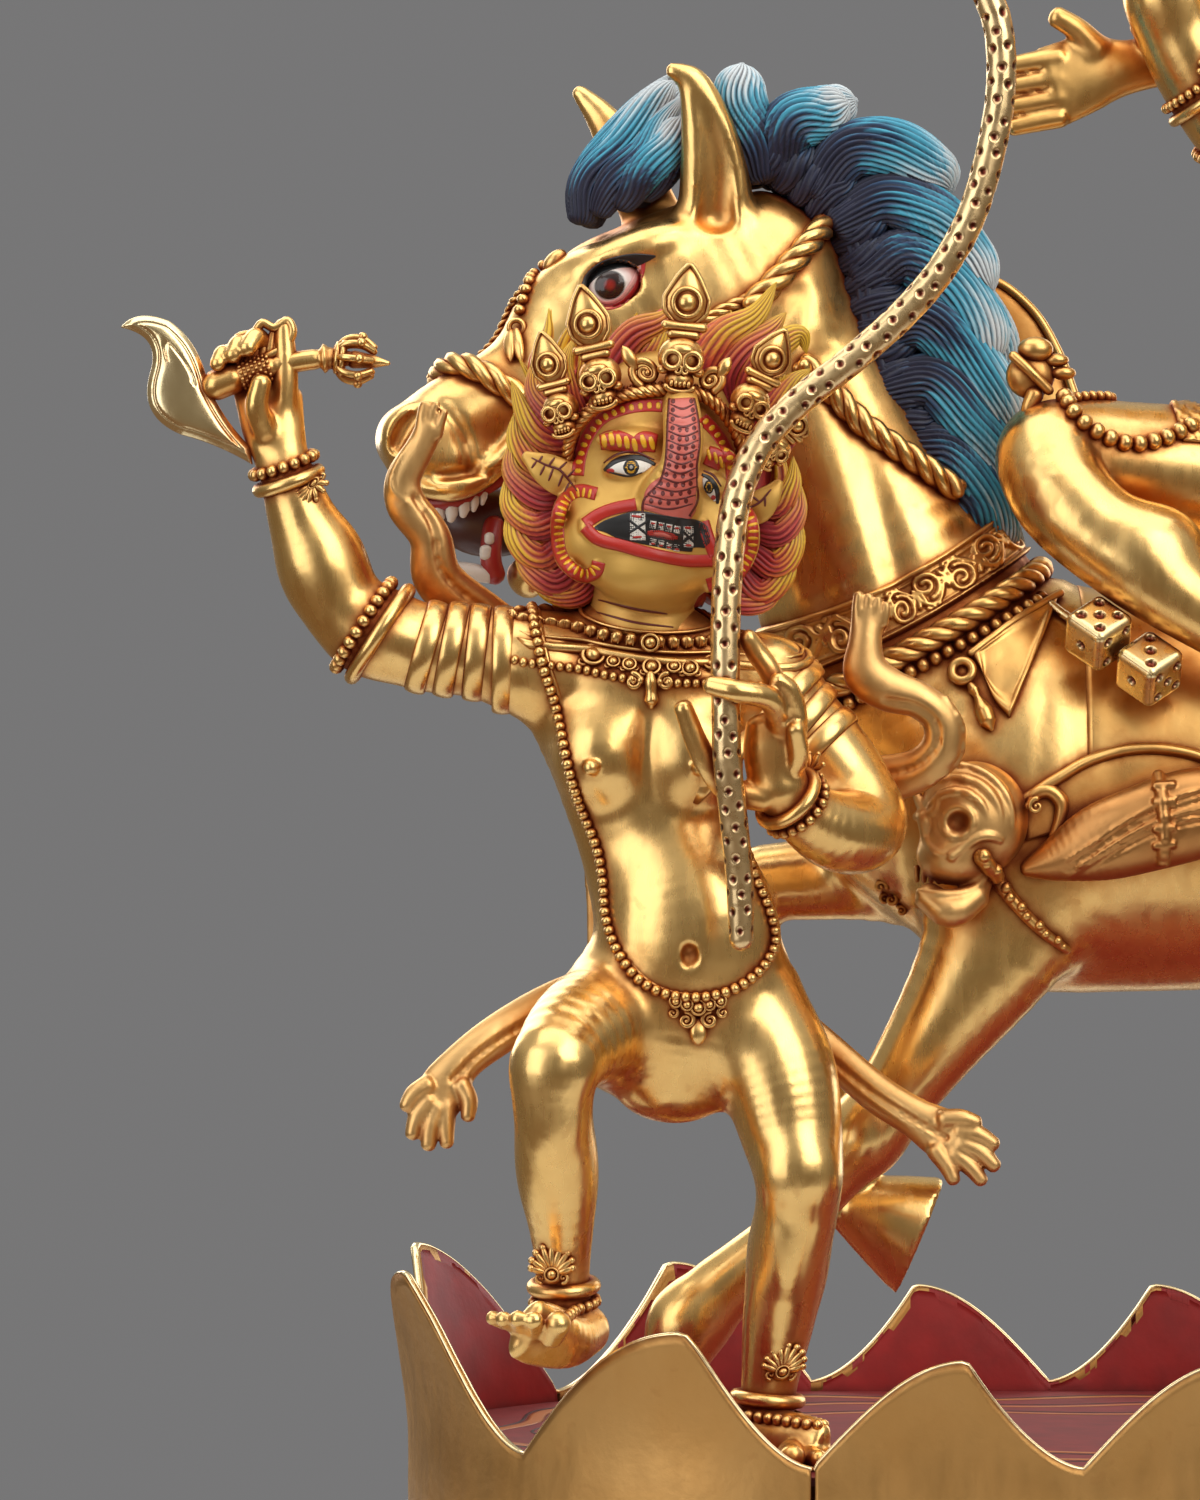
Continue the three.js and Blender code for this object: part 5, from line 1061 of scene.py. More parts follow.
def frames(path, up=None, closed=False):
    """Along, across and deep directions at each point of a path. `up` is where deep should point."""
    if closed:
        along = unit(np.roll(path, -1, 0) - np.roll(path, 1, 0))
        from_middle = path - path.mean(0)
        up = np.cross(from_middle, np.roll(from_middle, -1, 0)).sum(0) if up is None else up
    else:
        along = unit(np.gradient(path, axis=0))
    if up is None:
        side = np.cross(along[0], (0.31, 0.83, 0.46))
        deep = [unit(np.cross(side, along[0]))]
        for way in along[1:]:
            deep.append(unit(deep[-1] - way * (deep[-1] @ way)))
        deep = np.array(deep)
    else:
        up = np.broadcast_to(np.asarray(up, float), path.shape)
        deep = unit(up - along * (up * along).sum(1, keepdims=True))
    return along, np.cross(deep, along), deep


def ring_quads(rings, sides, closed=False):
    """Quads between neighbouring rings of the same count."""
    rows = np.arange(rings if closed else rings - 1)[:, None]
    cols = np.arange(sides)[None, :]
    after = (rows + 1) % rings
    beside = (cols + 1) % sides
    corners = (rows * sides + cols, rows * sides + beside, after * sides + beside, after * sides + cols)
    return np.stack(np.broadcast_arrays(*corners), -1).reshape(-1, 4)


def circle(centre, radius, right, up, count):
    """A ring of points round a centre, in the plane of `right` and `up`."""
    turn = full_turn(count)[:, None]
    return np.asarray(centre) + radius * (np.array(right) * np.cos(turn) + np.array(up) * np.sin(turn))


def sizes_along(count, shares, sizes):
    """Sizes for each point of a line, from a few of them at shares of its length."""
    return np.interp(np.linspace(0, 1, count), shares, sizes)


ROUND_CAP = ((0.966, 0.259), (0.707, 0.707), (0.259, 0.966))


def grown(rows):
    """A tube's rows with the first and the last repeated for its round caps."""
    pad = len(ROUND_CAP)
    return np.concatenate([np.repeat(rows[:1], pad, 0), rows, np.repeat(rows[-1:], pad, 0)])


def tube(heap, path, radii, sides=10, up=None, closed=False, section=None, paint=None):
    """Wire along a path. `radii` is one size, [across, deep] or a row for each point. `section` gives a
    swell for each [point, side], and `paint` a colour for each [point, side]."""
    path = np.asarray(path, float)
    radii = np.asarray(radii, float)
    if radii.ndim == 1 and len(radii) == len(path):
        radii = np.stack([radii, radii], 1)
    radii = np.broadcast_to(radii, (len(path), 2)).copy()
    along, across, deep = frames(path, up, closed)
    angle = full_turn(sides)
    wave = np.ones((len(path), sides)) if section is None else section
    tint = None if paint is None else np.broadcast_to(paint, (len(path), sides, 3))
    centre, size, a, d = path, radii, across, deep
    if not closed:
        ends = []
        for i, way in ((0, -1), (-1, 1)):
            tip = radii[i].min()
            rows = [(path[i] + way * along[i] * tip * out, radii[i] * in_, i) for in_, out in ROUND_CAP]
            ends.append(rows if way > 0 else rows[::-1])
        first, last = ends
        centre = np.vstack([[r[0] for r in first], path, [r[0] for r in last]])
        size = np.vstack([[r[1] for r in first], radii, [r[1] for r in last]])
        a, d, wave = grown(across), grown(deep), grown(wave)
        tint = None if tint is None else grown(tint)
    ring = (
        centre[:, None]
        + a[:, None] * (size[:, :1] * np.cos(angle) * wave)[..., None]
        + d[:, None] * (size[:, 1:] * np.sin(angle) * wave)[..., None]
    )
    points = ring.reshape(-1, 3)
    tris = []
    colours = None if tint is None else tint.reshape(-1, 3)
    if not closed:
        tip_size = [radii[0].min(), radii[-1].min()]
        poles = [path[0] - along[0] * tip_size[0], path[-1] + along[-1] * tip_size[1]]
        n = len(points)
        last_ring = n - sides
        for s in range(sides):
            t = (s + 1) % sides
            tris.append((n, t, s))
            tris.append((n + 1, last_ring + s, last_ring + t))
        points = np.vstack([points, poles])
        if colours is not None:
            colours = np.vstack([colours, tint[0, 0], tint[-1, 0]])
    heap.put(points, ring_quads(len(centre), sides, closed), tris, colours)


def ball(heap, centre, radii, axes=None, rings=7, sides=12, paint=None):
    """An egg with its half sizes along three axes, which are the world's unless given."""
    radii = np.broadcast_to(np.asarray(radii, float), 3)
    axes = np.eye(3) if axes is None else np.asarray(axes, float)
    lat = np.linspace(-math.pi / 2, math.pi / 2, rings + 2)[1:-1]
    lon = full_turn(sides)
    u = np.cos(lat)[:, None] * np.cos(lon)
    v = np.cos(lat)[:, None] * np.sin(lon)
    w = np.broadcast_to(np.sin(lat)[:, None], u.shape)
    local = np.vstack([np.stack([u, v, w], -1).reshape(-1, 3), (0, 0, -1), (0, 0, 1)]) * radii
    n = rings * sides
    tris = []
    for s in range(sides):
        t = (s + 1) % sides
        tris.append((n, t, s))
        tris.append((n + 1, n - sides + s, n - sides + t))
    heap.put(np.asarray(centre) + local @ axes, ring_quads(rings, sides), tris, paint)


def even(path, gap, closed=False):
    """Points a fixed distance apart along a path."""
    path = np.asarray(path, float)
    if closed:
        path = np.vstack([path, path[:1]])
    steps = np.concatenate([[0], np.cumsum(np.linalg.norm(np.diff(path, axis=0), axis=1))])
    count = max(2, int(round(steps[-1] / gap)))
    at = np.linspace(0, steps[-1], count + (0 if closed else 1), endpoint=not closed)
    return np.stack([np.interp(at, steps, path[:, i]) for i in range(3)], 1)


def beads(heap, path, radius, closed=False, gap=1.9, squash=0.85):
    """A row of beads, each a little flattened along the row."""
    places = even(path, radius * gap, closed)
    along, across, deep = frames(places, None, closed)
    for p, w, a, d in zip(places, along, across, deep):
        ball(heap, p, (radius, radius, radius * squash), (a, d, w), 6, 10)


def twisted(heap, path, radius, strands=3, pitch=4.0, closed=False, sides=8):
    """Rope: strands wound round a path, one full turn in every `pitch` radii."""
    places = even(path, radius * 0.45, closed)
    length = np.linalg.norm(np.diff(places, axis=0), axis=1).sum()
    turns = max(1, round(length / (pitch * radius)))
    _, across, deep = frames(places, None, closed)
    s = np.linspace(0, 1, len(places), endpoint=not closed)
    for k in range(strands):
        angle = 2 * math.pi * (turns * s + k / strands)
        off = across * np.cos(angle)[:, None] + deep * np.sin(angle)[:, None]
        tube(heap, places + off * radius * 0.48, radius * 0.54, sides, None, closed)

# %% Sheets
def sheet_walls(edge, n):
    """The narrow sides that join the edge of a sheet's top to its underside, `n` points further on."""
    return [(a, b, b + n, a + n) for a, b in zip(edge, edge[1:] + edge[:1])]


def closed_sheet(heap, outer, inner, loop=False, paint=None):
    """A closed sheet between two grids of points, joined up as a ring if `loop`."""
    rows, cols = outer.shape[:2]
    n = rows * cols
    front = ring_quads(rows, cols, loop)
    front = front[np.arange(len(front)) % cols != cols - 1]
    left, right = [r * cols for r in range(rows)], [r * cols + cols - 1 for r in range(rows)]
    if loop:
        walls = sheet_walls(left, n) + [wall[::-1] for wall in sheet_walls(right, n)]
    else:
        walls = sheet_walls(
            left + list(range(n - cols + 1, n - 1)) + right[::-1] + list(range(cols - 2, 0, -1)), n
        )
    points = np.vstack([outer.reshape(-1, 3), inner.reshape(-1, 3)])
    quads = outward(points, np.vstack([front, front[:, ::-1] + n, walls]))
    heap.put(points, quads, (), paint)

# %% Rings round a limb
def section_at(stations, share, place=(0, 0, 0)):
    """Centre, across, deep and half sizes of a limb's section at a share of its length."""
    rows = np.array([list(s) + [s[3]] * (5 - len(s)) for s in stations], float)[:, :5]
    fine = smooth_line(rows, 24)
    i = min(int(round(share * (len(fine) - 1))), len(fine) - 1)
    along = unit(fine[min(i + 1, len(fine) - 1), :3] - fine[max(i - 1, 0), :3])
    across = unit(np.cross(DEPTH, along))
    return fine[i, :3] + place, along, across, np.cross(along, across), fine[i, 3:5]


class Skin:
    """The surface of finished pieces of the figure that stands at `place`, to lay things on."""

    def __init__(self, place, *meshes):
        starts = np.cumsum([0] + [len(points) for points, _ in meshes])
        points = np.vstack([points for points, _ in meshes])
        quads = np.vstack([quads + start for (_, quads), start in zip(meshes, starts)])
        self.place, self.tree = place, BVHTree.FromPolygons(points.tolist(), quads.tolist())

    def cast(self, start, way, reach=60.0):
        hit, normal, _, _ = self.tree.ray_cast(Vector(start), Vector(way), reach)
        return (None, None) if hit is None else (np.array(hit), np.array(normal))

    def front(self, x, z, start=-90.0, proud=0.0):
        """The point of the surface that the viewer sees at [x, z], lifted by `proud`."""
        hit, normal = self.cast((x, start, z), (0, -1 if start > 0 else 1, 0), 200.0)
        if hit is None:
            return None, None
        return hit + normal * proud, normal

    def seen(self, x, z, start=-90.0, proud=0.0):
        """The same, with [x, z] measured from the figure's place."""
        return self.front(x + self.place[0], z + self.place[2], start, proud)

    def nearest(self, point, proud=0.0):
        hit, normal, _, _ = self.tree.find_nearest(Vector(point))
        return np.array(hit) + np.array(normal) * proud, np.array(normal)

    def around(self, centre, u, v, count=56, proud=0.0, reach=30.0):
        """A closed ring on the surface, found from a centre outwards in the plane of u and v."""
        ring = []
        for angle in full_turn(count):
            way = unit(np.asarray(u) * math.cos(angle) + np.asarray(v) * math.sin(angle))
            hit, _ = self.cast(centre, way, reach)
            ring.append((hit if hit is not None else centre + way * 4) + way * proud)
        ring = np.array(ring)
        for _ in range(2):
            ring = (ring + 0.5 * np.roll(ring, 1, 0) + 0.5 * np.roll(ring, -1, 0)) / 2
        return ring

# %% Scrolls, cabochons and leaves
def scroll(heap, centre, size, right, up, thick, turns=1.4, hand=1, start=90.0, taper=0.45):
    """Wire rolled into a flat spiral in the plane of `right` and `up`."""
    right, up = unit(right), unit(up)
    t = np.linspace(0, 1, int(18 * turns) + 6)
    angle = math.radians(start) + hand * 2 * math.pi * turns * t
    radius = size * (1 - 0.86 * t)
    path = np.asarray(centre) + radius[:, None] * (
        right * np.cos(angle)[:, None] + up * np.sin(angle)[:, None]
    )
    tube(heap, path, thick * (1 - (1 - taper) * t), 8)
    ball(heap, path[-1], thick * 0.8, None, 5, 8)


def petal(heap, base, tip, width, facing, thick=0.8, bend=0.5):
    """A leaf with a rib down its middle, lying on a surface that faces `facing`."""
    base, tip = np.asarray(base, float), np.asarray(tip, float)
    facing = unit(facing)
    t = np.linspace(0, 1, 9)
    path = base + (tip - base) * t[:, None] + facing * (bend * np.sin(math.pi * t))[:, None]
    wide = width * (0.25 + 0.75 * np.sin(math.pi * np.clip(t * 0.85 + 0.12, 0, 1)) ** 0.8)
    wide[-1] = width * 0.12
    angle = full_turn(14)
    rib = 1 - 0.22 * np.cos(2 * angle - math.pi) * np.ones((9, 1))
    tube(
        heap, path, np.stack([wide, np.full(9, thick) * (0.4 + 0.6 * wide / width)], 1), 14, facing,
        section=rib
    )


def cabochon(heap, centre, size, right, up, facing):
    """A stone's setting: a low dome in a ring of wire."""
    axes = (unit(right), unit(up), unit(facing))
    ball(heap, centre, (size * 0.72, size * 0.72, size * 0.6), axes, 7, 14)
    tube(heap, circle(centre, size, axes[0], axes[1], 22), size * 0.22, 6, None, True)


def boss(heap, centre, size, right, up, facing, petals=5):
    """A flower of scrolls round a cabochon, with a drop below, as on clasps and pendants."""
    right, up, facing = unit(right), unit(up), unit(facing)
    centre = np.asarray(centre, float)
    ball(
        heap, centre - facing * size * 0.25, (size * 1.05, size * 1.05, size * 0.3),
        (right, up, facing), 5, 14
    )
    cabochon(heap, centre + facing * size * 0.1, size * 0.42, right, up, facing)
    for k in range(petals):
        angle = math.pi / 2 + math.pi * 2 * k / petals
        way = right * math.cos(angle) + up * math.sin(angle)
        side = np.cross(facing, way)
        scroll(
            heap, centre + way * size * 0.78, size * 0.36, side, way, size * 0.15, 1.1,
            1 if k % 2 else -1
        )
    drop = centre - up * size * 1.25
    petal(heap, centre - up * size * 0.6, drop - up * size * 0.5, size * 0.4, facing, size * 0.3)

# %% Face gold and brushed paint
def face_gold(name):
    """Matt gold paint on the face: satin, with painted shade that darkens it to orange-brown in its
    hollows.
    """
    made, tree, shader = new_finish(name)
    crowded = crevices(tree, 0.004)
    cloud = ramp(tree, noise(tree, 90, 3), 0.35, 0.7)
    base = blend_colours(tree, cloud, (0.74, 0.46, 0.115, 1), (0.66, 0.38, 0.08, 1))
    link(tree, blend_colours(tree, crowded, base, (0.42, 0.14, 0.02, 1)), shader.inputs["Base Color"])
    shader.inputs["Metallic"].default_value = 0.45
    shader.inputs["Roughness"].default_value = 0.42
    grain = node(tree, "Bump", 0, None, Strength=0.08, Distance=0.0002, Height=noise(tree, 1400, 3))
    link(tree, grain, shader.inputs["Normal"])
    return made


FACE_GOLD = face_gold("face_gold")
FILM_PAINT = painted("film_paint", 0.4, sheen=0.25, reach=0.0006)
print("face finishes:", 2)

# %% Punched gold
def punched_gold(name):
    """Gold whose tone is carried by the mesh, so that each punched dent keeps its dark floor."""
    made, tree, shader = new_finish(name)
    base = node(tree, "VertexColor", 0, {"layer_name": "paint"})
    crowded = maths(tree, "MULTIPLY", crevices(tree, 0.0015), 0.6)
    link(tree, blend_colours(tree, crowded, base, (0.20, 0.05, 0.03, 1)), shader.inputs["Base Color"])
    shader.inputs["Metallic"].default_value = 1.0
    scuffs = ramp(tree, noise(tree, 500, 5), 0.3, 0.75, 0.2, 0.38)
    link(tree, scuffs, shader.inputs["Roughness"])
    return made


REIN_GILT = punched_gold("rein_gilt")
GLAZE_PAINT = painted("glaze_paint", 0.1, sheen=0.3, reach=0.0006)

# %% [markdown]
# ## Plinth and wave petals
# The collar is hammered sheet: each petal rises in a round shoulder to a point, hollows out on its
# far side and leans outwards. Its outside is gilt and weathered, its rim is rubbed bright, and its
# inside is painted red like the plinth's top, so each strip is made of three pieces.

# %% Wave petals
PLINTH_LENGTH, PLINTH_DEPTH, PLINTH_HEIGHT = 246, 146, 36
WAVES, WAVE_SIDE_PITCH, WAVE_SIDE_LAP, WAVE_PHASE = 13, 43.9, 25, 0.41
WAVE_FOOT, WAVE_RISE, WAVE_RISE_ENDS, WAVE_VALLEY = 3, 19, 31, 1.5
WAVE_TIP_AT, WAVE_FLARE, WAVE_GAUGE, WAVE_GAP = 0.56, 3, 1.6, 0.35
STRIPS = {"front": (0, 3), "right": (3, 7), "back": (7, 10), "left": (10, 13)}
END_RADIUS = PLINTH_DEPTH / 2
STRAIGHT = PLINTH_LENGTH - PLINTH_DEPTH
HALF_OUTLINE = STRAIGHT + math.pi * END_RADIUS
SIDE_RUN = STRAIGHT + 2 * WAVE_SIDE_LAP
SIDE_WAVES = SIDE_RUN / WAVE_SIDE_PITCH
END_PITCH = (HALF_OUTLINE - SIDE_RUN) / (WAVES / 2 - SIDE_WAVES)


def wave_place(n):
    """Distance round the plinth of wave number n, from the front's left corner."""
    half = math.floor(n / (WAVES / 2))
    rest = n - half * WAVES / 2
    side = min(rest, SIDE_WAVES) * WAVE_SIDE_PITCH
    return half * HALF_OUTLINE - WAVE_SIDE_LAP + side + max(0, rest - SIDE_WAVES) * END_PITCH


def outline(distance, out):
    """A point on the plinth's outline, moved outwards, and the outward direction."""
    d = distance % (2 * HALF_OUTLINE)
    turn = d > HALF_OUTLINE
    d -= HALF_OUTLINE * turn
    if d < STRAIGHT:
        x, y, nx, ny = -STRAIGHT / 2 + d, -END_RADIUS, 0.0, -1.0
    else:
        angle = -math.pi / 2 + (d - STRAIGHT) / END_RADIUS
        nx, ny = math.cos(angle), math.sin(angle)
        x, y = STRAIGHT / 2 + nx * END_RADIUS, ny * END_RADIUS
    flip = -1 if turn else 1
    return flip * (x + nx * out), flip * (y + ny * out), (flip * nx, flip * ny)


def wave_rise(distance):
    x, _, _ = outline(distance, 0)
    share = min(1, max(0, (abs(x) - STRAIGHT / 2) / END_RADIUS))
    return WAVE_RISE + (WAVE_RISE_ENDS - WAVE_RISE) * share


def wave_height(u, rise):
    fall = (1 - u) / (1 - WAVE_TIP_AT)
    share = math.sin(u / WAVE_TIP_AT * math.pi / 2) if u < WAVE_TIP_AT else fall**1.7
    return WAVE_VALLEY + (rise - WAVE_VALLEY) * share


WAVE_COLUMNS = 46
WAVE_ROWS = 26
WAVE_DISH = 1.5


def wave_sheet(first, last):
    """Outer and inner points of a strip, as [column, row]. Each petal is dished between its edges."""
    outer, inner = [], []
    stops = [(w, u) for w in range(first, last) for u in np.linspace(0, 1, WAVE_COLUMNS, endpoint=False)]
    stops.append((last - 1, 1.0))
    for i, (wave, u) in enumerate(stops):
        trim = WAVE_GAP if i == 0 else -WAVE_GAP if i == len(stops) - 1 else 0
        distance = wave_place(WAVE_PHASE + wave + u) + trim
        rise = wave_rise(wave_place(WAVE_PHASE + wave + WAVE_TIP_AT))
        top = PLINTH_HEIGHT + wave_height(u, rise)
        dish = WAVE_DISH * math.sin(math.pi * min(1, u * 1.1)) ** 2
        rows_out, rows_in = [], []
        for v in np.linspace(0, 1, WAVE_ROWS) ** 0.9:
            z = WAVE_FOOT + (top - WAVE_FOOT) * v
            lift = max(0, (z - PLINTH_HEIGHT) / WAVE_RISE)
            hammered = 0.05 * math.sin(distance * 0.53 + 2 * math.sin(z * 0.21))
            hammered *= math.sin(z * 0.37 - distance * 0.23)
            lean = WAVE_GAP + WAVE_FLARE * lift**1.5 - dish * lift * (1.25 - lift) + hammered
            x, y, _ = outline(distance, max(0.1, lean) + WAVE_GAUGE)
            rows_out.append((x, y, z))
            x, y, _ = outline(distance, max(0.1, lean))
            rows_in.append((x, y, z))
        outer.append(rows_out)
        inner.append(rows_in)
    return np.array(outer), np.array(inner)


def petal_part(name, outer, inner, finish, replaced=()):
    """A closed sheet of petals between two grids of points."""
    columns, loop = len(outer), np.concatenate([outer, inner[:, ::-1]], axis=1)
    sides, rows = loop.shape[1], outer.shape[1]
    quads = ring_quads(columns, sides)
    low = np.arange(rows - 1)
    first = np.stack([low, sides - 1 - low, sides - 2 - low, low + 1], 1)
    last = (columns - 1) * sides + first[:, ::-1]
    points = loop.reshape(-1, 3)
    quads = outward(points, np.vstack([quads, first, last]))
    show(name, make_mesh(name, points, [quads]), finish, replaced)

# %% Wave petals: gilt outside, red lining and rubbed rim
LINING = 0.12
PETAL_RED = painted("petal_red", 0.55, (0.34, 0.010, 0.010))
for place, (first, last) in STRIPS.items():
    outer, inner = wave_sheet(first, last)
    petal_part(f"petals_{place}", outer, inner, WAVE_GILT, (f"wave_strip_{place}",))
    shown = inner[:, WAVE_ROWS // 3 :]
    inwards = unit(shown - outer[:, WAVE_ROWS // 3 :])
    inwards[..., 2] = 0
    worn = 0.5 + 0.5 * np.sin(np.arange(len(shown)) * 0.7)[:, None, None]
    share = np.linspace(0, 1, shown.shape[1])[None, :, None]
    depth = LINING * np.where(share > 0.97 - 0.05 * worn, -0.5, 1.0)
    petal_part(f"lining_{place}", shown, shown + inwards * depth, PETAL_RED, ())
    rims = Heap()
    top = (outer[:, -1] + inner[:, -1]) / 2
    tube(rims, top + (0, 0, 0.1), (WAVE_GAUGE * 0.5, 0.42), 8, (0, 0, 1))
    rims.piece(f"rim_{place}", BRIGHT_GILT, (), "old_gilt")
print("wave petals:", WAVES)

# %% Plinth: painted top, wall, closing plate and nuts
TOP_RED = painted("top_red", 0.6, (0.22, 0.016, 0.016))
PLINTH_FINISHES = {"top_plate": TOP_RED, "plinth_wall": WAVE_GILT, "closing_plate": COPPER}
for nut in ("mule_fore_nut", "mule_hind_nut", "attendant_nut"):
    PLINTH_FINISHES[nut] = COPPER
for name, finish in PLINTH_FINISHES.items():
    bpy.data.objects[name].material_slots[0].material = finish
water = Heap()
BAND_ORANGE, BAND_BLACK = (0.50, 0.17, 0.045), (0.012, 0.010, 0.012)
# for each band: its distance from the edge, swing, width, colour and phase
WATER_BANDS = (
    (13.5, 3.4, 3.2, BAND_ORANGE, 0),
    (11.2, 3.4, 0.7, BAND_BLACK, 0),
    (22.5, 3.0, 0.6, BAND_BLACK, 1.2),
    (26, 3.0, 2.4, BAND_ORANGE, 1.2),
    (37, 2.6, 0.6, BAND_BLACK, 2.4),
    (40, 2.6, 2.2, BAND_ORANGE, 2.4),
)
WATER_SWINGS = 11
for inset, swing, width, tone, phase in WATER_BANDS:
    spots = []
    for distance in np.linspace(0, 2 * HALF_OUTLINE, 360, endpoint=False):
        lift = math.sin(distance / (2 * HALF_OUTLINE) * 2 * math.pi * WATER_SWINGS + phase)
        x, y, _ = outline(distance, -inset + swing * lift)
        spots.append((x, y, PLINTH_HEIGHT + 0.02))
    tube(water, spots, (width / 2, 0.06), 6, None, True, paint=tone)
water.piece("painted_water", FILM_PAINT, (), "red_paint")

# %% [markdown]
# ## The attendant's head
# Her face is a sea beast's: a gaping mouth, a trunk that rises over the brow, leaf-shaped ears and a
# curled frill on each cheek. It is covered in matt gold paint, and its features are painted with a
# fine brush, so they are flat colour on a sculpted face. Here each brush stroke is a thin film that
# is laid on the finished surface from the front.

# %% Face: the casting's run, and the shapes pressed on it
FACE = [
    (-9.8, -0.5, 137, 9.9, 8.8),
    (-9.6, -1, 143, 8.5, 8),
    (-8.6, -3, 147, 9, 8.5),
    (-8, -4.5, 152.5, 12.6, 11.6),
    (-7.5, -4, 160.5, 14.4, 13),
    (-7.2, -2.5, 168.5, 13.2, 12),
    (-7, -2, 174, 12, 11.4),
    (-7, -1.5, 178.5, 8.5, 8),
]
FACE_SHAPES = [
    ((-17.4, -9, 153.4), (6.2, 6.4, 6.8), 4),
    ((2.6, -8.6, 152.4), (6, 6.2, 6.6), 4),
    ((-9, -10.4, 147.6), (6.8, 5.2, 4.4), 3.5),
    ((-12.2, -15, 169.2), (5.2, 2.2, 1.7), 2.5),
    ((2, -13, 166.6), (3.6, 2.2, 1.7), 2.5),
    ((-11.9, -14.8, 164.6), (4.3, 2.3, 2.2), 0.9),
    ((1.3, -13, 161.8), (3, 2.3, 2.2), 0.9),
]
TRUNK = [
    (-6, -14.6, 155.4, 4.9, 3.4),
    (-5.5, -16.6, 159.3, 4.9, 3.3),
    (-3.8, -18.6, 164.4, 3.3, 2.7),
    (-3.1, -18.8, 168.4, 3.3, 2.5),
    (-3.2, -16.8, 172.4, 3.2, 2.3),
    (-3.4, -13.8, 176.4, 2.7, 2),
]
MOUTH_TOP = [(-19.2, 155.4, 1.15), (-17, 156.9, 1.0), (-14.4, 157.9, 0.9), (-10.8, 158.6, 0.9)]
MOUTH_LOW = [
    (-19.2, 154.9, 1.15), (-17.2, 153, 1.15), (-13, 151.8, 1.1), (-7.6, 150.3, 1.1), (-2.4, 149.4, 1.1),
    (1.8, 149.4, 1.1)
]
MOUTH_SIDE = [(0.2, 155.8, 0.9), (1.1, 153, 1.0), (2.2, 150.2, 1.1)]
CHEEK_CURL = [
    (-17.3, 160.4, 1.0), (-20.1, 161, 1.1), (-22.2, 160, 1.2), (-23.4, 157.4, 1.2),
    (-23.7, 154.2, 1.2), (-23.2, 150.6, 1.2), (-21.4, 148, 1.2), (-19.2, 147, 1.2),
    (-17.4, 147.6, 1.2), (-16.9, 149.2, 1.0),
]
CHEEK_CURL_FAR = [
    (3.6, 158.6, 1.0), (7, 158, 1.1), (8.4, 155, 1.1), (8.2, 151, 1.1), (5.6, 147, 1.2), (1, 145.4, 1.2)
]
EAR = [
    (-19.4, -5.4, 162.6, 2, 1.6),
    (-22.6, -7, 163.2, 3.1, 1.1),
    (-26, -7.6, 165, 2.6, 0.9),
    (-29, -7, 167, 0.9, 0.7),
]
EAR_FAR = [
    (5.6, -4.4, 158.6, 2, 1.4), (9, -6, 158.4, 2.9, 1), (11.4, -6.4, 160.4, 2, 0.8),
    (13, -6, 162.6, 0.8, 0.6)
]

# %% Face: sculpt
clay = Clay(ATTENDANT, (-34, -26, 134), (18, 12, 189), 0.26)
clay.limb(FACE, 0, 6)
for centre, radii, blend in FACE_SHAPES:
    clay.egg(centre, radii, blend)
for stations in (EAR, EAR_FAR):
    clay.limb(stations, 1.2, 6)
for run in (MOUTH_TOP, MOUTH_LOW, MOUTH_SIDE, CHEEK_CURL, CHEEK_CURL_FAR):
    clay.limb(clay.laid(run, 0.35), 0.5, 6)
clay.limb(TRUNK, 1.2, 8)
trunk_run = smooth_line(TRUNK, 4)
for x, y, z, across, deep in trunk_run[1:-1]:
    rib = [
        (x + across * t, y - deep * 0.96 + 2.2 * t * t, z + 0.7 * t * t)
        for t in (-0.72, -0.36, 0, 0.36, 0.72)
    ]
    clay.groove(rib, 0.34, 0.26)
clay.groove([(-25.8, -9, 165.6), (-23, -8.8, 163.4), (-20, -8, 162)], 0.4, 0.4)
clay.floor(137.4)
FACE_POINTS, FACE_QUADS = fire(
    clay, "attendant_face", FACE_GOLD, ("attendant_head", "attendant_snout"), 1
)
FACE_SKIN = Skin(ATTENDANT, (FACE_POINTS, FACE_QUADS))

# %% Brush strokes
RED, DEEP_RED, ROSE = (0.47, 0.02, 0.012), (0.12, 0.008, 0.008), (0.60, 0.13, 0.10)
YELLOW, WHITE, BLACK = (0.86, 0.45, 0.02), (0.80, 0.77, 0.70), (0.008, 0.008, 0.009)
FILM = 0.06
COAT_STEP = 0.022
BRISTLE = 0.3


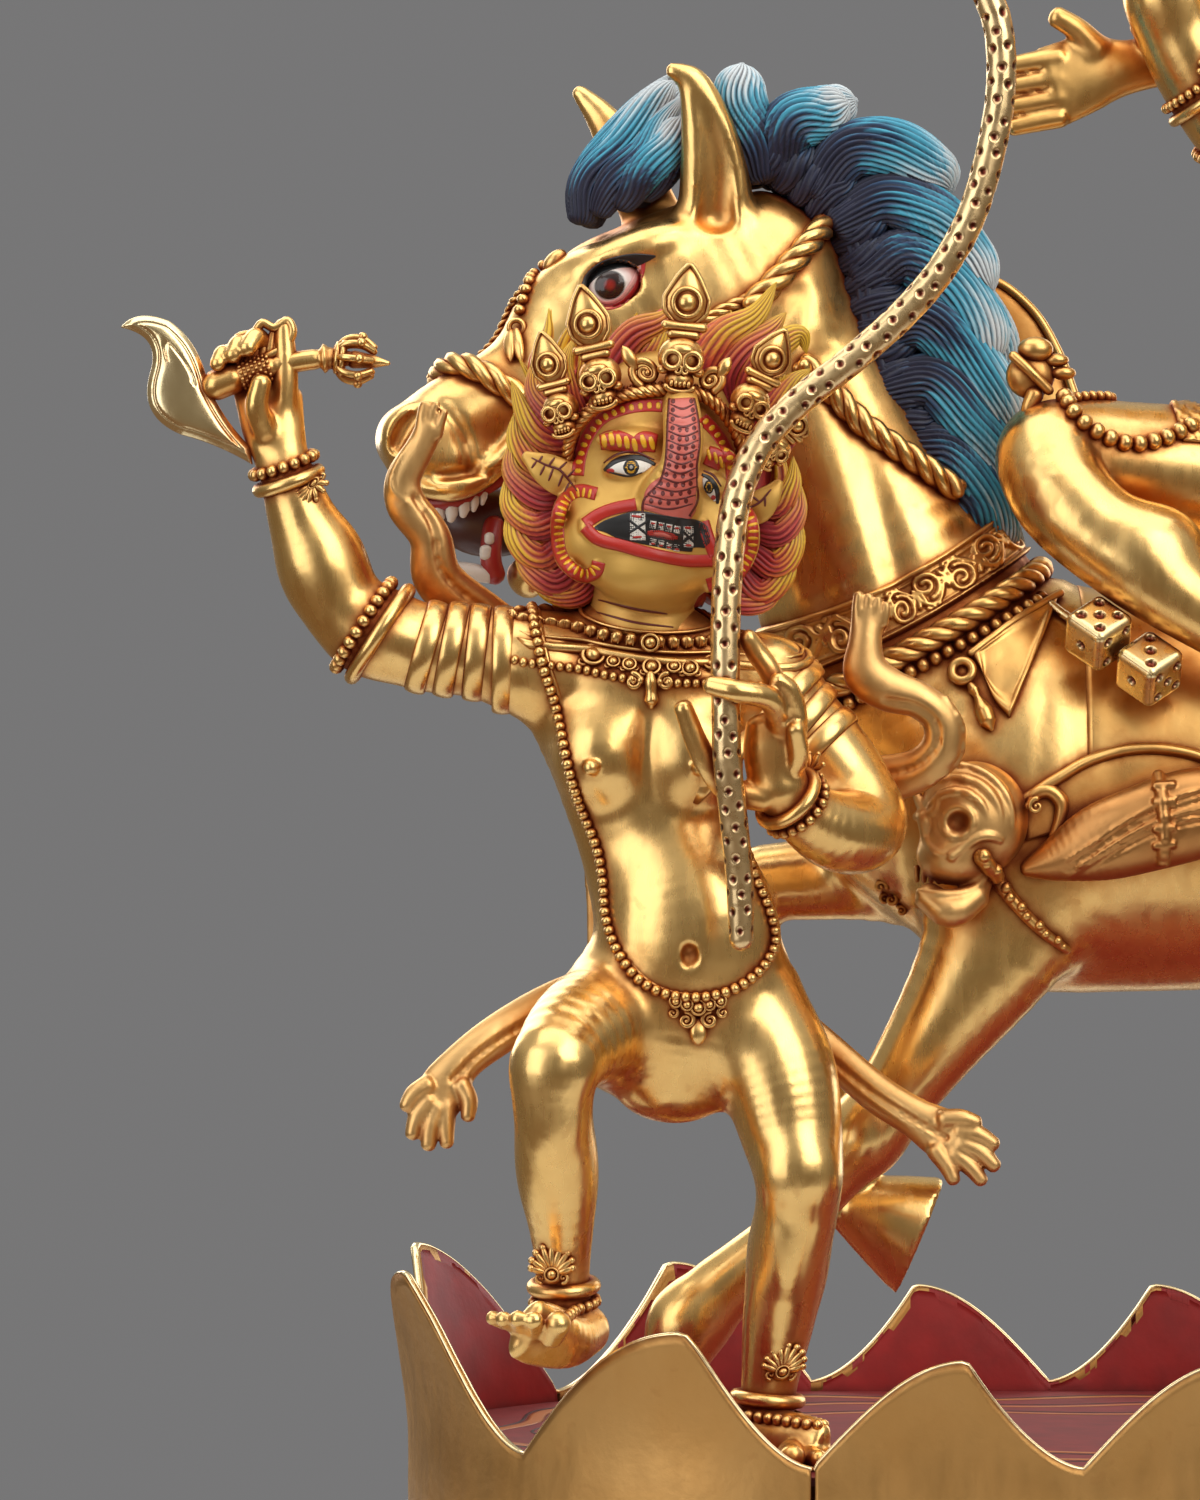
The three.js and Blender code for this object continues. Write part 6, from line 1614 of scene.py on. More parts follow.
class Brush:
    """Lays films of paint on a surface, from the viewer's side."""

    def __init__(self, skin, place, far=-70.0):
        self.skin, self.place, self.heap, self.coat, self.far = skin, place, Heap(), 0, far

    def film(self, grid, colour):
        """A closed film over a grid of [x, z], each later coat a little higher."""
        lift = FILM + COAT_STEP * self.coat
        top, under = [], []
        for x, z in grid.reshape(-1, 2) + (self.place[0], self.place[2]):
            hit, normal = self.skin.front(x, z, self.far)
            if hit is None:
                hit, normal = self.skin.nearest((x, self.place[1] - 8, z))
            top.append(hit + normal * lift)
            under.append(hit - normal * FILM)
        top, under = (np.reshape(side, (*grid.shape[:2], 3)) for side in (top, under))
        closed_sheet(self.heap, top, under, False, colour)

    def stroke(self, run, width, colour, taper=True):
        """A stroke through [x, z] places. `width` is one size or one for each place."""
        widths = np.broadcast_to(np.asarray(width, float), len(run))
        line = smooth_line([(x, 0, z, w) for (x, z), w in zip(run, widths)], 6)
        steps = np.linalg.norm(np.diff(line[:, :3], axis=0), axis=1)
        passed = np.concatenate([[0], np.cumsum(steps)])
        count = max(4, int(passed[-1] / BRISTLE) + 2)
        stops = np.linspace(0, passed[-1], count)
        middle = np.stack([np.interp(stops, passed, line[:, i]) for i in (0, 2)], 1)
        half = np.maximum(np.interp(stops, passed, line[:, 3]), 0.05) / 2
        if taper and np.ndim(width) == 0:
            half = half * np.sin(math.pi * np.linspace(0.08, 0.92, count)) ** 0.5
        way = unit(np.gradient(middle, axis=0))
        side = np.stack([-way[:, 1], way[:, 0]], 1)
        spread = np.linspace(-1, 1, max(3, int(2 * half.max() / BRISTLE) + 2))[None, :, None]
        self.film(middle[:, None] + side[:, None] * half[:, None, None] * spread, colour)

    def strokes(self, runs, width, colour, taper=True):
        for run in runs:
            self.stroke(run, width, colour, taper)

    def band(self, places, colour):
        """A stroke through [x, z, width] places."""
        self.stroke([p[:2] for p in places], [p[2] for p in places], colour)

    def dab(self, centre, radii, colour, turn=0.0):
        """An oval spot."""
        c, s = math.cos(math.radians(turn)), math.sin(math.radians(turn))
        rows = np.linspace(-0.985, 0.985, max(7, int(2 * radii[0] / BRISTLE) + 2))
        across = np.linspace(-1, 1, max(5, int(2 * radii[1] / BRISTLE) + 2))
        grid = np.array([[(a, b * math.sqrt(1 - a * a)) for b in across] for a in rows]) * radii
        turned = np.stack([c * grid[..., 0] - s * grid[..., 1], s * grid[..., 0] + c * grid[..., 1]], -1)
        self.film(turned + centre, colour)

    def next_coat(self):
        self.coat += 1

# %% Face: the places of the features
GAPE = [
    (-17.6, 154.7, 0.4), (-15.6, 155, 2.2), (-13.4, 154.9, 4.0), (-10.6, 154.9, 5.2),
    (-7, 154.2, 5.2), (-3, 153.6, 5.3), (-0.6, 153.3, 4.8), (0.9, 151.9, 1.2),
]
HAIRLINE_BAND = [
    (-20.4, 163.6), (-20, 166.6), (-18.9, 169.8), (-16.5, 172.9), (-12.7, 174.5), (-8.9, 175),
    (-6.4, 174.9)
]
HAIRLINE_FAR = [(0.1, 173), (2.5, 170.6), (4.6, 166.9), (5.1, 162.2), (4.9, 159.8)]
BROW = [
    (-16.7, 169, 2.6), (-15, 169.2, 3.5), (-12.8, 168.8, 3.1), (-11, 168.2, 2.6), (-9.4, 168.9, 3.4),
    (-7.4, 168.6, 3.0)
]
BROW_FAR = [(0.8, 166.8, 3.2), (2.2, 166.2, 3.4), (3.5, 165.2, 2.6)]
EYE_WHITE = [
    (-15.6, 164.3, 0.3), (-13.8, 164.6, 1.7), (-11.8, 164.6, 2.5), (-9.8, 164.8, 2.0),
    (-8.2, 165.1, 0.4)
]
EYE_WHITE_FAR = [(0.3, 163, 0.4), (1.0, 161.8, 1.7), (1.8, 160.4, 1.5), (2.2, 159.2, 0.3)]
EYE_MIDDLE, EYE_MIDDLE_FAR = (-11.6, 164.65), (1.2, 161.5)
TRUNK_PINK = [
    (-5.9, 156.6, 7.6), (-5.1, 159.2, 8.8), (-3.9, 162, 6.2), (-3.5, 164.7, 5.2),
    (-3.1, 168.4, 5.3), (-3.1, 172, 5), (-3.3, 176, 4),
]
FANGS = [(-10.5, 157.1, 2.5), (-10.5, 152.7, 2.6)]
FANGS_FAR = [(-2.2, 155, 1.6), (-2.2, 151.6, 1.7)]
CREASES = [
    [(-16.1, 165.5), (-13.8, 166.9), (-11, 167.2), (-7.8, 165.9)],
    [(0.3, 164.2), (1.8, 163.5), (3.2, 161.6)],
    [(-17, 143.2), (-11, 141.6), (-5.6, 140.8)],
    [(-17.4, 141.2), (-11, 139.4), (-4.6, 138.6)],
    [(-28, 166.6), (-25.6, 165.4), (-23.4, 164.6), (-21.6, 162.6), (-20.4, 160.9)],
    [(-26.8, 165.9), (-26.2, 166.9)],
    [(-25.2, 165.2), (-24.2, 166.6)],
    [(-23.6, 164.6), (-22.2, 165.9)],
    [(-22.2, 163.3), (-20.9, 164.6)],
    [(-27.2, 166), (-28, 164.9)],
    [(-25.8, 165.3), (-26.6, 163.7)],
    [(-24.4, 164.9), (-25.2, 162.8)],
    [(-22.8, 163.9), (-23.6, 161.9)],
    [(-21.8, 162.5), (-22.6, 160.8)],
    [(11.6, 161.4), (9.6, 159.2), (7, 158)],
    [(10.6, 160.4), (10.6, 158.6)],
    [(9.6, 159.4), (8.4, 160.4)],
]
MOUTH_RUNS = [[(x, z) for x, z, _ in run] for run in (MOUTH_TOP, MOUTH_LOW, MOUTH_SIDE)]
CURL_RUNS = [[(x, z) for x, z, _ in run] for run in (CHEEK_CURL, CHEEK_CURL_FAR)]

# %% Face: ground colours
brush = Brush(FACE_SKIN, ATTENDANT)
brush.band(TRUNK_PINK, ROSE)
for band in (BROW, BROW_FAR):
    brush.band(band, RED)
brush.strokes([HAIRLINE_BAND, HAIRLINE_FAR], 2.1, RED, False)
brush.strokes(CURL_RUNS, 2.2, RED, False)
for white in (EYE_WHITE, EYE_WHITE_FAR):
    brush.band(white, WHITE)
brush.next_coat()
brush.band(GAPE, BLACK)
brush.dab((-15, 164.1), (0.7, 0.4), RED)
brush.dab((1.9, 159.8), (0.4, 0.4), RED)
brush.dab(EYE_MIDDLE, (1.3, 1.3), BLACK)
brush.dab(EYE_MIDDLE_FAR, (0.85, 1.1), BLACK)
trunk_line = smooth_line([(x, 0, z, w) for x, z, w in TRUNK_PINK], 3)
ribs = even(trunk_line[:, :3], 1.5)
for i, (x, _, z) in enumerate(ribs[1:-1]):
    half = np.interp(z, trunk_line[:, 2], trunk_line[:, 3]) * 0.46
    brush.stroke([(x - half, z + 0.55), (x, z - 0.35), (x + half, z + 0.55)], 0.34, DEEP_RED)
    spots = np.linspace(-0.72, 0.72, 5 if half > 3 else 4 if z < 170 else 2)
    for t in spots:
        brush.dab((x + half * t, z + 0.7 + 0.6 * t * t), (0.44, 0.34), DEEP_RED, 90)
for side in (-1, 1):
    brush.stroke([(x + side * w / 2, z) for x, _, z, w in trunk_line], 0.36, DEEP_RED, False)
brush.strokes(CREASES, 0.36, DEEP_RED)
brush.stroke([(-16, 164.2), (-14.4, 165.5), (-12.4, 166.2), (-10, 166.2), (-7.6, 165.1)], 0.95, BLACK)
brush.stroke([(-15.9, 164.2), (-13.8, 163.5), (-11.8, 163.2), (-9.8, 163.8)], 0.26, BLACK)
brush.stroke([(0, 163.6), (1.4, 162.8), (2.5, 161), (2.6, 158.8)], 0.8, BLACK)

# %% Face: teeth, tongue and yellow strokes
for marks in (HAIRLINE_BAND, HAIRLINE_FAR):
    marks = even([(x, 0, z) for x, z in marks], 1.5)
    for p, q in zip(marks[:-1], marks[1:]):
        a, b = p + (q - p) * 0.28, p + (q - p) * 0.8
        brush.stroke([(a[0], a[2]), (b[0], b[2])], 1.2, YELLOW)
for x, z, lean in (
    (-16, 169, 0.3), (-14.8, 169.3, 0.4), (-13.6, 169, 0.4), (-12.3, 168.7, 0.4), (-11, 168.3, 0.5),
    (-9.6, 168.9, 0.6), (-8.2, 168.6, 0.6)
):
    brush.stroke([(x - lean / 2, z + 1.05), (x + lean / 2, z - 1.05)], 0.9, YELLOW)
for x, z in ((1.2, 166.8), (2.3, 166.3), (3.2, 165.6)):
    brush.stroke([(x - 0.2, z + 0.9), (x + 0.2, z - 0.9)], 0.6, YELLOW)
for curl in CURL_RUNS:
    marks = even([(x, 0, z) for x, z in curl], 1.05)
    way = unit(np.gradient(marks, axis=0))
    for p, w in zip(marks[1:-1], way[1:-1]):
        brush.stroke(
            [(p[0] - w[2] * 0.95, p[2] + w[0] * 0.95), (p[0] + w[2] * 0.6, p[2] - w[0] * 0.6)], 0.52,
            YELLOW
        )
brush.strokes(MOUTH_RUNS, 2.0, RED, False)
for fangs in (FANGS, FANGS_FAR):
    brush.band(fangs, WHITE)
for i in range(4):
    x = -8 + 1.3 * i
    for z in (155.3 - 0.26 * i, 152.5 - 0.3 * i):
        brush.stroke([(x - 0.5, z), (x + 0.5, z - 0.15)], 1.2, WHITE, False)
brush.stroke([(-8.9, 153.9), (-6.5, 153.7), (-4, 153)], 1.25, RED)
brush.dab(EYE_MIDDLE, (0.98, 0.98), YELLOW)
brush.dab(EYE_MIDDLE_FAR, (0.6, 0.8), YELLOW)
brush.next_coat()
brush.dab(EYE_MIDDLE, (0.62, 0.62), BLACK)
brush.dab(EYE_MIDDLE_FAR, (0.36, 0.5), BLACK)
brush.strokes(
    [
        [(-12, 156.1), (-9, 153.7)], [(-12, 153.9), (-9, 155.7)], [(-3.2, 154.2), (-1.2, 152.4)],
        [(-3.1, 152.4), (-1.2, 153.9)]
    ],
    0.42, BLACK, False
)
brush.strokes(
    [
        [(-11.5, 156.7), (-9.9, 156.5)], [(-11.3, 153.2), (-9.8, 153.3)],
        [(-2.8, 154.8), (-1.8, 154.7)], [(-2.7, 151.9), (-1.7, 151.9)]
    ],
    0.42, RED
)
for i in range(4):
    x = -8 + 1.3 * i
    brush.stroke([(x - 0.35, 155.5 - 0.26 * i), (x + 0.35, 155.4 - 0.26 * i)], 0.34, RED)
    brush.stroke([(x - 0.35, 152.2 - 0.3 * i), (x + 0.35, 152.1 - 0.3 * i)], 0.34, RED)
brush.stroke([(-7.9, 153.8), (-6.5, 153.65), (-5, 153.2)], 0.55, ROSE)
brush.next_coat()
# a grey dot in the middle of the pupil: a painted highlight
brush.dab(EYE_MIDDLE, (0.3, 0.3), (0.35, 0.33, 0.3))
brush.heap.piece("attendant_face_paint", FILM_PAINT, (), "red_paint")
print("strokes laid in", brush.coat + 1, "coats")

# %% [markdown]
# ## Flame hair and crown
# The hair stands up in carved flames. Each flame is a lock that swells, curls and ends in a point, and
# it is cut along its length with fine grooves. The paint is crimson at the roots and in the grooves
# and turns through orange to yellow at the tips, so each lock carries its own colours.

# %% A carved and painted lock
def lock(heap, path, width, thick, tones, grooves=7, twist=0.6, up=FRONT, seed=0, steps=7, blunt=False):
    """A flat lock with fine grooves along it. `tones` are its colours from root to tip."""
    line = smooth_line(path, steps)
    n, sides = len(line), grooves * 5 + 14
    t = np.linspace(0, 1, n)
    swell = np.clip(np.sin(math.pi * (0.16 + 0.84 * t**0.9)) ** 0.7, 0, 1) * (1 - 0.25 * t)
    if blunt:
        swell = (0.72 + 0.28 * np.sin(math.pi * t**0.8)) * np.sqrt(
            np.clip(1 - np.clip((t - 0.8) / 0.2, 0, 1) ** 2, 0.02, 1)
        )
    half = np.maximum(width * swell, 0.12)
    angle = full_turn(sides)
    drift = 0.5 * np.sin(2.2 * math.pi * t + seed)[:, None] + twist * t[:, None]
    wave = np.cos(grooves * angle[None] + 0.9 * np.sin(3 * angle + seed)[None] + drift * 0.5 * grooves)
    deep_cut = np.clip(-wave - 0.25, 0, 1) / 0.75
    section = 1 + 0.04 * wave - 0.19 * deep_cut * (0.7 + 0.3 * np.sin(5 * angle + 2 * seed)[None])
    stops = np.linspace(0, 1, len(tones))
    streak = 0.09 * np.sin(3 * angle + seed)[None] + 0.07 * wave + 0.05 * np.sin(
        11 * angle[None] + 5 * t[:, None] + seed
    )
    bristle = np.sin(np.arange(sides) * 12.99 + seed * 78.2) * 43758.5 % 1
    streak = streak + 0.26 * (bristle - 0.5)[None] * (0.65 + 0.35 * np.sin(9 * t[:, None] + 6 * bristle))
    shade = np.clip(t[:, None] + streak, 0, 1)
    colours = np.stack([np.interp(shade, stops, [c[i] for c in tones]) for i in range(3)], -1)
    cut = 0.75 * deep_cut[..., None]
    colours = colours * (1 - cut) + np.array(tones[0]) * 0.7 * cut
    radii = np.stack([half, np.maximum(thick * swell, 0.1)], 1)
    tube(heap, line, radii, sides, up, section=section, paint=colours)


CRIMSON, SCARLET = (0.33, 0.014, 0.025), (0.53, 0.04, 0.03)
ORANGE, PALE_YELLOW = (0.72, 0.20, 0.04), (0.80, 0.50, 0.03)
FLAME = (CRIMSON, CRIMSON, SCARLET, ORANGE, PALE_YELLOW, PALE_YELLOW, PALE_YELLOW)
PINK_FLAME = (CRIMSON, CRIMSON, (0.52, 0.05, 0.055), (0.70, 0.20, 0.07), (0.76, 0.36, 0.05), PALE_YELLOW)

# %% Hair: locks that the viewer sees, from root to tip
HAIR_FRONT = [
    ([(-13.5, -3, 172), (-14.5, -2, 180), (-11, -3, 187), (-6, -3.5, 189.5), (-2.4, -3.5, 192.8)], 3.4),
    ([(-8, -2, 174), (-9, -3, 181), (-6.4, -3.4, 186), (-4.6, -3, 189.5)], 2.8),
    ([(0, -2, 175), (-0.6, -3.4, 182), (3.4, -3.6, 187), (9, -3, 190.4), (12.6, -2.4, 196)], 3.4),
    ([(4, -1.6, 174), (4, -2.6, 180), (7.4, -3, 185), (12, -2.6, 188.6), (14.2, -2, 191)], 2.8),
    ([(7, -1.5, 172), (8.6, -3, 180), (12.4, -3.4, 185), (16.6, -3, 187.2), (17.6, -2.6, 184.2)], 2.9),
    ([(9, -1, 169), (11.6, -2.6, 174.6), (15.6, -2.6, 179.4), (18.2, -2, 181.6)], 2.5),
    ([(10, -1, 166), (13.4, -2.4, 169.4), (16.4, -2.2, 174), (18.6, -1.6, 177.6)], 2.3),
    ([(-16, -2, 174), (-18.4, -3, 179), (-18.6, -3.2, 184.6), (-21.4, -2.6, 190)], 2.4),
    ([(-19, -2.5, 172), (-21.8, -3.4, 177), (-22.6, -3.2, 182), (-20.8, -2.4, 187)], 2.3),
    ([(-19.5, -3, 170), (-24.6, -3.8, 173), (-27.6, -3.6, 178), (-27.8, -3, 183)], 2.5),
    ([(-20, -2.8, 168), (-26.4, -3.6, 169.6), (-30.6, -3.4, 174), (-31.4, -2.6, 179.6)], 2.7),
    ([(-20.5, -2.4, 166), (-27.4, -3.2, 165.4), (-32.2, -3, 169.6), (-32.4, -2.4, 175)], 2.8),
    ([(-21, -2.6, 162), (-28, -3.6, 160.6), (-33, -3.4, 164.4), (-33.2, -2.6, 170.4)], 2.9),
    ([(-21, -2.6, 158), (-28.4, -3.4, 155.4), (-33.4, -3.2, 159), (-33.8, -2.4, 165)], 2.9),
    ([(-20.6, -2.2, 154), (-27.4, -3.2, 150.2), (-32.6, -3.2, 153.8), (-33.4, -2.6, 159.6)], 2.9),
    ([(-19.4, -1.8, 151), (-24.6, -2.8, 146.4), (-30, -2.8, 148.6), (-32.2, -2.4, 154)], 2.8),
    ([(-17, -1, 149), (-20.4, -2, 144.4), (-26, -2, 144.8), (-30.4, -1.8, 149)], 2.6),
    ([(7.6, -2, 160), (12.6, -3, 158.6), (15.2, -3, 162.4), (15.4, -2.4, 167)], 2.4),
    ([(7.6, -2, 156), (13, -3, 154), (16, -3, 158), (16.4, -2.2, 163)], 2.6),
    ([(7.4, -2, 152), (12.4, -3, 148.8), (15.6, -3, 152.4), (16.2, -2.4, 158)], 2.7),
    ([(5.6, -1.6, 148.6), (10, -2.4, 144.6), (14, -2.6, 147.2), (15.6, -2, 152)], 2.6),
    ([(2.6, -1, 147), (6, -1.8, 143.2), (10.8, -2, 143), (14.2, -1.8, 146.8)], 2.4),
]
HAIR_HEART = [
    (-8, 3, 144, 9, 4.5),
    (-8.4, 5, 152, 19, 8),
    (-8.4, 5.6, 164, 21, 8.4),
    (-7.4, 5.4, 175, 17.5, 7.4),
    (-6, 4.4, 183, 10.5, 5),
    (-4.4, 3.4, 189.4, 4, 2.6),
]

# %% Hair: dress the head
hair = Heap()
heart = smooth_line([(*s[:3], s[3], s[4]) for s in HAIR_HEART], 6) + [*ATTENDANT, 0, 0]
angle = full_turn(96)
strand = 1 + 0.025 * np.sin(24 * angle)[None] * np.ones((len(heart), 1))
tube(hair, heart[:, :3], heart[:, 3:5], 96, FRONT, section=strand, paint=SCARLET)
for i, (path, width) in enumerate(HAIR_FRONT):
    path = [(x if x > -21 or z > 176 else -21 + (x + 21) * 0.84, y, z) for x, y, z in path]
    lock(hair, np.add(path, ATTENDANT), width, 1.9, FLAME if i % 3 else PINK_FLAME, 15, 0.6, seed=i * 1.7)
HAIR_MIDDLE = np.array((-8.0, 5.5, 163))
for row, (lift, count, length) in enumerate(
    ((-0.85, 9, 15), (-0.35, 11, 17), (0.15, 11, 18), (0.6, 10, 17))
):
    for k in range(count):
        turn = math.radians(-12 + 204 * k / (count - 1) + 5 * (row % 2))
        out = np.array((math.cos(turn), math.sin(turn) * 0.55, 0))
        root = HAIR_MIDDLE + out * 13.5 * math.sqrt(max(0.2, 1 - lift * lift * 0.6)) + (0, 0, 20 * lift)
        sway = math.sin(k * 2.4 + row)
        path = [
            root,
            root + out * 4.6 + (0, 0, -1.5 + 2.5 * lift + 1.5),
            root + out * 7.2 + (1.4 * sway, 0, length * 0.42),
            root + out * (5.6 + sway) + (2.2 * sway, 0, length * 0.74),
            root + out * (6.4 - 3.4 * lift) + (3.2 * sway, 0, length),
        ]
        lock(hair, np.add(path, ATTENDANT), 3.1, 1.8, FLAME, 6, 0.6, (*out[:2], 0.2), row * 3 + k)
hair.piece("flame_hair", HAIR_PAINT, ("attendant_hair",), "flame_paint")
print("attendant's locks:", len(HAIR_FRONT) + 41)

# %% [markdown]
# Five skulls stand on a band of twisted wire, each under a pointed plate with a stone. The plates
# fan out with the curve of the brow.

# %% A skull and its leaf
def skull_leaf(heap, root, up, facing, size, tip_reach):
    """A skull, a short baluster, and a pointed plate with a stone. `size` is the skull's height."""
    up, facing = unit(up), unit(facing)
    right = unit(np.cross(up, facing))
    facing = np.cross(right, up)
    frame_axes = np.array((right, facing, up))

    def at(u, v, w):
        return np.asarray(root) + np.array((u, v, w)) @ frame_axes * size

    ball(heap, at(0, 0, 0.62), np.array((0.44, 0.34, 0.40)) * size, frame_axes, 12, 20)
    ball(heap, at(0, 0.05, 0.2), np.array((0.28, 0.26, 0.22)) * size, frame_axes, 8, 16)
    for side in (-1, 1):
        socket = circle(at(side * 0.19, 0.31, 0.55), 0.16 * size, right, up, 14)
        tube(heap, socket, 0.06 * size, 7, None, True)
        ball(heap, at(side * 0.33, 0.16, 0.36), np.array((0.12, 0.12, 0.09)) * size, frame_axes, 6, 10)
        scroll(heap, at(side * 0.08, 0.32, 0.36), 0.1 * size, right * side, up, 0.04 * size, 0.9, 1)
    ball(heap, at(0, 0.26, 0.75), np.array((0.24, 0.12, 0.12)) * size, frame_axes, 6, 12)
    for k in range(5):
        ball(
            heap, at(-0.16 + 0.08 * k, 0.26, 0.12), np.array((0.042, 0.05, 0.075)) * size, frame_axes,
            5, 8
        )
    jaw = [
        at(0.25 * math.cos(a), 0.2, 0.07 + 0.1 * math.sin(a))
        for a in np.linspace(math.pi * 1.05, math.pi * 1.95, 9)
    ]
    tube(heap, jaw, 0.06 * size, 8)
    low = 1.04 * size
    for w, wide in ((low, 0.22), (low + 0.16 * size, 0.34)):
        bar = [
            np.asarray(root) + right * s * wide * size + up * w + facing * 0.06 * size
            for s in (-1, -0.4, 0.4, 1)
        ]
        tube(heap, bar, 0.1 * size, 8)
    t = np.linspace(0, 1, 13)
    start, stop = low + 0.24 * size, tip_reach
    spine = np.asarray(root) + up * (start + (stop - start) * t)[:, None]
    wide = np.interp(t, [0, 0.18, 0.42, 0.8, 1], [0.22, 0.40, 0.42, 0.2, 0.03]) * size
    tube(heap, spine, np.stack([wide, np.minimum(wide * 0.5, 0.15 * size)], 1), 12, facing)
    rim = np.concatenate(
        [spine + right * wide[:, None], (spine - right * wide[:, None])[::-1]]
    ) + facing * 0.04 * size
    tube(heap, rim, 0.05 * size, 6)
    cabochon(
        heap, np.asarray(root) + up * (start + (stop - start) * 0.34) + facing * 0.13 * size,
        0.26 * size, right, up, facing
    )

# %% The attendant's crown
CROWN_MIDDLE = (-7.4, -2, 159.5)
CROWN_LEAVES = [
    ((-22.1, -9.4, 170.4), (-26.3, -10.2, 187.2), 7.1),
    ((-15.6, -11.8, 174.9), (-19.8, -12.4, 194.6), 8.2),
    ((-3.9, -13.4, 177.4), (-1.9, -13.6, 198), 8.8),
    ((6, -11.6, 171.4), (13.6, -12.4, 187.4), 7.7),
    ((9.8, -8.4, 165.6), (17, -9, 173.4), 6),
]
CROWN_BAND = [
    (-21.8, -4.6, 164), (-22, -7.4, 168), (-20.8, -9.4, 171.4), (-17.2, -11.8, 174.8),
    (-11.6, -13.2, 176.9), (-5, -13.6, 177.4), (0.6, -12.8, 176.4), (4.4, -11, 173),
    (6.6, -8.8, 168.4), (7, -7, 164),
]

crown = Heap()
band = smooth_line(np.add(CROWN_BAND, ATTENDANT), 8)
twisted(crown, band, 1.15, 3, 3.6)
beads(crown, band + (0, 0.9, 1.1), 0.62)
for root, tip, size in CROWN_LEAVES:
    root, tip = np.array(root), np.array(tip)
    out = (root[0] - CROWN_MIDDLE[0]) / 22
    skull_leaf(
        crown, root + ATTENDANT + (0, -0.4, 0), tip - root, (out * 0.6, -1, 0), size,
        np.linalg.norm(tip - root)
    )
VOLUTES = [((-9.2, -13.4, 180.4), 2.5, -1), ((1.5, -13, 179.2), 2.1, 1)]
for place, size, side in VOLUTES:
    place = np.add(place, ATTENDANT)
    scroll(crown, place, size, (side, 0, 0), (0.2 * side, 0, 1), 0.75, 1.7, 1, -60)
    petal(
        crown, place + (side * size * 0.7, 0, size * 0.3), place + (side * size * 1.5, 0, size * 1.7),
        0.9, DEPTH * -1, 0.8
    )
crown.piece("skull_crown", GILT, ("attendant_crown",))
print("crown leaves:", len(CROWN_LEAVES))

# %% [markdown]
# ## Serpent rein
# The rein is a snake's body of pale gold wire, punched all over with little round dents that hold a
# red-brown tone. The dents are real: each punch pushes the nearest points of the tube inwards.

# %% The rein
REIN = [
    (6.3, -25, 87.5), (6.1, -25.6, 96), (5, -27.5, 107), (3.9, -29.4, 117), (3.7, -30, 126.7),
    (3.6, -29.8, 136), (4, -29, 147), (5.3, -27.5, 158.3), (9, -26, 167.6), (15.4, -25, 174.8),
    (23.8, -25, 181.4), (31.7, -25, 188.3), (38.2, -25, 195.6), (43.3, -25, 204.2),
    (46.6, -25, 214.6), (48.6, -25, 226.7), (47.6, -25, 238), (42.5, -25, 247),
    (34.5, -25, 252.5), (26, -25, 252.6), (20, -25, 249.5),
]
REIN_RADIUS = 2.45
PUNCH_RADIUS = 0.6
PUNCH_GAP = 2.9


def dented_rein(name):
    line = smooth_line(np.add(REIN, ATTENDANT), 3)
    line = even(line, 0.2)
    share = np.linspace(0, 1, len(line))
    radius = REIN_RADIUS * np.interp(share, [0, 0.03, 0.3, 0.96, 1], [0.8, 0.92, 1, 1, 0.9])
    along, across, deep = frames(line)
    sides = 80
    angle = full_turn(sides)
    distance = share * np.linalg.norm(np.diff(line, axis=0), axis=1).sum()
    section = np.ones((len(line), sides))
    tint = np.ones((len(line), sides, 3)) * (0.84, 0.62, 0.33)
    for row in range(int(distance[-1] / PUNCH_GAP)):
        for k in range(5):
            s = (row + 0.6) * PUNCH_GAP + 0.35 * math.sin(row * 2.1 + k * 1.3)
            a = 2 * math.pi * (k + 0.5 * (row % 2)) / 5 + 0.12 * math.sin(row * 1.7 + k)
            rows = np.flatnonzero(abs(distance - s) < 1.6)
            turn = (angle - a + math.pi) % (2 * math.pi) - math.pi
            off = np.hypot((distance[rows] - s)[:, None], turn[None] * REIN_RADIUS) / PUNCH_RADIUS
            section[rows] -= 0.15 * np.clip(1.15 - off**2 * 0.6, 0, 1)
            stain = np.clip(2.2 - 1.6 * off, 0, 1)[..., None]
            tint[rows] = tint[rows] * (1 - stain) + np.array((0.12, 0.022, 0.014)) * stain
    heap = Heap()
    tube(heap, line, np.stack([radius, radius], 1), sides, None, section=section, paint=tint)
    return heap.piece(name, REIN_GILT, ("serpent_rein",))


dented_rein("serpent_rein_body")
rein_head = Heap()
HEAD_END = np.add(REIN[-1], ATTENDANT)
head_way = unit(np.subtract((15.5, -25, 246.5), REIN[-1]))
tube(
    rein_head, [HEAD_END, HEAD_END + head_way * 2.6, HEAD_END + head_way * 5.6],
    [(2.6, 2.4), (3.6, 2.6), (1.9, 1.6)], 20, FRONT
)
for side in (-1, 1):
    ball(rein_head, HEAD_END + head_way * 3.4 + (0, 2.4 * side, 1.6), 0.8)
rein_head.piece("serpent_rein_head", REIN_GILT)

# %% [markdown]
# ## The attendant's jewellery
# Everything she wears follows her skin: a necklace of engraved tiles with a clasp of scrolls, a long
# chain of beads to a pendant, and rings with beads on arms, wrists and ankles. The places of a ring
# are found by feeling outwards from inside the limb until the skin is met.

# %% Rings and beads on a limb
BODY_SKIN = Skin(ATTENDANT, (BODY_POINTS, BODY_QUADS))


def ring_on(skin, stations, share, slide, proud, way=None, count=64):
    """A closed ring on a limb, `slide` millimetres along it from a share of its length."""
    centre, along, across, deep, _ = section_at(stations, share, skin.place)
    if way is not None:
        along = unit(way)
        across = unit(np.cross(DEPTH, along))
        deep = np.cross(along, across)
    return skin.around(centre + along * slide, across, deep, count, proud)


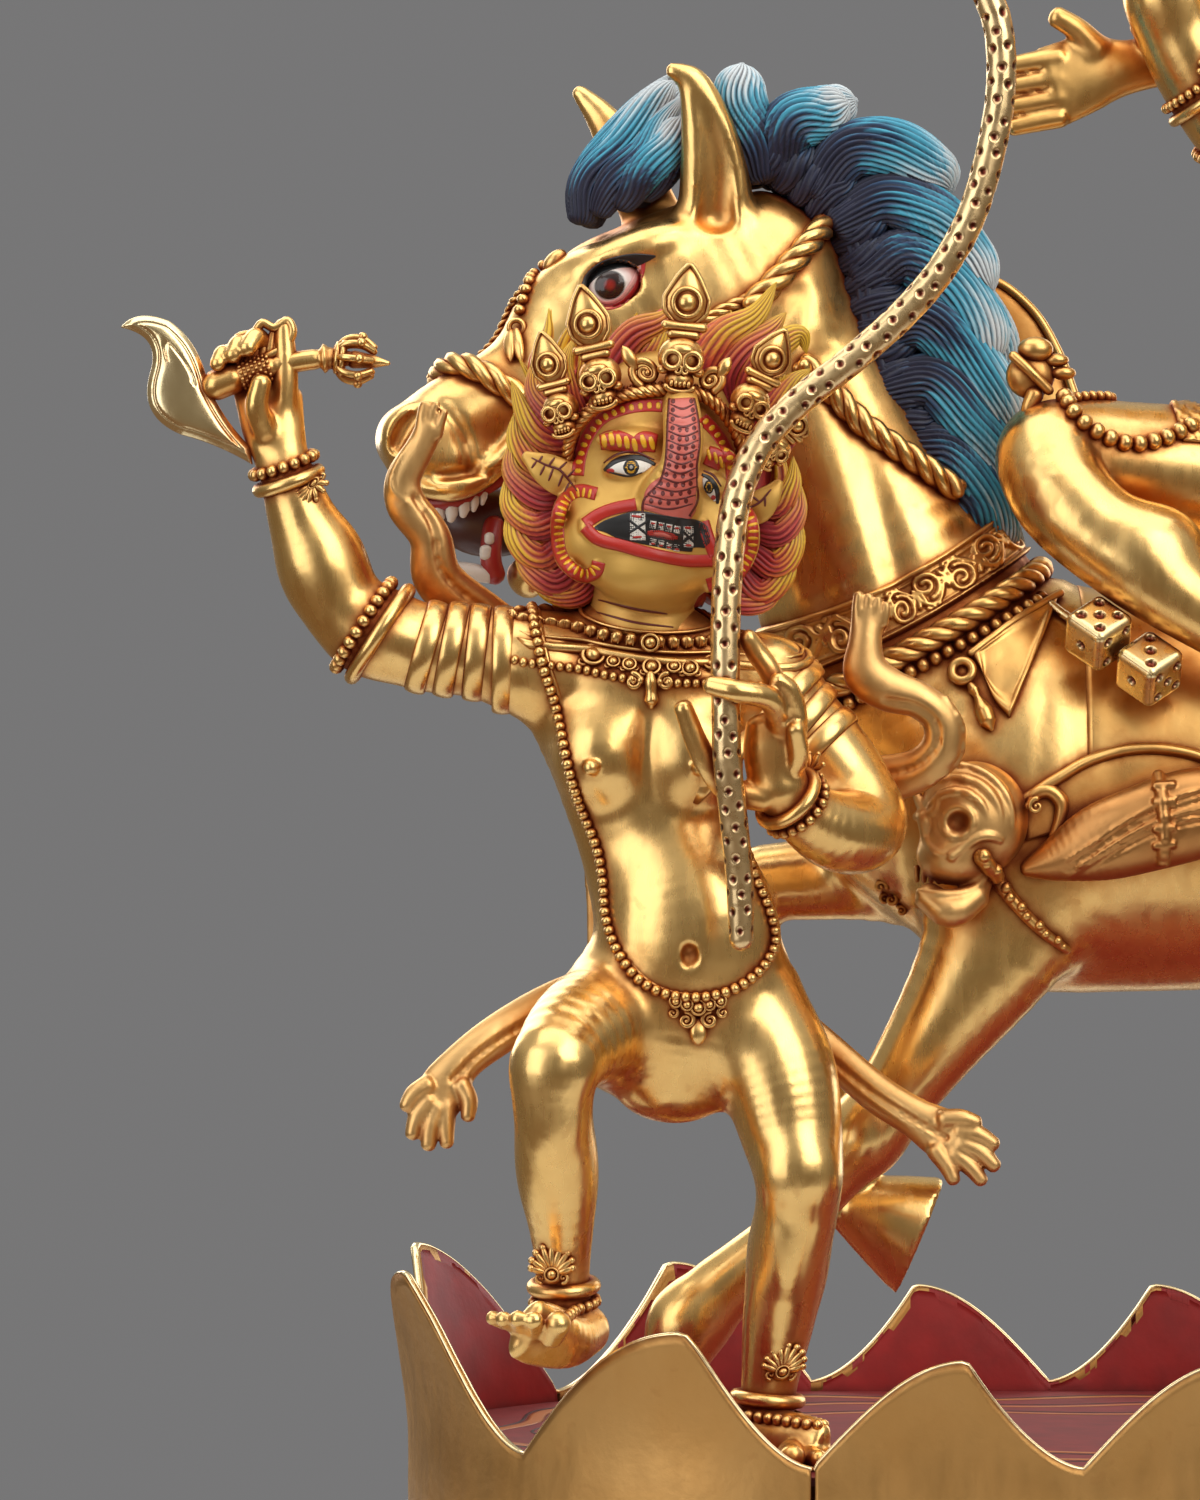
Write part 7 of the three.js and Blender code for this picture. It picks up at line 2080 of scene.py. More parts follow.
def cuff(heap, skin, stations, share, wire, bead, gap=1.0, way=None, beads_first=True):
    """A plain ring with a row of beads beside it."""
    side = 1 if beads_first else -1
    plain = ring_on(skin, stations, share, -side * gap, wire * 0.55, way)
    tube(heap, plain, wire, 12, None, True)
    beside = ring_on(skin, stations, share, side * (bead + wire * 0.6), bead * 0.6, way)
    beads(heap, beside, bead, True, 1.75)


def fan(heap, centre, size, right, up, facing, feathers=7):
    """A palmette: feathers spread like a fan over a ringed stone."""
    right, up, facing = unit(right), unit(up), unit(facing)
    centre = np.asarray(centre, float)
    ball(
        heap, centre - facing * size * 0.1 + up * size * 0.15, (size * 0.62, size * 0.62, size * 0.2),
        (right, up, facing), 6, 14
    )
    for k in range(feathers):
        angle = math.radians(-72 + 144 * k / (feathers - 1))
        way = up * math.cos(angle) + right * math.sin(angle)
        reach = size * (1.0 if k in (0, feathers - 1) else 1.12 + 0.25 * math.cos(angle * 1.6))
        start, stop = centre + way * size * 0.3, centre + way * reach + facing * size * 0.05
        tube(
            heap, [start, (start + stop) / 2 + facing * size * 0.08, stop],
            [size * 0.13, size * 0.21, size * 0.14], 8
        )
        ball(heap, stop, size * 0.19, None, 6, 10)
    cabochon(heap, centre + facing * size * 0.14, size * 0.32, right, up, facing)
    for side in (-1, 1):
        scroll(
            heap, centre + right * side * size * 0.52 - up * size * 0.14, size * 0.26, right * side, up,
            size * 0.1, 1.1, 1, -90
        )

# %% Necklace
jewels = Heap()


def laid_line(skin, run, proud, steps=8):
    """A line on the skin through [x, z] places, as the viewer sees them."""
    line = flat_line(run, steps)
    hits = [skin.seen(x, z, proud=proud) for x, _, z in line]
    spare = [skin.nearest(skin.place + (x, -4, z), proud) for x, _, z in line]
    hits = [hit if hit[0] is not None else near for hit, near in zip(hits, spare)]
    return np.array([h[0] for h in hits]), [h[1] for h in hits]


def tilted_ring(skin, centre, normal, proud, count=72):
    normal = unit(normal)
    across = unit(np.cross(DEPTH, normal))
    return skin.around(np.asarray(centre, float), across, np.cross(normal, across), count, proud)


COLLAR_MIDDLE = ATTENDANT + (-9.6, -1.2, 139.8)
neck_tilt = unit((0.10, -0.42, 1))
collar_ring = tilted_ring(BODY_SKIN, COLLAR_MIDDLE, neck_tilt, 0.9)
tiles = even(collar_ring, 2.35, True)
along, across, deep = frames(tiles, None, True)
outwards = unit(tiles - COLLAR_MIDDLE)
for p, w, o in zip(tiles, along, outwards):
    up = unit(np.cross(w, o))
    ball(jewels, p, (1.05, 1.25, 0.95), (w, up, o), 6, 12)
    for s in (-0.55, 0.55):
        rib = [p + w * s + up * t + o * 0.75 for t in (-0.7, 0, 0.7)]
        tube(jewels, rib, 0.14, 5)
for lift in (1.35, -1.35):
    edge = tilted_ring(BODY_SKIN, COLLAR_MIDDLE + neck_tilt * lift, neck_tilt, 0.95)
    tube(jewels, edge, 0.34, 7, None, True)
hit, normal = BODY_SKIN.seen(-8.4, 136)
cabochon(jewels, hit + (0, -1.9, 0), 1.35, RIGHT, UP, (0, -1, 0.1))
plain_ring = tilted_ring(BODY_SKIN, ATTENDANT + (-9.6, -1.2, 137.0), neck_tilt, 0.5)
tube(jewels, plain_ring, 0.85, 10, None, True)
bead_ring = tilted_ring(BODY_SKIN, ATTENDANT + (-9.7, -1.2, 134.9), unit((0.1, -0.5, 1)), 0.5)
beads(jewels, bead_ring, 0.85, True, 1.8)

# %% Clasp and pendant
CLASP = [
    ((-17.6, 133.8), 2.1), ((-14.4, 132.6), 1.2), ((-11.8, 132.2), 1.25), ((-8.2, 131.8), 1.6),
    ((-4.6, 131.8), 1.25), ((-2, 131.6), 1.5), ((1.6, 132.4), 1.6)
]
for (x, z), size in CLASP:
    hit, normal = BODY_SKIN.seen(x, z)
    axis_up = unit(np.cross(normal, (1, 0, 0)))
    axis_up = axis_up if axis_up[2] > 0 else -axis_up
    cabochon(jewels, hit + normal * 0.7, size * 0.85, (1, 0, 0), axis_up, normal)
    for side in (-1, 1):
        scroll(
            jewels, hit + normal * 0.6 + (side * size * 0.9, 0, -size * 0.5), size * 0.6, (side, 0, 0),
            axis_up, size * 0.24, 1.1
        )
for (x, z), size, side in (((-11.2, 129.6), 1.35, -1), ((-5.8, 129.6), 1.35, 1)):
    hit, normal = BODY_SKIN.seen(x, z)
    scroll(jewels, hit + normal * 0.7, size, (side, 0, 0), UP, 0.5, 1.5)
drop, _ = laid_line(BODY_SKIN, [(-8.4, 130.6), (-8.3, 128.2), (-8.2, 125.6)], 0.8)
tube(jewels, drop, sizes_along(len(drop), [0, 0.2, 0.6, 0.85, 1], [0.7, 1.05, 0.9, 1.25, 0.5]), 10)
jewels.piece("attendant_necklace", GILT, ("necklace",))

# %% Long bead chain
CHAIN_RUN = [
    (-28, 141.6), (-27.3, 137.6), (-26, 131.8), (-24.6, 127.6), (-23.2, 123), (-22.3, 118.4),
    (-21.3, 114.2), (-20.2, 110.4), (-18.4, 106), (-16.8, 101.6), (-15.8, 96), (-15.4, 91),
    (-13.8, 85.6), (-11, 81.2), (-7.4, 78.8), (-3, 77.8), (2, 78), (6.4, 79.6), (10, 82.6),
    (11.8, 86.4), (11.2, 91), (8.6, 97.6), (6.4, 104), (5.6, 112),
]
PENDANT = (-0.6, 76.4)
chain = Heap()
line, _ = laid_line(BODY_SKIN, CHAIN_RUN, 0.5)
beads(chain, line, 0.98, False, 1.72, 0.9)
cord_line, _ = laid_line(BODY_SKIN, CHAIN_RUN, -0.15)
tube(chain, cord_line + (0.9, 0, 0.1), 0.55, 8)
hit, normal = BODY_SKIN.seen(PENDANT[0], PENDANT[1])
for k in range(5):
    x, z = PENDANT[0] - 3.6 + 1.8 * k, PENDANT[1] + 0.5 * abs(k - 2) - 0.2
    spot, facing = BODY_SKIN.seen(x, z)
    cabochon(chain, spot + facing * 0.9, 1.2 if k == 2 else 0.95, RIGHT, UP, facing)
for side in (-1, 1):
    spot, facing = BODY_SKIN.seen(PENDANT[0] + side * 1.9, PENDANT[1] - 2.4)
    scroll(chain, spot + facing * 0.7, 1.4, (side, 0, 0), UP, 0.5, 1.5)
    scroll(chain, spot + facing * 0.6 + (side * 2.2, 0, 1.2), 1.0, (side, 0, 0), UP, 0.42, 1.2)
spot, facing = BODY_SKIN.seen(PENDANT[0], PENDANT[1] - 4.4)
petal(chain, spot + facing * 0.6 + (0, 0, 1.8), spot + facing * 0.6 + (0, 0, -2.2), 1.15, facing, 0.8)
chain.piece("attendant_bead_chain", GILT, ("bead_chain",))

# %% Arm rings and bracelets
rings = Heap()
cuff(rings, BODY_SKIN, ARM_RIGHT, 0.452, 1.25, 1.2, 1.1, (-0.84, 0, 0.55))
rings.piece("attendant_armlet", GILT, ("armlet",))
right_wrist = Heap()
cuff(right_wrist, BODY_SKIN, ARM_RIGHT, 0.985, 1.15, 1.1, 0.9)
fan(
    right_wrist, ATTENDANT + (-64.2, -8.6, 162.4), 2.7, (0.94, 0.1, 0.33), (-0.25, 0, -0.97),
    (0.35, -0.93, 0), 7
)
right_wrist.piece("attendant_bracelet_right", GILT, ("bracelet_right",))
left_wrist = Heap()
cuff(left_wrist, BODY_SKIN, ARM_LEFT, 0.905, 1.15, 1.0, 0.8, None, False)
fan(
    left_wrist, ATTENDANT + (17.6, -19.6, 114.6), 2.4, (0.6, -0.6, -0.5), (0.4, 0, 0.9),
    (0.5, -0.8, 0.1), 5
)
left_wrist.piece("attendant_bracelet_left", GILT, ("bracelet_left",))

# %% Wrapped bands on the upper arms
wraps = Heap()
for centre, way in (
    ((-45.4, -0.8, 135.8), (-0.96, 0, 0.28)),
    ((-41.4, -0.6, 135.2), (-0.98, 0, 0.2)),
    ((-37.2, -0.3, 134.6), (-0.99, 0, 0.1)),
    ((-32.8, -0.2, 133.8), (-1, 0, 0.02)),
    ((12.8, -0.6, 125.4), (0.72, 0, -0.7)),
    ((16.2, -1, 122.2), (0.76, 0, -0.64)),
    ((19.6, -1.8, 118.8), (0.72, -0.1, -0.68)),
):
    ring = tilted_ring(BODY_SKIN, ATTENDANT + centre, way, 0.16)
    tube(wraps, ring, (0.55, 1.75), 12, way, True)
wraps.piece("arm_wraps", GILT)

# %% Anklets
feet = Heap()
cuff(feet, BODY_SKIN, LEG_RIGHT, 0.935, 1.2, 1.05, 0.9)
fan(feet, ATTENDANT + (-24.6, -16, 32.2), 3.5, RIGHT, UP, (-0.1, -1, 0.05), 9)
feet.piece("attendant_anklet_right", GILT, ("anklet_right",))
feet = Heap()
cuff(feet, BODY_SKIN, LEG_LEFT, 0.905, 1.2, 1.05, 0.9)
fan(feet, ATTENDANT + (13.4, -7.4, 15.4), 3.3, (1, -0.1, 0), (0.25, 0, 1), (0.25, -1, 0.1), 9)
feet.piece("attendant_anklet_left", GILT, ("anklet_left",))
print("attendant's jewellery pieces:", 7)

# %% [markdown]
# ## Chopper
# The blade is a flame of thick plate with a ground edge and two engraved lines. Its handle is turned
# like a baluster, granulated in the middle, and ends in a cup with a point, held across the palm.

# %% Chopper blade
BLADE_OUTLINE = [
    [(-74.2, 165.5), (-80, 169), (-86, 170.5)],
    [(-86, 170.5), (-93.5, 173.5), (-91.2, 181)],
    [(-91.2, 181), (-89.4, 187), (-96.2, 188.3)],
    [(-96.2, 188.3), (-93.5, 191.6), (-88, 189.4)],
    [(-88, 189.4), (-83, 186), (-81.5, 178.5)],
    [(-81.5, 178.5), (-78.5, 172), (-74, 168)],
]
BLADE_PLANE = -5.5
BLADE_THICK = 3.4


def arc(bow, count=14):
    a, b, c = (np.array(p) for p in bow)
    t = np.linspace(0, 1, count, endpoint=False)[:, None]
    return (1 - t) ** 2 * a + 2 * t * (1 - t) * b + t**2 * c


def blade_clay():
    """The blade as clay: the outline's distance sets how thick it is, so that its edge is ground."""
    rim = np.vstack([arc(bow) for bow in BLADE_OUTLINE])
    clay = Clay(ATTENDANT, (-98, -9, 163), (-72, -2, 192), 0.18)
    shape = clay.field.shape
    xs = np.arange(shape[0]) * clay.step + clay.low[0] - ATTENDANT[0]
    zs = np.arange(shape[2]) * clay.step + clay.low[2] - ATTENDANT[2]
    x, z = np.meshgrid(xs, zs, indexing="ij")
    near = np.full(x.shape, 1e3)
    inside = np.zeros(x.shape, bool)
    for p, q in zip(rim, np.roll(rim, -1, 0)):
        run = q - p
        t = np.clip(((x - p[0]) * run[0] + (z - p[1]) * run[1]) / max(run @ run, 1e-9), 0, 1)
        near = np.minimum(near, np.hypot(x - p[0] - t * run[0], z - p[1] - t * run[1]))
        crosses = (p[1] > z) != (q[1] > z)
        inside ^= crosses & (x < p[0] + (z - p[1]) / (run[1] if run[1] else 1e-9) * run[0])
    depth_in = np.where(inside, near, -near)
    half = BLADE_THICK / 2 * (1 - np.exp(-np.clip(depth_in, 0, 9) / 1.1)) * 0.92 + 0.12
    line = np.exp(-(((depth_in - 1.25) / 0.22) ** 2)) * 0.22
    wavy = 2.7 + 0.5 * np.sin((x + z) * 1.1)
    upper = z + x * 0.9 > 103.2
    line = line + np.where(upper, np.exp(-(((depth_in - wavy) / 0.24) ** 2)) * 0.2, 0)
    ys = np.arange(shape[1]) * clay.step + clay.low[1] - ATTENDANT[1] - BLADE_PLANE
    flat = np.abs(ys)[None, :, None] - (half - line)[:, None, :]
    clay.field = np.maximum(flat, -depth_in[:, None, :]).astype(np.float32)
    return clay


fire(blade_clay(), "chopper_plate", BRIGHT_GILT, ("chopper_blade",), rounds=2)

# %% Chopper handle
handle = Heap()
HANDLE_RUN = np.array(
    [
        (-80.6, -5.8, 178.6), (-76, -5.8, 180.4), (-70, -5.8, 182), (-64, -5.8, 183),
        (-59.4, -5.8, 183.2), (-54, -5.8, 182.6)
    ]
)
shaft = smooth_line(HANDLE_RUN + ATTENDANT, 12)
share = np.linspace(0, 1, len(shaft))
turned = np.interp(
    share,
    [0, 0.03, 0.12, 0.16, 0.18, 0.22, 0.34, 0.38, 0.40, 0.6, 0.64, 0.67, 0.70, 0.80, 0.86, 1],
    [1.4, 2.3, 2.3, 1.6, 2.1, 2.3, 2.2, 1.6, 1.8, 1.7, 1.5, 2.6, 1.9, 1.4, 1.2, 0.5],
)
tube(handle, shaft, turned, 16, FRONT)
octagon = shaft[(share > 0.01) & (share < 0.15)]
tube(handle, octagon, 2.55, 8, FRONT)
grains = shaft[(share > 0.19) & (share < 0.36)]
along, across, deep = frames(even(grains, 0.62), FRONT)
for r, (p, a, d) in enumerate(zip(even(grains, 0.62), across, deep)):
    for k in range(13):
        turn = 2 * math.pi * (k + 0.5 * (r % 2)) / 13
        ball(handle, p + (a * math.cos(turn) + d * math.sin(turn)) * 2.25, 0.36, None, 4, 6)
WING = [
    (-77.8, 183.6), (-76.6, 186.6), (-74, 187.4), (-72.6, 189), (-70.6, 188.2), (-68.4, 189.4),
    (-67.6, 187.6), (-69, 185), (-72, 183.4)
]
for side in (-1, 1):
    ridge = [(x + ATTENDANT[0], ATTENDANT[1] - 5.8 + side * 0.5, z + ATTENDANT[2]) for x, z in WING]
    tube(handle, smooth_line(ridge, 5), 0.75, 8)
for k in range(7):
    t = k / 6
    foot = np.array((-76.4 + 7 * t, -5.8, 182.4 + 0.9 * t)) + ATTENDANT
    tip = np.array((-76 + 7.6 * t, -5.8, 186.2 + 1.8 * t - 0.6 * (k % 2))) + ATTENDANT
    tube(handle, [foot, (foot + tip) / 2, tip], [(0.9, 0.8), (1.0, 0.7), (0.6, 0.5)], 8, FRONT)
cup_axis = unit(HANDLE_RUN[-1] - HANDLE_RUN[-2])
cup_root = HANDLE_RUN[-2] + ATTENDANT + cup_axis * -1.0
cup_across = unit(np.cross(DEPTH, cup_axis))
for k in range(8):
    turn = 2 * math.pi * k / 8
    out = cup_across * math.cos(turn) + DEPTH * math.sin(turn)
    rib = [
        cup_root + out * 1.6, cup_root + cup_axis * 1.6 + out * 3.3,
        cup_root + cup_axis * 4 + out * 3.6, cup_root + cup_axis * 6 + out * 2.4
    ]
    tube(handle, smooth_line(rib, 5), 0.62, 8)
    ball(handle, rib[2] + out * 0.3, 0.8, None, 6, 8)
tube(
    handle, [cup_root + cup_axis * 3, cup_root + cup_axis * 6.4, cup_root + cup_axis * 8.6],
    [1.5, 1.1, 0.4], 10
)
for slide, size in ((0.2, 2.3), (1.1, 2.7)):
    tube(handle, circle(cup_root + cup_axis * slide, size, cup_across, DEPTH, 28), 0.5, 8, None, True)
handle.piece("chopper_grip", GILT, ("chopper_handle",))
print("chopper pieces:", 2)

# %% [markdown]
# ## The mule's head: eyes, teeth and headstall
# The eye is a glazed ball with a black upper lid and a red lower one. The mouth shows white teeth in
# red gums. The headstall is twisted rope that lies on the polished skin, with a string of beads, a
# ring and a leaf on the forehead.

# %% Eyes
MULE_SKIN = Skin(MULE, (MULE_POINTS, MULE_QUADS))
EYE_BALL = (5, 3.9, 3.5)
IRIS_BROWN, PUPIL_RED, EYE_PINK = (0.035, 0.014, 0.010), (0.32, 0.02, 0.012), (0.74, 0.46, 0.42)
EYE_TONES = (
    (0.0, PUPIL_RED),
    (0.2, (0.20, 0.014, 0.010)),
    (0.34, (0.02, 0.010, 0.010)),
    (0.62, IRIS_BROWN),
    (0.7, (0.01, 0.01, 0.01)),
    (0.76, (0.76, 0.70, 0.66)),
    (1.1, EYE_PINK),
    (1.6, (0.50, 0.10, 0.09)),
)
eyes = Heap()
lean = math.radians(-EYE_TURN)
for centre, gaze, side in ((EYE, (-0.2, -1, -0.03), -1), (EYE_FAR, (-0.35, 1, -0.1), 1)):
    long_way = np.array((math.cos(lean), 0, math.sin(lean)))
    axes = (long_way, np.cross(DEPTH, long_way) * -1, DEPTH)
    lat = np.linspace(-math.pi / 2, math.pi / 2, 62)[1:-1]
    turn = full_turn(72)
    rim = [(math.cos(v) * math.cos(u), math.cos(v) * math.sin(u), math.sin(v)) for v in lat for u in turn]
    spots = np.array([*rim, (0, 0, -1), (0, 0, 1)]) * EYE_BALL @ np.array(axes)
    off = np.arccos(np.clip(unit(spots) @ unit(gaze), -1, 1))
    tint = np.stack(
        [np.interp(off, [t for t, _ in EYE_TONES], [c[i] for _, c in EYE_TONES]) for i in range(3)], 1
    )
    ball(eyes, MULE + centre + (0, -1.3 * side, 0), EYE_BALL, axes, 60, 72, tint)
eye_points, eye_quads = np.vstack(eyes.points), np.vstack(eyes.quads)
eyes.piece("mule_eyes", GLAZE_PAINT, (), "blue_paint")
print("eye vertices:", len(eye_points))

# %% Lids: a black one above and a red one below
HEAD_SKIN = Skin(MULE, (MULE_POINTS, MULE_QUADS), (eye_points, eye_quads))
LID_UPPER = [
    (-94.7, 196.4, 0.6), (-93.8, 199, 1.5), (-91.5, 201, 1.9), (-88.5, 202, 2), (-85.4, 202.4, 2.1),
    (-82.2, 203, 0.3)
]
LID_LOWER = [
    (-94, 196.2, 0.5), (-92.6, 194.9, 0.8), (-90.6, 194.2, 0.9), (-88.1, 194.9, 0.9),
    (-85.9, 197.2, 0.8), (-84.5, 200.4, 0.9), (-84.2, 202, 0.6)
]
LID_PINK = [
    (-93.2, 196.4, 0.3), (-90.8, 195.1, 0.5), (-88.3, 195.8, 0.6), (-86.5, 197.9, 0.8),
    (-85.1, 200.6, 0.8), (-84.9, 201.8, 0.5)
]
lids = Heap()
for far, side, shift in ((-70.0, -1, (0, 0)), (70.0, 1, (-3.3, 0))):
    brush = Brush(HEAD_SKIN, MULE + (shift[0], 0, shift[1]), far)
    brush.band(LID_LOWER, (0.46, 0.03, 0.03))
    brush.next_coat()
    brush.band(LID_PINK, (0.70, 0.34, 0.31))
    brush.next_coat()
    brush.next_coat()
    brush.band(LID_UPPER, BLACK)
    lids.join(brush.heap)
lids.piece("mule_eyelids", FILM_PAINT, (), "red_paint")

# %% Teeth, gums and tongue
mouth = Heap()
TOOTH_WHITE, GUM_RED, THROAT_BROWN = (0.78, 0.74, 0.68), (0.36, 0.018, 0.015), (0.07, 0.016, 0.010)
ball(mouth, MULE + (-110.5, -4, 157.6), (9.4, 4.6, 6), None, 16, 24, THROAT_BROWN)
UPPER_GUM = [
    (-121.6, -12.6, 160.6), (-117, -14.4, 160.8), (-112.6, -14, 162.8), (-108, -13, 165.6),
    (-104, -12.4, 169)
]
tube(mouth, smooth_line(np.add(UPPER_GUM, MULE), 6), 1.5, 10, paint=GUM_RED)
UPPER_TEETH = [
    (-121.2, -13, 158.4, 1.0), (-119.3, -14.3, 158.2, 1.05), (-117.1, -14.9, 158.7, 1.1),
    (-115, -14.9, 159.5, 1.05), (-113.2, -14.7, 160.5, 0.8), (-111.7, -14.4, 161.6, 0.7)
]
for x, y, z, size in UPPER_TEETH:
    place = MULE + (x, y, z)
    tube(
        mouth, [place + (0.1, 0, 1.2), place + (0, -0.1, 0), place - (0.15, 0.1, 1.0)],
        [(size, 0.7), (size, 0.7), (size * 0.6, 0.5)], 12, FRONT, paint=TOOTH_WHITE
    )
LOWER_GUM = [(-110, -8.4, 157), (-110.4, -10.4, 153.6), (-110.4, -11, 150.6), (-109.8, -10.6, 148.4)]
tube(mouth, smooth_line(np.add(LOWER_GUM, MULE), 6), (1.9, 1.7), 12, paint=GUM_RED)
for x, z, wide, high in ((-110.7, 154.6, 0.85, 0.65), (-111.3, 152.2, 1.05, 1.05)):
    place = MULE + (x, -12.2, z)
    tube(
        mouth, [place - (0, 0, high * 0.6), place + (0, 0, high * 0.6)], [(wide, 0.7), (wide, 0.7)], 12,
        FRONT, paint=TOOTH_WHITE
    )
LOW_TEETH = [(-116.6, -10.4, 149.4), (-113.8, -10.8, 148.9), (-111, -10.8, 148.4)]
tube(mouth, np.add(LOW_TEETH, MULE), [(1.5, 1.4), (1.6, 1.6), (1.4, 1.5)], 14, (0, 0, 1), paint=TOOTH_WHITE)
mouth.piece("mule_teeth", FILM_PAINT, (), "red_paint")
print("mule's upper teeth:", len(UPPER_TEETH))

# %% Headstall
def rope_on(heap, skin, run, radius, pitch=4.2, strands=3):
    """Twisted rope laid on the skin through [x, z] places."""
    line, _ = laid_line(skin, run, radius * 0.55)
    for _ in range(3):
        line[1:-1] = (line[:-2] + 2 * line[1:-1] + line[2:]) / 4
    twisted(heap, line, radius, strands, pitch)
    return line


nose = Heap()
NOSE_ROPE = [
    (-119.6, -2, 182.6), (-118.4, -8.6, 184), (-115.9, -12.6, 184.6), (-111.7, -15.6, 183),
    (-107.9, -16, 180.4), (-104.2, -15.6, 178), (-97, -15.6, 175.2), (-90, -14.6, 174.4)
]
twisted(nose, smooth_line(np.add(NOSE_ROPE, MULE), 8), 2.2, 3, 6.5)
NOSE_ROPE_FAR = [
    (-119.6, -2, 182.6), (-117.8, 3, 183.4), (-112, 5.2, 181), (-104, 7.4, 178), (-96, 8.8, 175.6),
    (-90, 10, 174.4)
]
twisted(nose, smooth_line(np.add(NOSE_ROPE_FAR, MULE), 8), 2.2, 3, 6.5)
nose.piece("mule_noseband", GILT, ("noseband_rope",))

headstall = Heap()
cheek_line = rope_on(
    headstall, MULE_SKIN, [(-66, 194.4), (-62, 198.4), (-57.4, 203.6), (-53, 209), (-50, 212.6)], 2.3, 6
)
rope_on(headstall, MULE_SKIN, [(-84, 185.5), (-77, 190), (-71, 193.6), (-65.4, 196)], 1.1, 6)
rope_on(
    headstall, MULE_SKIN, [(-57, 184.4), (-51, 178.4), (-45.4, 173), (-38, 167.6), (-31, 162.4)], 2.3, 6
)
for x, z in ((-65.4, 195.4), (-84, 185.5)):
    spot, facing = MULE_SKIN.nearest(MULE + (x, -14, z))
    ball(headstall, spot + facing * 0.9, (1.7, 1.5, 1.7), None, 8, 14)
    for k in range(3):
        scroll(headstall, spot + facing * 0.9 + (1.6 * k - 1.6, 0, -1.8), 0.9, RIGHT, UP, 0.4, 1.1)
headstall.piece("mule_headstall", GILT, ("cheek_rope",))

brow = Heap()
STRAP = [(-101.8, 202.4), (-103, 200.2), (-104.2, 197), (-105.2, 193.8)]
strap_line, _ = laid_line(MULE_SKIN, STRAP, 0.5)
beads(brow, strap_line, 1.1, False, 1.9)
STRAP_LOW = [(-104.6, 197.6), (-107.9, 193.4), (-110.2, 190.4), (-112.6, 187)]
strap_line, _ = laid_line(MULE_SKIN, STRAP_LOW, 0.5)
twisted(brow, strap_line, 0.75, 2, 4)
spot, facing = MULE_SKIN.nearest(MULE + (-101, -6, 205))
ball(brow, spot, (1.5, 1.5, 2.5), (unit((0.7, 0, -0.7)), DEPTH, unit((0.7, 0, 0.7))), 9, 16)
spot, facing = MULE_SKIN.nearest(MULE + (-106.3, -12, 191.1))
tube(brow, circle(spot + facing * 0.7, 1.25, RIGHT, UP, 24), 0.5, 8, None, True)
for side in (-1, 1):
    leaf_top, _ = MULE_SKIN.seen(side * 0.4 - 106.1, 189.9, proud=0.9)
    leaf_tip, _ = MULE_SKIN.seen(side * 0.9 - 105.9, 184.6, proud=0.9)
    petal(brow, leaf_top, leaf_tip, 0.95, facing, 0.75)
brow.piece("mule_brow_beads", GILT)
print(
    "rope on the cheek:", round(float(np.linalg.norm(np.diff(cheek_line, axis=0), axis=1).sum()), 1),
    "mm"
)

# %% [markdown]
# ## Mane, forelock and tail
# The mane is carved in thick locks that rise from the crest and curl at their ends. They are painted
# navy at the root, then cyan, and dry-brushed almost white at the tips.

# %% Mane
NAVY, DEEP_BLUE, CYAN = (0.010, 0.014, 0.045), (0.016, 0.06, 0.15), (0.05, 0.35, 0.52)
PALE_BLUE, FROST = (0.36, 0.60, 0.72), (0.62, 0.70, 0.74)
MANE_TONES = (NAVY, NAVY, NAVY, DEEP_BLUE, CYAN, CYAN, PALE_BLUE, FROST, FROST)
CREST = [
    (-70, 221), (-62, 219), (-54.6, 214.4), (-49, 207.6), (-46.4, 199), (-45, 189.6),
    (-42.4, 180.4), (-37.6, 171), (-31.6, 162), (-26.4, 153.6),
]
MANE_TIPS = [
    (-67.4, 236.4), (-56, 234.6), (-44.6, 231.6), (-34.4, 222), (-27.4, 211), (-23.4, 199.6),
    (-20.8, 188.4), (-19.8, 176.6), (-18.8, 165), (-18.4, 152.6),
]
# big locks that stand out of the comb, from root to tip
BIG_LOCKS = [
    [(-64, 218), (-66.6, 225), (-67.6, 231), (-67.2, 237)],
    [(-62, 219), (-58.4, 227), (-52, 229.4), (-47.2, 231)],
    [(-54, 215), (-48, 222), (-40, 222.4), (-33.4, 218.4), (-30.4, 215.4)],
    [(-50, 209), (-42, 213.6), (-34, 210.4), (-27.6, 203.6), (-23.6, 197.8)],
    [(-46.6, 200), (-38, 204), (-29.6, 198.4), (-23.4, 190.4), (-21.4, 183.6)],
    [(-45, 190), (-36, 192.6), (-28, 186.4), (-22.6, 178.4), (-20.2, 171.6)],
    [(-42.6, 180), (-34, 182), (-26.6, 174), (-21.6, 165.6), (-19.8, 159)],
    [(-38, 171), (-31.4, 170), (-25.4, 161.6), (-22, 154), (-20.8, 149.4)],
    [(-33, 163), (-28.6, 160), (-25.4, 153.4), (-24, 147.6)],
]
mane = Heap()
crest = flat_line(CREST, 12)
tips = flat_line(MANE_TIPS, 12)
COMB_TONES = (NAVY, NAVY, NAVY, DEEP_BLUE, (0.03, 0.16, 0.30))
LAYERS = (
    (-5.4, 21, 0.40, 0.0), (-2.8, 19, 0.56, 0.5), (0.4, 19, 0.62, 0.25), (3.2, 19, 0.56, 0.6),
    (5.4, 19, 0.40, 0.1)
)
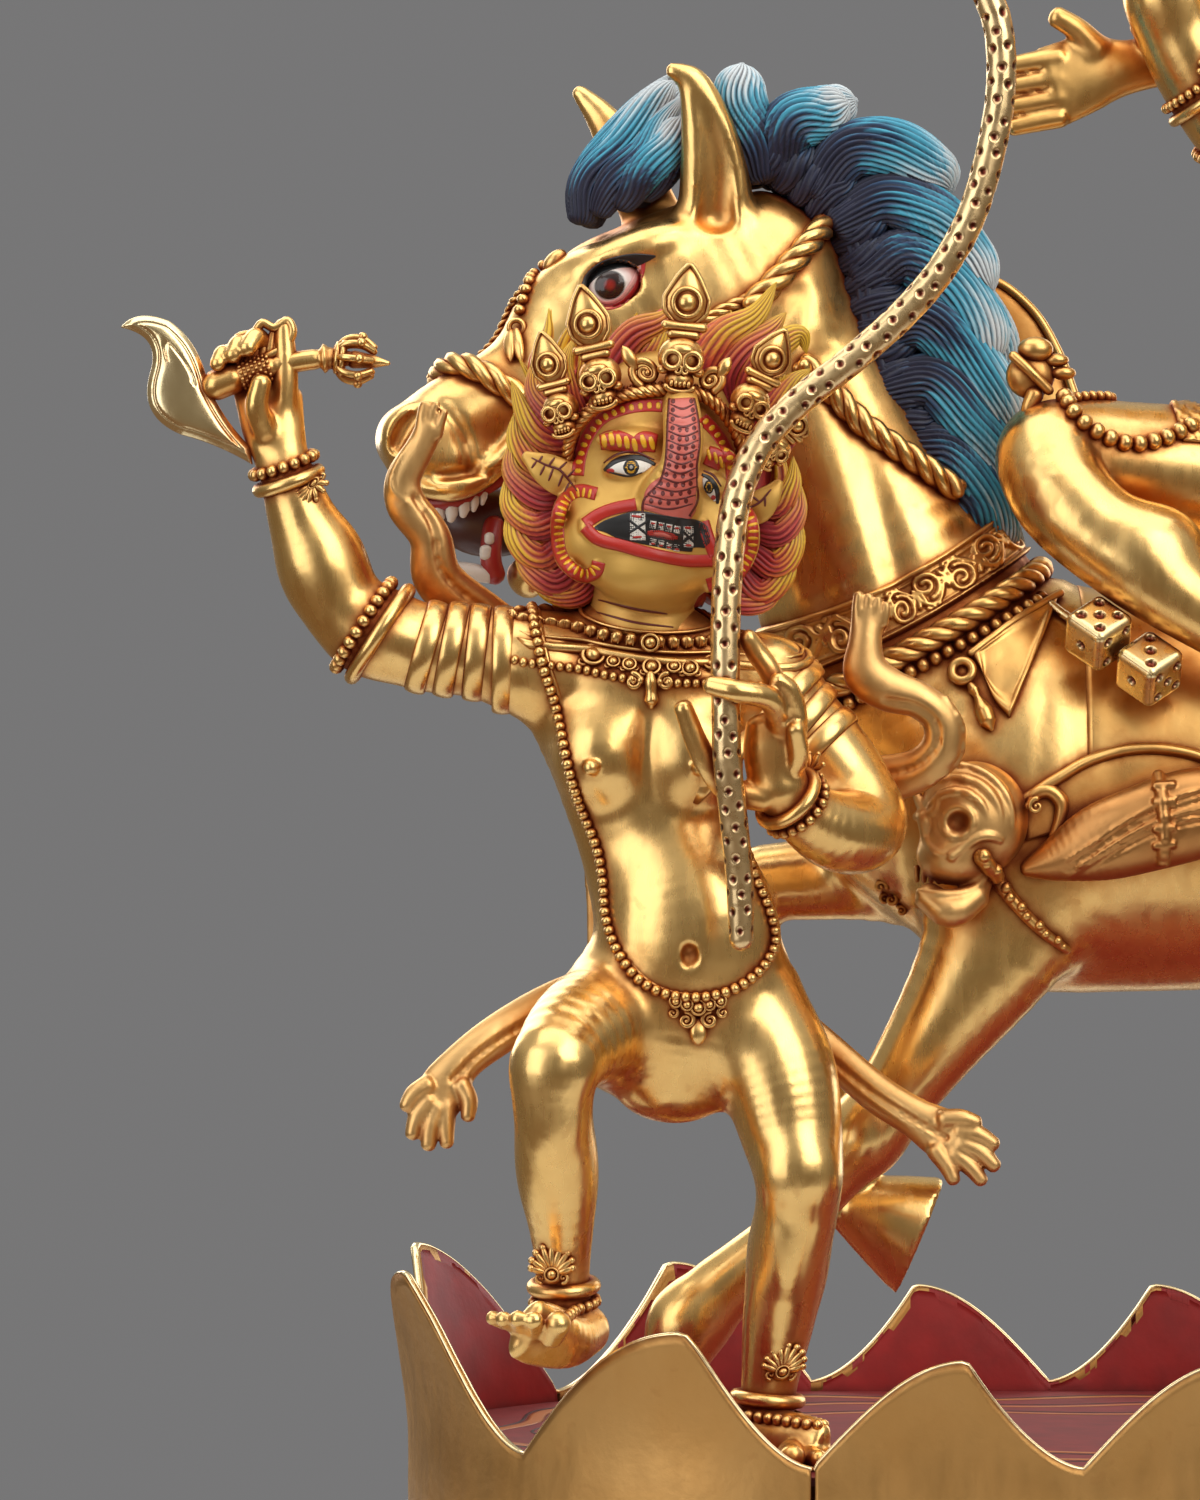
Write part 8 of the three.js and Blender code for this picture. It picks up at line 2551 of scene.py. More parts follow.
for layer, (side, count, reach, shift) in enumerate(LAYERS):
    for k in range(count):
        share = min(0.999, max(0.0, (k + shift) / (count - 0.4)))
        i = share * (len(crest) - 1)
        root = np.array([np.interp(i, np.arange(len(crest)), crest[:, a]) for a in range(3)])
        tip = np.array([np.interp(i, np.arange(len(tips)), tips[:, a]) for a in range(3)])
        run = tip - root
        curl = unit((-run[2], 0, run[0]))
        wild = math.sin(k * 2.9 + layer * 1.7)
        spread = side * (0.9 + 0.06 * wild)
        path = [
            root + (0, side * 0.6, 0) - run * 0.12,
            root + run * 0.3 * reach + (0, side * 0.95, 0) - curl * 1.0,
            root + run * 0.65 * reach + (0, spread, 0) - curl * (1.4 + 0.4 * wild),
            root + run * (reach + 0.05 * wild) + (0, spread * 0.9, 0) - curl * 0.6,
        ]
        lock(mane, np.add(path, MULE), 3.0, 2.2, COMB_TONES, 14, 0.5, FRONT, k * 1.3 + layer)
for side, scale in ((-1, 1.0), (0, 0.9), (1, 1.0)):
    for k, run in enumerate(BIG_LOCKS):
        reach = 1.0 - 0.10 * abs(side) * (0.5 + 0.5 * math.sin(2.2 * k + side))
        first = np.array(run[0])
        stations = [(*(first + (np.array(p) - first) * reach), 0) for p in run]
        bend = [0.8, 1.0, 0.95, 0.85, 0.8][: len(run)]
        path = [
            (x, side * 5.8 * b + 0.5 * math.sin(1.7 * k + 3 * j), z)
            for j, ((x, z, _), b) in enumerate(zip(stations, bend))
        ]
        lock(
            mane, np.add(path, MULE), 5 * scale, 2.6, MANE_TONES, 26, 0.35, FRONT, k * 1.9 + 3 * side,
            10, True
        )
ROOT_RUN = [
    (*p, s) for p, s in zip(crest[::6], sizes_along(len(crest[::6]), [0, 0.3, 0.8, 1], [3, 6, 6.4, 4]))
]
root_line = np.array([(x + 1.5, y, z + 0.5) for x, y, z, _ in ROOT_RUN]) + MULE
ridged = 1 + 0.03 * np.cos(18 * full_turn(108))[None] * np.ones((len(root_line), 1))
tube(mane, root_line, [(s * 0.8, s) for *_, s in ROOT_RUN], 108, FRONT, section=ridged, paint=NAVY)
mane.piece("carved_mane", MANE_PAINT, ("mule_mane",), "blue_paint")

# %% Forelock and tail
forelock = Heap()
FORELOCK_RUNS = [
    [(-97, -3, 208), (-95.4, -3.4, 213.6), (-90.4, -3.6, 219.6), (-86, -3, 226), (-81.4, -2.6, 231.4)],
    [(-94, -4.4, 209), (-91.6, -5, 214), (-86.4, -5, 219), (-83, -4.4, 224.6), (-79.6, -3.8, 229)],
    [(-90.4, -5, 210.4), (-87.4, -5.8, 215), (-82.6, -5.6, 219.6), (-80.2, -5, 225)],
    [(-97.6, 0, 208), (-96.4, 0, 214), (-92, 0, 221), (-87, 0, 227.6), (-82, 0, 233)],
    [(-96, 3, 208), (-94, 3.6, 214), (-89, 3.6, 220), (-85, 3, 226), (-80, 2.6, 231)],
    [(-86.4, -4, 212), (-82.6, -4.6, 217), (-78.6, -4.4, 222), (-77, -3.6, 228)],
    [(-88, 4, 212), (-84, 4.6, 217), (-80, 4.4, 222), (-78, 3.6, 227)],
]
for i, run in enumerate(FORELOCK_RUNS):
    lock(
        forelock, np.add(run, MULE) + (2.4, 0, 2.6), 3.6, 2.2, MANE_TONES, 20, 0.5, FRONT, i * 2.1, 8,
        i % 2 == 0
    )
forelock.piece("carved_forelock", MANE_PAINT, ("mule_forelock",), "blue_paint")
tail = Heap()
TAIL_RUN = [
    (103, 0, 126), (113, 0, 131), (121, 0.5, 124), (126, 1.5, 106), (125.6, 2.5, 86), (128, 3.6, 68),
    (125.6, 4, 55)
]
spine = np.array(TAIL_RUN, float)
for layer, (count, size) in enumerate(((7, 0.35), (12, 0.82))):
    for k in range(count):
        turn = 2 * math.pi * (k + 0.5 * layer) / count
        spread = sizes_along(7, [0, 0.2, 0.5, 0.75, 1], [0.4, 0.8, 1, 0.75, 0.1]) * 7.5 * size
        off = np.stack([math.cos(turn) * spread, math.sin(turn) * spread, np.zeros(7)], 1)
        sway = np.stack(
            [
                np.sin(np.linspace(0, 7, 7) + k) * 0.9, np.cos(np.linspace(0, 6, 7) + 2 * k) * 0.9,
                np.zeros(7)
            ],
            1
        )
        stop = 7 if (k + layer) % 3 else 6
        lock(
            tail, (spine + off + sway + MULE)[:stop], 3.6, 2.4, MANE_TONES, 6, 0.8,
            (math.cos(turn), math.sin(turn), 0.1), k
        )
tail.piece("carved_tail", MANE_PAINT, ("mule_tail",), "blue_paint")
print("mane locks:", sum(row[1] for row in LAYERS) + 3 * len(BIG_LOCKS))

# %% [markdown]
# ## The mule's trappings
# A broad collar with scrolls in relief goes round the neck, with a twisted rope and a row of beads
# below it. Behind them hang a corner of hide, a ringed stud with its drop, two dice, a carved skull
# and a skin bag with its straps.

# %% Sheets laid on a skin
def ruled(edge_a, edge_b, rows, cols):
    """A grid of [x, z] between two curves."""
    a = flat_line(edge_a, 8)[:, [0, 2]]
    b = flat_line(edge_b, 8)[:, [0, 2]]
    t = np.linspace(0, 1, rows)
    a, b = (
        np.stack([np.interp(t, np.linspace(0, 1, len(c)), c[:, i]) for i in range(2)], 1)
        for c in (a, b)
    )
    v = np.linspace(0, 1, cols)[None, :, None]
    return a[:, None] * (1 - v) + b[:, None] * v


def applied(heap, skin, grid, rise, under=0.5):
    """A sheet that lies on the skin over a grid of [x, z], `rise` above it at each place."""
    rise = np.broadcast_to(rise, grid.shape[:2])
    outer, inner = np.zeros((*grid.shape[:2], 3)), np.zeros((*grid.shape[:2], 3))
    for i, j in np.ndindex(*grid.shape[:2]):
        x, z = grid[i, j]
        hit, normal = skin.seen(x, z)
        if hit is None:
            hit, normal = skin.nearest(skin.place + (x, -4, z))
        outer[i, j], inner[i, j] = hit + normal * rise[i, j], hit - normal * under
    closed_sheet(heap, outer, inner)


def rimmed(rows, cols, rise, rim, width=2):
    """Heights of a sheet with a rolled rim."""
    i = np.minimum(np.arange(rows), np.arange(rows)[::-1])[:, None]
    j = np.minimum(np.arange(cols), np.arange(cols)[::-1])[None]
    near = np.minimum(i, j) / width
    return rise + rim * np.exp(-((near - 0.5) ** 2) * 3)

# %% Collar: where its rims, rope and beads cross the neck, from the photograph
NECK_AXIS = [(115, -25), (136, -37), (158, -48), (181, -57)]
TOP_RIM = [(-69.6, 138.7), (-48.8, 143.8), (-31.5, 152.7)]
LOW_RIM = [(-61.2, 129.7), (-36.9, 139.8), (-22.8, 148.7)]
ROPE_RUN = [(-58, 125.4), (-40.1, 134.6), (-29.8, 140.5), (-22.8, 145.5)]
NECK_REACH = 27.0
BEAD_RUN = [(-56, 122.4), (-41.1, 130.7), (-26, 138.4), (-17.3, 144.3)]


def neck_ring(run, count, proud=0.0):
    """A ring round the neck whose height at each x follows `run`."""
    rule = np.polyfit([x for x, _ in run], [z for _, z in run], 2)
    low, high = run[0][0] - 3, run[-1][0] + 10
    ring = []
    for angle in full_turn(count):
        way = np.array((math.cos(angle), math.sin(angle), 0))
        z, spot = run[1][1], None
        for _ in range(7):
            middle = np.interp(z, [h for h, _ in NECK_AXIS], [x for _, x in NECK_AXIS])
            start = np.array((middle, 0, z + MULE[2]))
            hit, _ = MULE_SKIN.cast(start, way, NECK_REACH)
            hit = start + way * NECK_REACH if hit is None else hit
            z = 0.45 * z + 0.55 * np.polyval(rule, min(max(hit[0], low), high))
        ring.append(hit + way * proud)
    ring = np.array(ring)
    for _ in range(2):
        ring = (ring + 0.5 * np.roll(ring, 1, 0) + 0.5 * np.roll(ring, -1, 0)) / 2
    return ring

# %% Collar: scrolls in relief, drawn flat and wrapped round the neck
COLLAR_TURNS, COLLAR_ROWS, COLLAR_WIDTH = 560, 44, 9.4
REPEAT_LENGTH = 13.0


def scroll_lines(width, repeat):
    """The lines of one repeat: a wave with a curl on each side, and leaves between them."""
    middle = width / 2
    t = np.linspace(0, 1, 60)
    stem = np.stack([repeat * t, middle + 0.30 * width * np.sin(2 * math.pi * t)], 1)
    lines = [stem]
    for at, hand in ((0.25, 1), (0.75, -1)):
        centre = np.array([repeat * at, middle - hand * 0.12 * width])
        turn = np.linspace(0, 1.55 * 2 * math.pi, 60)
        radius = 0.30 * width * (1 - 0.13 * turn / math.pi * 1.9)
        angle = math.pi / 2 * hand - hand * turn
        lines.append(centre + np.stack([radius * np.cos(angle), radius * np.sin(angle)], 1))
        for lean, size in ((-0.9, 0.20), (-0.2, 0.24), (0.6, 0.20)):
            foot = np.array([repeat * (at + 0.30), middle + hand * 0.10 * width])
            tip = foot + np.array([lean * size * width, -hand * 1.35 * size * width])
            bow = np.array([0.05 * width, 0])
            lines.append(np.array([foot, (foot + tip) / 2 + bow, tip]))
            foot = np.array([repeat * (at - 0.02), middle + hand * 0.46 * width])
            tip = foot + np.array([lean * 0.9 * size * width, -hand * 0.7 * size * width])
            lines.append(np.array([foot, (foot + tip) / 2, tip]))
    return lines


def line_distance(points, lines, repeat):
    """Distance from each flat point to the nearest of the lines, which repeat along x."""
    best = np.full(len(points), 99.0)
    for line in lines:
        for shift in (-repeat, 0, repeat):
            a, b = line[:-1] + (shift, 0), line[1:] + (shift, 0)
            span = b - a
            share = ((points[:, None] - a) * span).sum(2) / np.maximum((span**2).sum(1), 1e-9)
            foot = a + np.clip(share, 0, 1)[..., None] * span
            best = np.minimum(best, np.linalg.norm(points[:, None] - foot, axis=2).min(1))
    return best


collar = Heap()
rim_a, rim_b = neck_ring(TOP_RIM, COLLAR_TURNS), neck_ring(LOW_RIM, COLLAR_TURNS)
girth = np.linalg.norm(np.diff(rim_a, axis=0), axis=1).sum()
repeats = max(1, round(girth / REPEAT_LENGTH))
u = np.arange(COLLAR_TURNS) / COLLAR_TURNS * repeats * REPEAT_LENGTH % REPEAT_LENGTH
v = np.linspace(0, 1, COLLAR_ROWS)
flat = np.stack(np.meshgrid(u, v * COLLAR_WIDTH, indexing="ij"), -1).reshape(-1, 2)
near = line_distance(flat, scroll_lines(COLLAR_WIDTH, REPEAT_LENGTH), REPEAT_LENGTH)
carved = 0.62 * np.clip((0.62 - near) / 0.34, 0, 1).reshape(COLLAR_TURNS, COLLAR_ROWS)
edge_near = np.minimum(v, 1 - v) * COLLAR_WIDTH
rim_height = np.exp(-(((edge_near - 0.55) / 0.42) ** 2))
rim_height = rim_height + 0.35 * np.exp(-(((edge_near - 1.6) / 0.3) ** 2))
rise = 0.55 + np.maximum(carved * (edge_near > 1.2), rim_height[None])
outer, inner = np.zeros((COLLAR_TURNS, COLLAR_ROWS, 3)), np.zeros((COLLAR_TURNS, COLLAR_ROWS, 3))
for i in range(COLLAR_TURNS):
    for j in range(COLLAR_ROWS):
        spot = rim_a[i] * (1 - v[j]) + rim_b[i] * v[j]
        hit, normal = MULE_SKIN.nearest(spot)
        outer[i, j], inner[i, j] = hit + normal * rise[i, j], hit - normal * 0.5
closed_sheet(collar, outer, inner, True)
rope_ring = neck_ring(ROPE_RUN, 120, 1.5)
twisted(collar, rope_ring, 2.3, 3, 4.6, True, 10)
beads(collar, neck_ring(BEAD_RUN, 140, 0.9), 1.3, True, 1.85)
print("collar's repeats:", repeats)

# %% Hide corner, ring and drop
flap_grid = ruled(
    [(-28.2, 134.1), (-21, 139.6), (-13.2, 144.1)], [(-26.6, 131.4), (-24.6, 126.4), (-22.2, 123.7)],
    26, 26
)
applied(collar, MULE_SKIN, flap_grid, rimmed(26, 26, 0.8, 0.55))
turn_line, _ = laid_line(MULE_SKIN, [(-28.4, 134.4), (-21, 140), (-12.9, 144.6)], 0.9)
tube(collar, turn_line, 0.75, 10)
stud_at, facing = MULE_SKIN.seen(-29.9, 131.4)
facing = unit(facing)
across = unit(np.cross(facing, (0, 0, 1)))
rising = np.cross(across, facing)
tube(collar, circle(stud_at + facing * 1.3, 1.75, across, rising, 30), 0.85, 12, None, True)
ball(collar, stud_at + facing * 0.3, (1.9, 1.9, 0.8), (across, rising, facing), 6, 16)
DROP_RUN = [
    (-28.6, 129.2, 0.6), (-28, 128.2, 1.0), (-27.5, 127.2, 0.6), (-27.1, 126.4, 0.9),
    (-26.4, 124.6, 1.7), (-25.7, 122.8, 1.5), (-25.2, 121.6, 0.4)
]
drop_line, _ = laid_line(MULE_SKIN, [(x, z) for x, z, _ in DROP_RUN], 1.0, 5)
sizes = sizes_along(len(drop_line), np.linspace(0, 1, len(DROP_RUN)), [r for *_, r in DROP_RUN])
tube(collar, drop_line, sizes, 14)
collar.piece("chased_collar", OLD_GILT, ("breast_collar",), "old_gilt")

# %% Saddle cloth
cloth = Heap()
CLOTH_ENDS, CLOTH_COLUMNS, CLOTH_ROWS, CLOTH_HEM = (-9, 56), 60, 54, 100
outer, inner = np.zeros((CLOTH_COLUMNS, CLOTH_ROWS, 3)), np.zeros((CLOTH_COLUMNS, CLOTH_ROWS, 3))
for i, x in enumerate(np.linspace(*CLOTH_ENDS, CLOTH_COLUMNS)):
    for j, degrees in enumerate(np.linspace(-CLOTH_HEM, CLOTH_HEM, CLOTH_ROWS)):
        lean = math.radians(degrees)
        hit, normal = MULE_SKIN.cast(MULE + (x, 0, 112), (0, math.sin(lean), math.cos(lean)))
        near = min(i, CLOTH_COLUMNS - 1 - i, j, CLOTH_ROWS - 1 - j)
        outer[i, j] = hit + normal * (0.12 + 0.42 * (1 - math.exp(-near / 2.2)))
        inner[i, j] = hit - normal * 0.5
closed_sheet(cloth, outer, inner)
cloth.piece("hide_saddle_cloth", OLD_GILT, ("saddle_cloth",), "old_gilt")

# %% Dice
DIE_EDGE, DIE_ROUND, DIE_CELLS, PIP_SIZE, PIP_DEPTH = 8.6, 1.5, 44, 0.84, 0.7
PIPS = {
    1: [(0, 0)],
    2: [(-1, -1), (1, 1)],
    3: [(-1, -1), (0, 0), (1, 1)],
    4: [(-1, -1), (-1, 1), (1, -1), (1, 1)],
    5: [(-1, -1), (-1, 1), (1, -1), (1, 1), (0, 0)],
    6: [(-1, -1), (-1, 0), (-1, 1), (1, -1), (1, 0), (1, 1)],
}
DIE_GOLD, PIP_BROWN = np.array((0.86, 0.68, 0.36)), np.array((0.16, 0.035, 0.02))
PIP_PITCH = 2.2
dice = Heap()


def die(centre, turn, marks):
    """A cube with rounded edges and a drilled pip for each mark. `marks` gives the count on each face."""
    half = DIE_EDGE / 2
    side = np.linspace(-half, half, DIE_CELLS + 1)
    for (axis, sign), count in marks.items():
        a, b = [k for k in range(3) if k != axis]
        grid = np.zeros((DIE_CELLS + 1, DIE_CELLS + 1, 3))
        grid[..., a], grid[..., b] = np.meshgrid(side, side, indexing="ij")
        grid[..., axis] = sign * half
        sunk = np.zeros(grid.shape[:2])
        for p, q in PIPS[count]:
            away = np.hypot(grid[..., a] - p * PIP_PITCH, grid[..., b] - q * PIP_PITCH)
            sunk = np.maximum(sunk, np.clip(1.15 - away / PIP_SIZE, 0, 1))
        core = np.clip(grid, -half + DIE_ROUND, half - DIE_ROUND)
        body = core + DIE_ROUND * unit(grid - core)
        body[..., axis] -= sign * PIP_DEPTH * np.clip(2.4 * sunk, 0, 1)
        tone = DIE_GOLD + (PIP_BROWN - DIE_GOLD) * np.clip(3 * sunk, 0, 1)[..., None]
        faces.append((body.reshape(-1, 3) @ turn.T + centre, tone.reshape(-1, 3)))


yaw, tip = math.radians(43), math.radians(-44)
about_z = np.array([(math.cos(yaw), -math.sin(yaw), 0), (math.sin(yaw), math.cos(yaw), 0), (0, 0, 1)])
about_x = np.array([(1, 0, 0), (0, math.cos(tip), -math.sin(tip)), (0, math.sin(tip), math.cos(tip))])
DICE_MARKS = [
    ((-7.5, -30, 138), {(2, 1): 5, (2, -1): 2, (1, -1): 4, (1, 1): 3, (0, 1): 6, (0, -1): 1}),
    ((1, -31, 132), {(2, 1): 3, (2, -1): 4, (1, -1): 5, (1, 1): 2, (0, 1): 6, (0, -1): 1}),
]
for centre, marks in DICE_MARKS:
    faces = []
    die(MULE + centre, about_x.T @ about_z, marks)
    points, tones = np.vstack([p for p, _ in faces]), np.vstack([t for _, t in faces])
    n = DIE_CELLS + 1
    cells = [
        (i * n + j, i * n + j + 1, (i + 1) * n + j + 1, (i + 1) * n + j) for i in range(n - 1)
        for j in range(n - 1)
    ]
    quads = np.vstack([np.array(cells) + k * n * n for k in range(6)])
    _, first, back = np.unique(np.round(points, 3), axis=0, return_index=True, return_inverse=True)
    quads = outward(points[first], np.ravel(back)[quads])
    dice.put(points[first], quads, (), tones[first])
for run in ([(-14.5, 142.6), (-12.5, 141), (-10, 139.4)], [(-5, 135.6), (-3, 134), (-1, 132.6)]):
    cord, _ = laid_line(MULE_SKIN, run, 0.8)
    tube(dice, cord, 0.8, 10, paint=DIE_GOLD)
DIE_GILT = punched_gold("die_gilt")
dice.piece("drilled_dice", DIE_GILT, ("dice",))

# %% Skull ornament: the clay
clay = Clay(MULE, (-44, -39, 86), (-17, -19, 122), 0.3)
clay.egg((-28.5, -28, 106.6), (9.3, 6.6, 9.8), 0, 0)
clay.egg((-31.6, -28.8, 100.6), (6.6, 5.6, 5.2), 1.5, 0)
clay.limb(
    [(-36.4, -30, 93.6, 2.4, 2.6), (-32.5, -31.2, 91.2, 3.0, 2.8), (-28.4, -29.6, 93.6, 2.6, 2.6)], 1.0,
    4
)
clay.egg((-27.6, -28.4, 97.2), (2.4, 3, 4.4), 1.2, 0)
clay.dent((-31.6, -35.4, 106.2), (2.1, 3.2, 2.0), 0.7, 0)
clay.dent((-38.6, -32.4, 104.6), (1.4, 2.6, 1.8), 0.6, 0)
clay.dent((-33.4, -36.4, 96.9), (4.8, 2.6, 1.7), 0.4, -4)
SOCKET_X, SOCKET_Z = -31.6, 106.2


def arc_run(centre, radius, first, last, size, squash=1.0):
    """[x, z, size] places on an arc, thinner at its ends."""
    turn = np.radians(np.linspace(first, last, 16))
    swell = np.sin(math.pi * np.linspace(0.1, 0.9, 16)) ** 0.5 * size
    return [
        (centre[0] + radius * math.cos(a), centre[1] + radius * squash * math.sin(a), s)
        for a, s in zip(turn, swell)
    ]


for radius, first, last, size in (
    (2.7, -200, 150, 0.8), (5.0, 2, 152, 1.05), (7.3, -4, 132, 1.05), (9.4, -4, 116, 0.95)
):
    clay.limb(clay.laid(arc_run((SOCKET_X, SOCKET_Z), radius, first, last, size), 0.35), 0.12, 3)
NOSE_RUN = [(-38, 107, 0.8), (-36.9, 106.8, 1.4), (-36.5, 103.6, 1.0), (-35, 101, 1.0), (-32.4, 100.4, 1.0)]
CHEEK_RUN = [
    (-32.6, 100.3, 1.0), (-30.4, 102, 1.0), (-27.8, 103.7, 1.1), (-25.8, 103.8, 1.1),
    (-24.4, 103.2, 0.9)
]
BROW_RUN = [(-38.4, 112, 0.7), (-37.4, 109, 0.9), (-36.2, 107.4, 0.9), (-35, 108.4, 0.9), (-34.6, 111, 0.6)]
JAW_RUN = [(-37.8, 94.4, 0.7), (-34.6, 93.9, 1.0), (-31, 94.1, 1.0), (-28, 95.4, 0.9), (-26.4, 98, 0.8)]
for run in (NOSE_RUN, CHEEK_RUN, BROW_RUN, JAW_RUN):
    clay.limb(clay.laid(run, 0.5), 0.2, 4)
for k in range(7):
    x = -38 + 1.2 * k
    spots = clay.laid([(x, 98.4 - 0.07 * k, 0.62), (x, 96.2 - 0.07 * k, 0.5)], 0.6)
    clay.limb(spots, 0.1, 2)
SKULL_POINTS, SKULL_QUADS = fire(clay, "skull_carving", HIDE_GILT, ("skull_ornament",), 1)

# %% Skull ornament: the beaded cord behind it
ORNAMENT_SKIN = Skin(MULE, (MULE_POINTS, MULE_QUADS), (SKULL_POINTS, SKULL_QUADS))
cord = Heap()
CORD_RUN = [(-27.6, 100.4), (-25.4, 97.6), (-22.6, 94), (-19.6, 90.4), (-16, 87), (-12.6, 84.6)]
line, _ = laid_line(ORNAMENT_SKIN, CORD_RUN, 0.55, 9)
tube(cord, line, np.linspace(1.5, 0.8, len(line)), 10)
for i in range(0, len(line) - 1, 4):
    ball(cord, line[i] + (0.3 * (-1) ** (i // 4), -0.7, 0.2), (1.25 - 0.011 * i,) * 3, None, 6, 10)
for k, (x, z, size) in enumerate(
    ((-42, 96.6, 1.1), (-41, 93.4, 1.0), (-43.6, 91.4, 0.9), (-40.4, 90, 0.9))
):
    spot, facing = MULE_SKIN.nearest(MULE + (x, -10, z))
    scroll(cord, spot + facing * 0.6, size, RIGHT, UP, 0.5, 1.1, (-1) ** k, 40 * k)

# %% Skin bag: the clay
clay = Clay(MULE, (-26, -42, 88), (26, -14, 118), 0.34)
BAG_RUN = [
    (-19.5, -28.6, 98.2, 1.4, 1.6),
    (-15, -29.4, 99.6, 3.6, 2.8),
    (-8, -30.8, 102.4, 6.4, 4.0),
    (0, -31.8, 105, 7.4, 4.5),
    (7, -32.2, 107.2, 7.8, 4.6),
    (13, -32.2, 108.4, 7.3, 4.3),
    (20, -31.6, 109, 6.4, 3.8),
]
clay.limb(BAG_RUN, 0, 6)
for low, high in ((-3.4, 3.6), (-1.4, 5.2), (-6, 0.6), (-7.4, -1.0)):
    run = [(-13, 100.4 + low * 0.5), (2, 106 + high * 0.62), (18, 109.4 + high * 0.9)]
    spots = clay.laid_thread(run, 12, 0.42, 0.05)
    clay.limb(spots, 0.2, 1)
    clay.groove([(x, y - 0.2, z - 0.9) for x, y, z, _ in spots], 0.28, 0.45)
BAG_BAND = [(2.4, 114), (2.9, 109), (3.2, 104), (3.0, 99.4)]
clay.limb(clay.laid_thread(BAG_BAND, 8, 1.15, 0.1), 0.2, 1)
for z in (112.2, 109.6, 105, 102.2):
    clay.limb(clay.laid([(1.6, z, 0.7), (4.6, z + 0.3, 0.7)], -0.2), 0.3, 1)
fire(clay, "skin_bag_with_straps", BAG_GILT, ("skin_bag",), 1)

# %% Skin bag: the flap above it and its hook
arch = [(-20.6, 109.4), (-15, 113), (-8.4, 116.6), (0, 118.4), (8, 117.6), (14.6, 115.2)]
arch_line, _ = laid_line(MULE_SKIN, arch, 1.0, 9)
tube(cord, arch_line, 1.0, 12)
low_edge = [(-19.6, 103), (-12, 105), (-4, 108), (2, 110), (8, 110.6), (14.6, 110)]
flap_grid = ruled(arch, low_edge, 40, 14)
applied(cord, MULE_SKIN, flap_grid, 0.7)
hook, _ = laid_line(
    ORNAMENT_SKIN,
    [(-20.4, 108.6), (-18.6, 110.6), (-15.8, 111.4), (-13.8, 109.6), (-14, 106.4), (-15, 103.6)], 1.1, 8
)
tube(cord, hook, sizes_along(len(hook), [0, 0.3, 0.6, 1], [0.6, 1.25, 1.3, 0.9]), 12)
scroll(cord, hook[0] + (1.4, -0.9, 0), 1.3, RIGHT, UP, 0.5, 1.2)
cord.piece("ornament_cords", OLD_GILT, (), "old_gilt")

# %% [markdown]
# ## The attendant's cape
# The cape is a flayed skin worn down her back. Its hands hang beside her hips, one foot kicks up
# beside her head and the other rests on the mule's collar. A groove runs down the middle of each
# limb, where the hide folds over.

# %% Cape: where its sheet and limbs run
CAPE_BACK = [
    (-9, 13.5, 133, 20, 1.6), (-8, 13.8, 120, 16, 1.8), (-6, 13.6, 103, 14, 1.8),
    (-4, 14.6, 88, 15, 1.8), (-3, 14.6, 76, 16, 1.6)
]
CAPE_HAND_RIGHT = [
    (-14, 14, 79, 4, 2), (-24, 11, 76, 3.6, 2.4), (-34, 5, 70.5, 3.5, 2.5), (-40, 2.6, 65.8, 3.4, 2.3),
    (-42.6, 1.6, 62, 4.2, 2.1), (-43.6, 1, 59, 3.6, 1.9)
]
CAPE_HAND_LEFT = [
    (8, 14, 78, 4, 2), (20, 12, 69, 3.2, 2.2), (30, 8, 60.5, 3.3, 2.4), (36, 5.6, 56.8, 3.4, 2.3),
    (40.4, 4.4, 54.2, 4.2, 2.1), (43, 3.6, 52.6, 3.6, 1.9)
]
CAPE_FOOT_RIGHT = [
    (-24, 13, 132, 4, 2), (-36, 10, 141, 3.8, 2.2), (-43.8, 7, 147, 4.2, 2.4),
    (-45.2, 5.4, 154, 3.5, 2.3), (-49.2, 4.4, 159.6, 3.4, 2.2), (-49.6, 4, 163.4, 3.0, 2.0),
    (-46.8, 3.4, 168.6, 2.5, 1.8), (-45.0, 3.0, 172.2, 2.3, 1.5)
]
CAPE_FOOT_LEFT = [
    (8, 13.5, 125, 4, 2), (22, 11, 114, 4, 2.2), (31, 7, 113.5, 4, 2.5), (37.4, 5, 115.4, 3.6, 2.5),
    (40.4, 3.8, 119, 3.4, 2.5), (40.2, 3.2, 123.4, 3.2, 2.5), (36.6, 3, 126.6, 3.1, 2.5),
    (31.4, 2.9, 128.4, 3.7, 2.5), (27.8, 2.8, 131.2, 3.9, 2.6), (27.6, 2.9, 136.5, 2.8, 2.2),
    (28.3, 3.2, 141.2, 2.9, 1.7)
]
clay = Clay(ATTENDANT, (-57, -8, 42), (53, 26, 176), 0.42)
clay.limb(CAPE_BACK, 0, 6)
for stations in (CAPE_HAND_RIGHT, CAPE_HAND_LEFT, CAPE_FOOT_RIGHT, CAPE_FOOT_LEFT):
    clay.limb(stations, 1.6, 8)
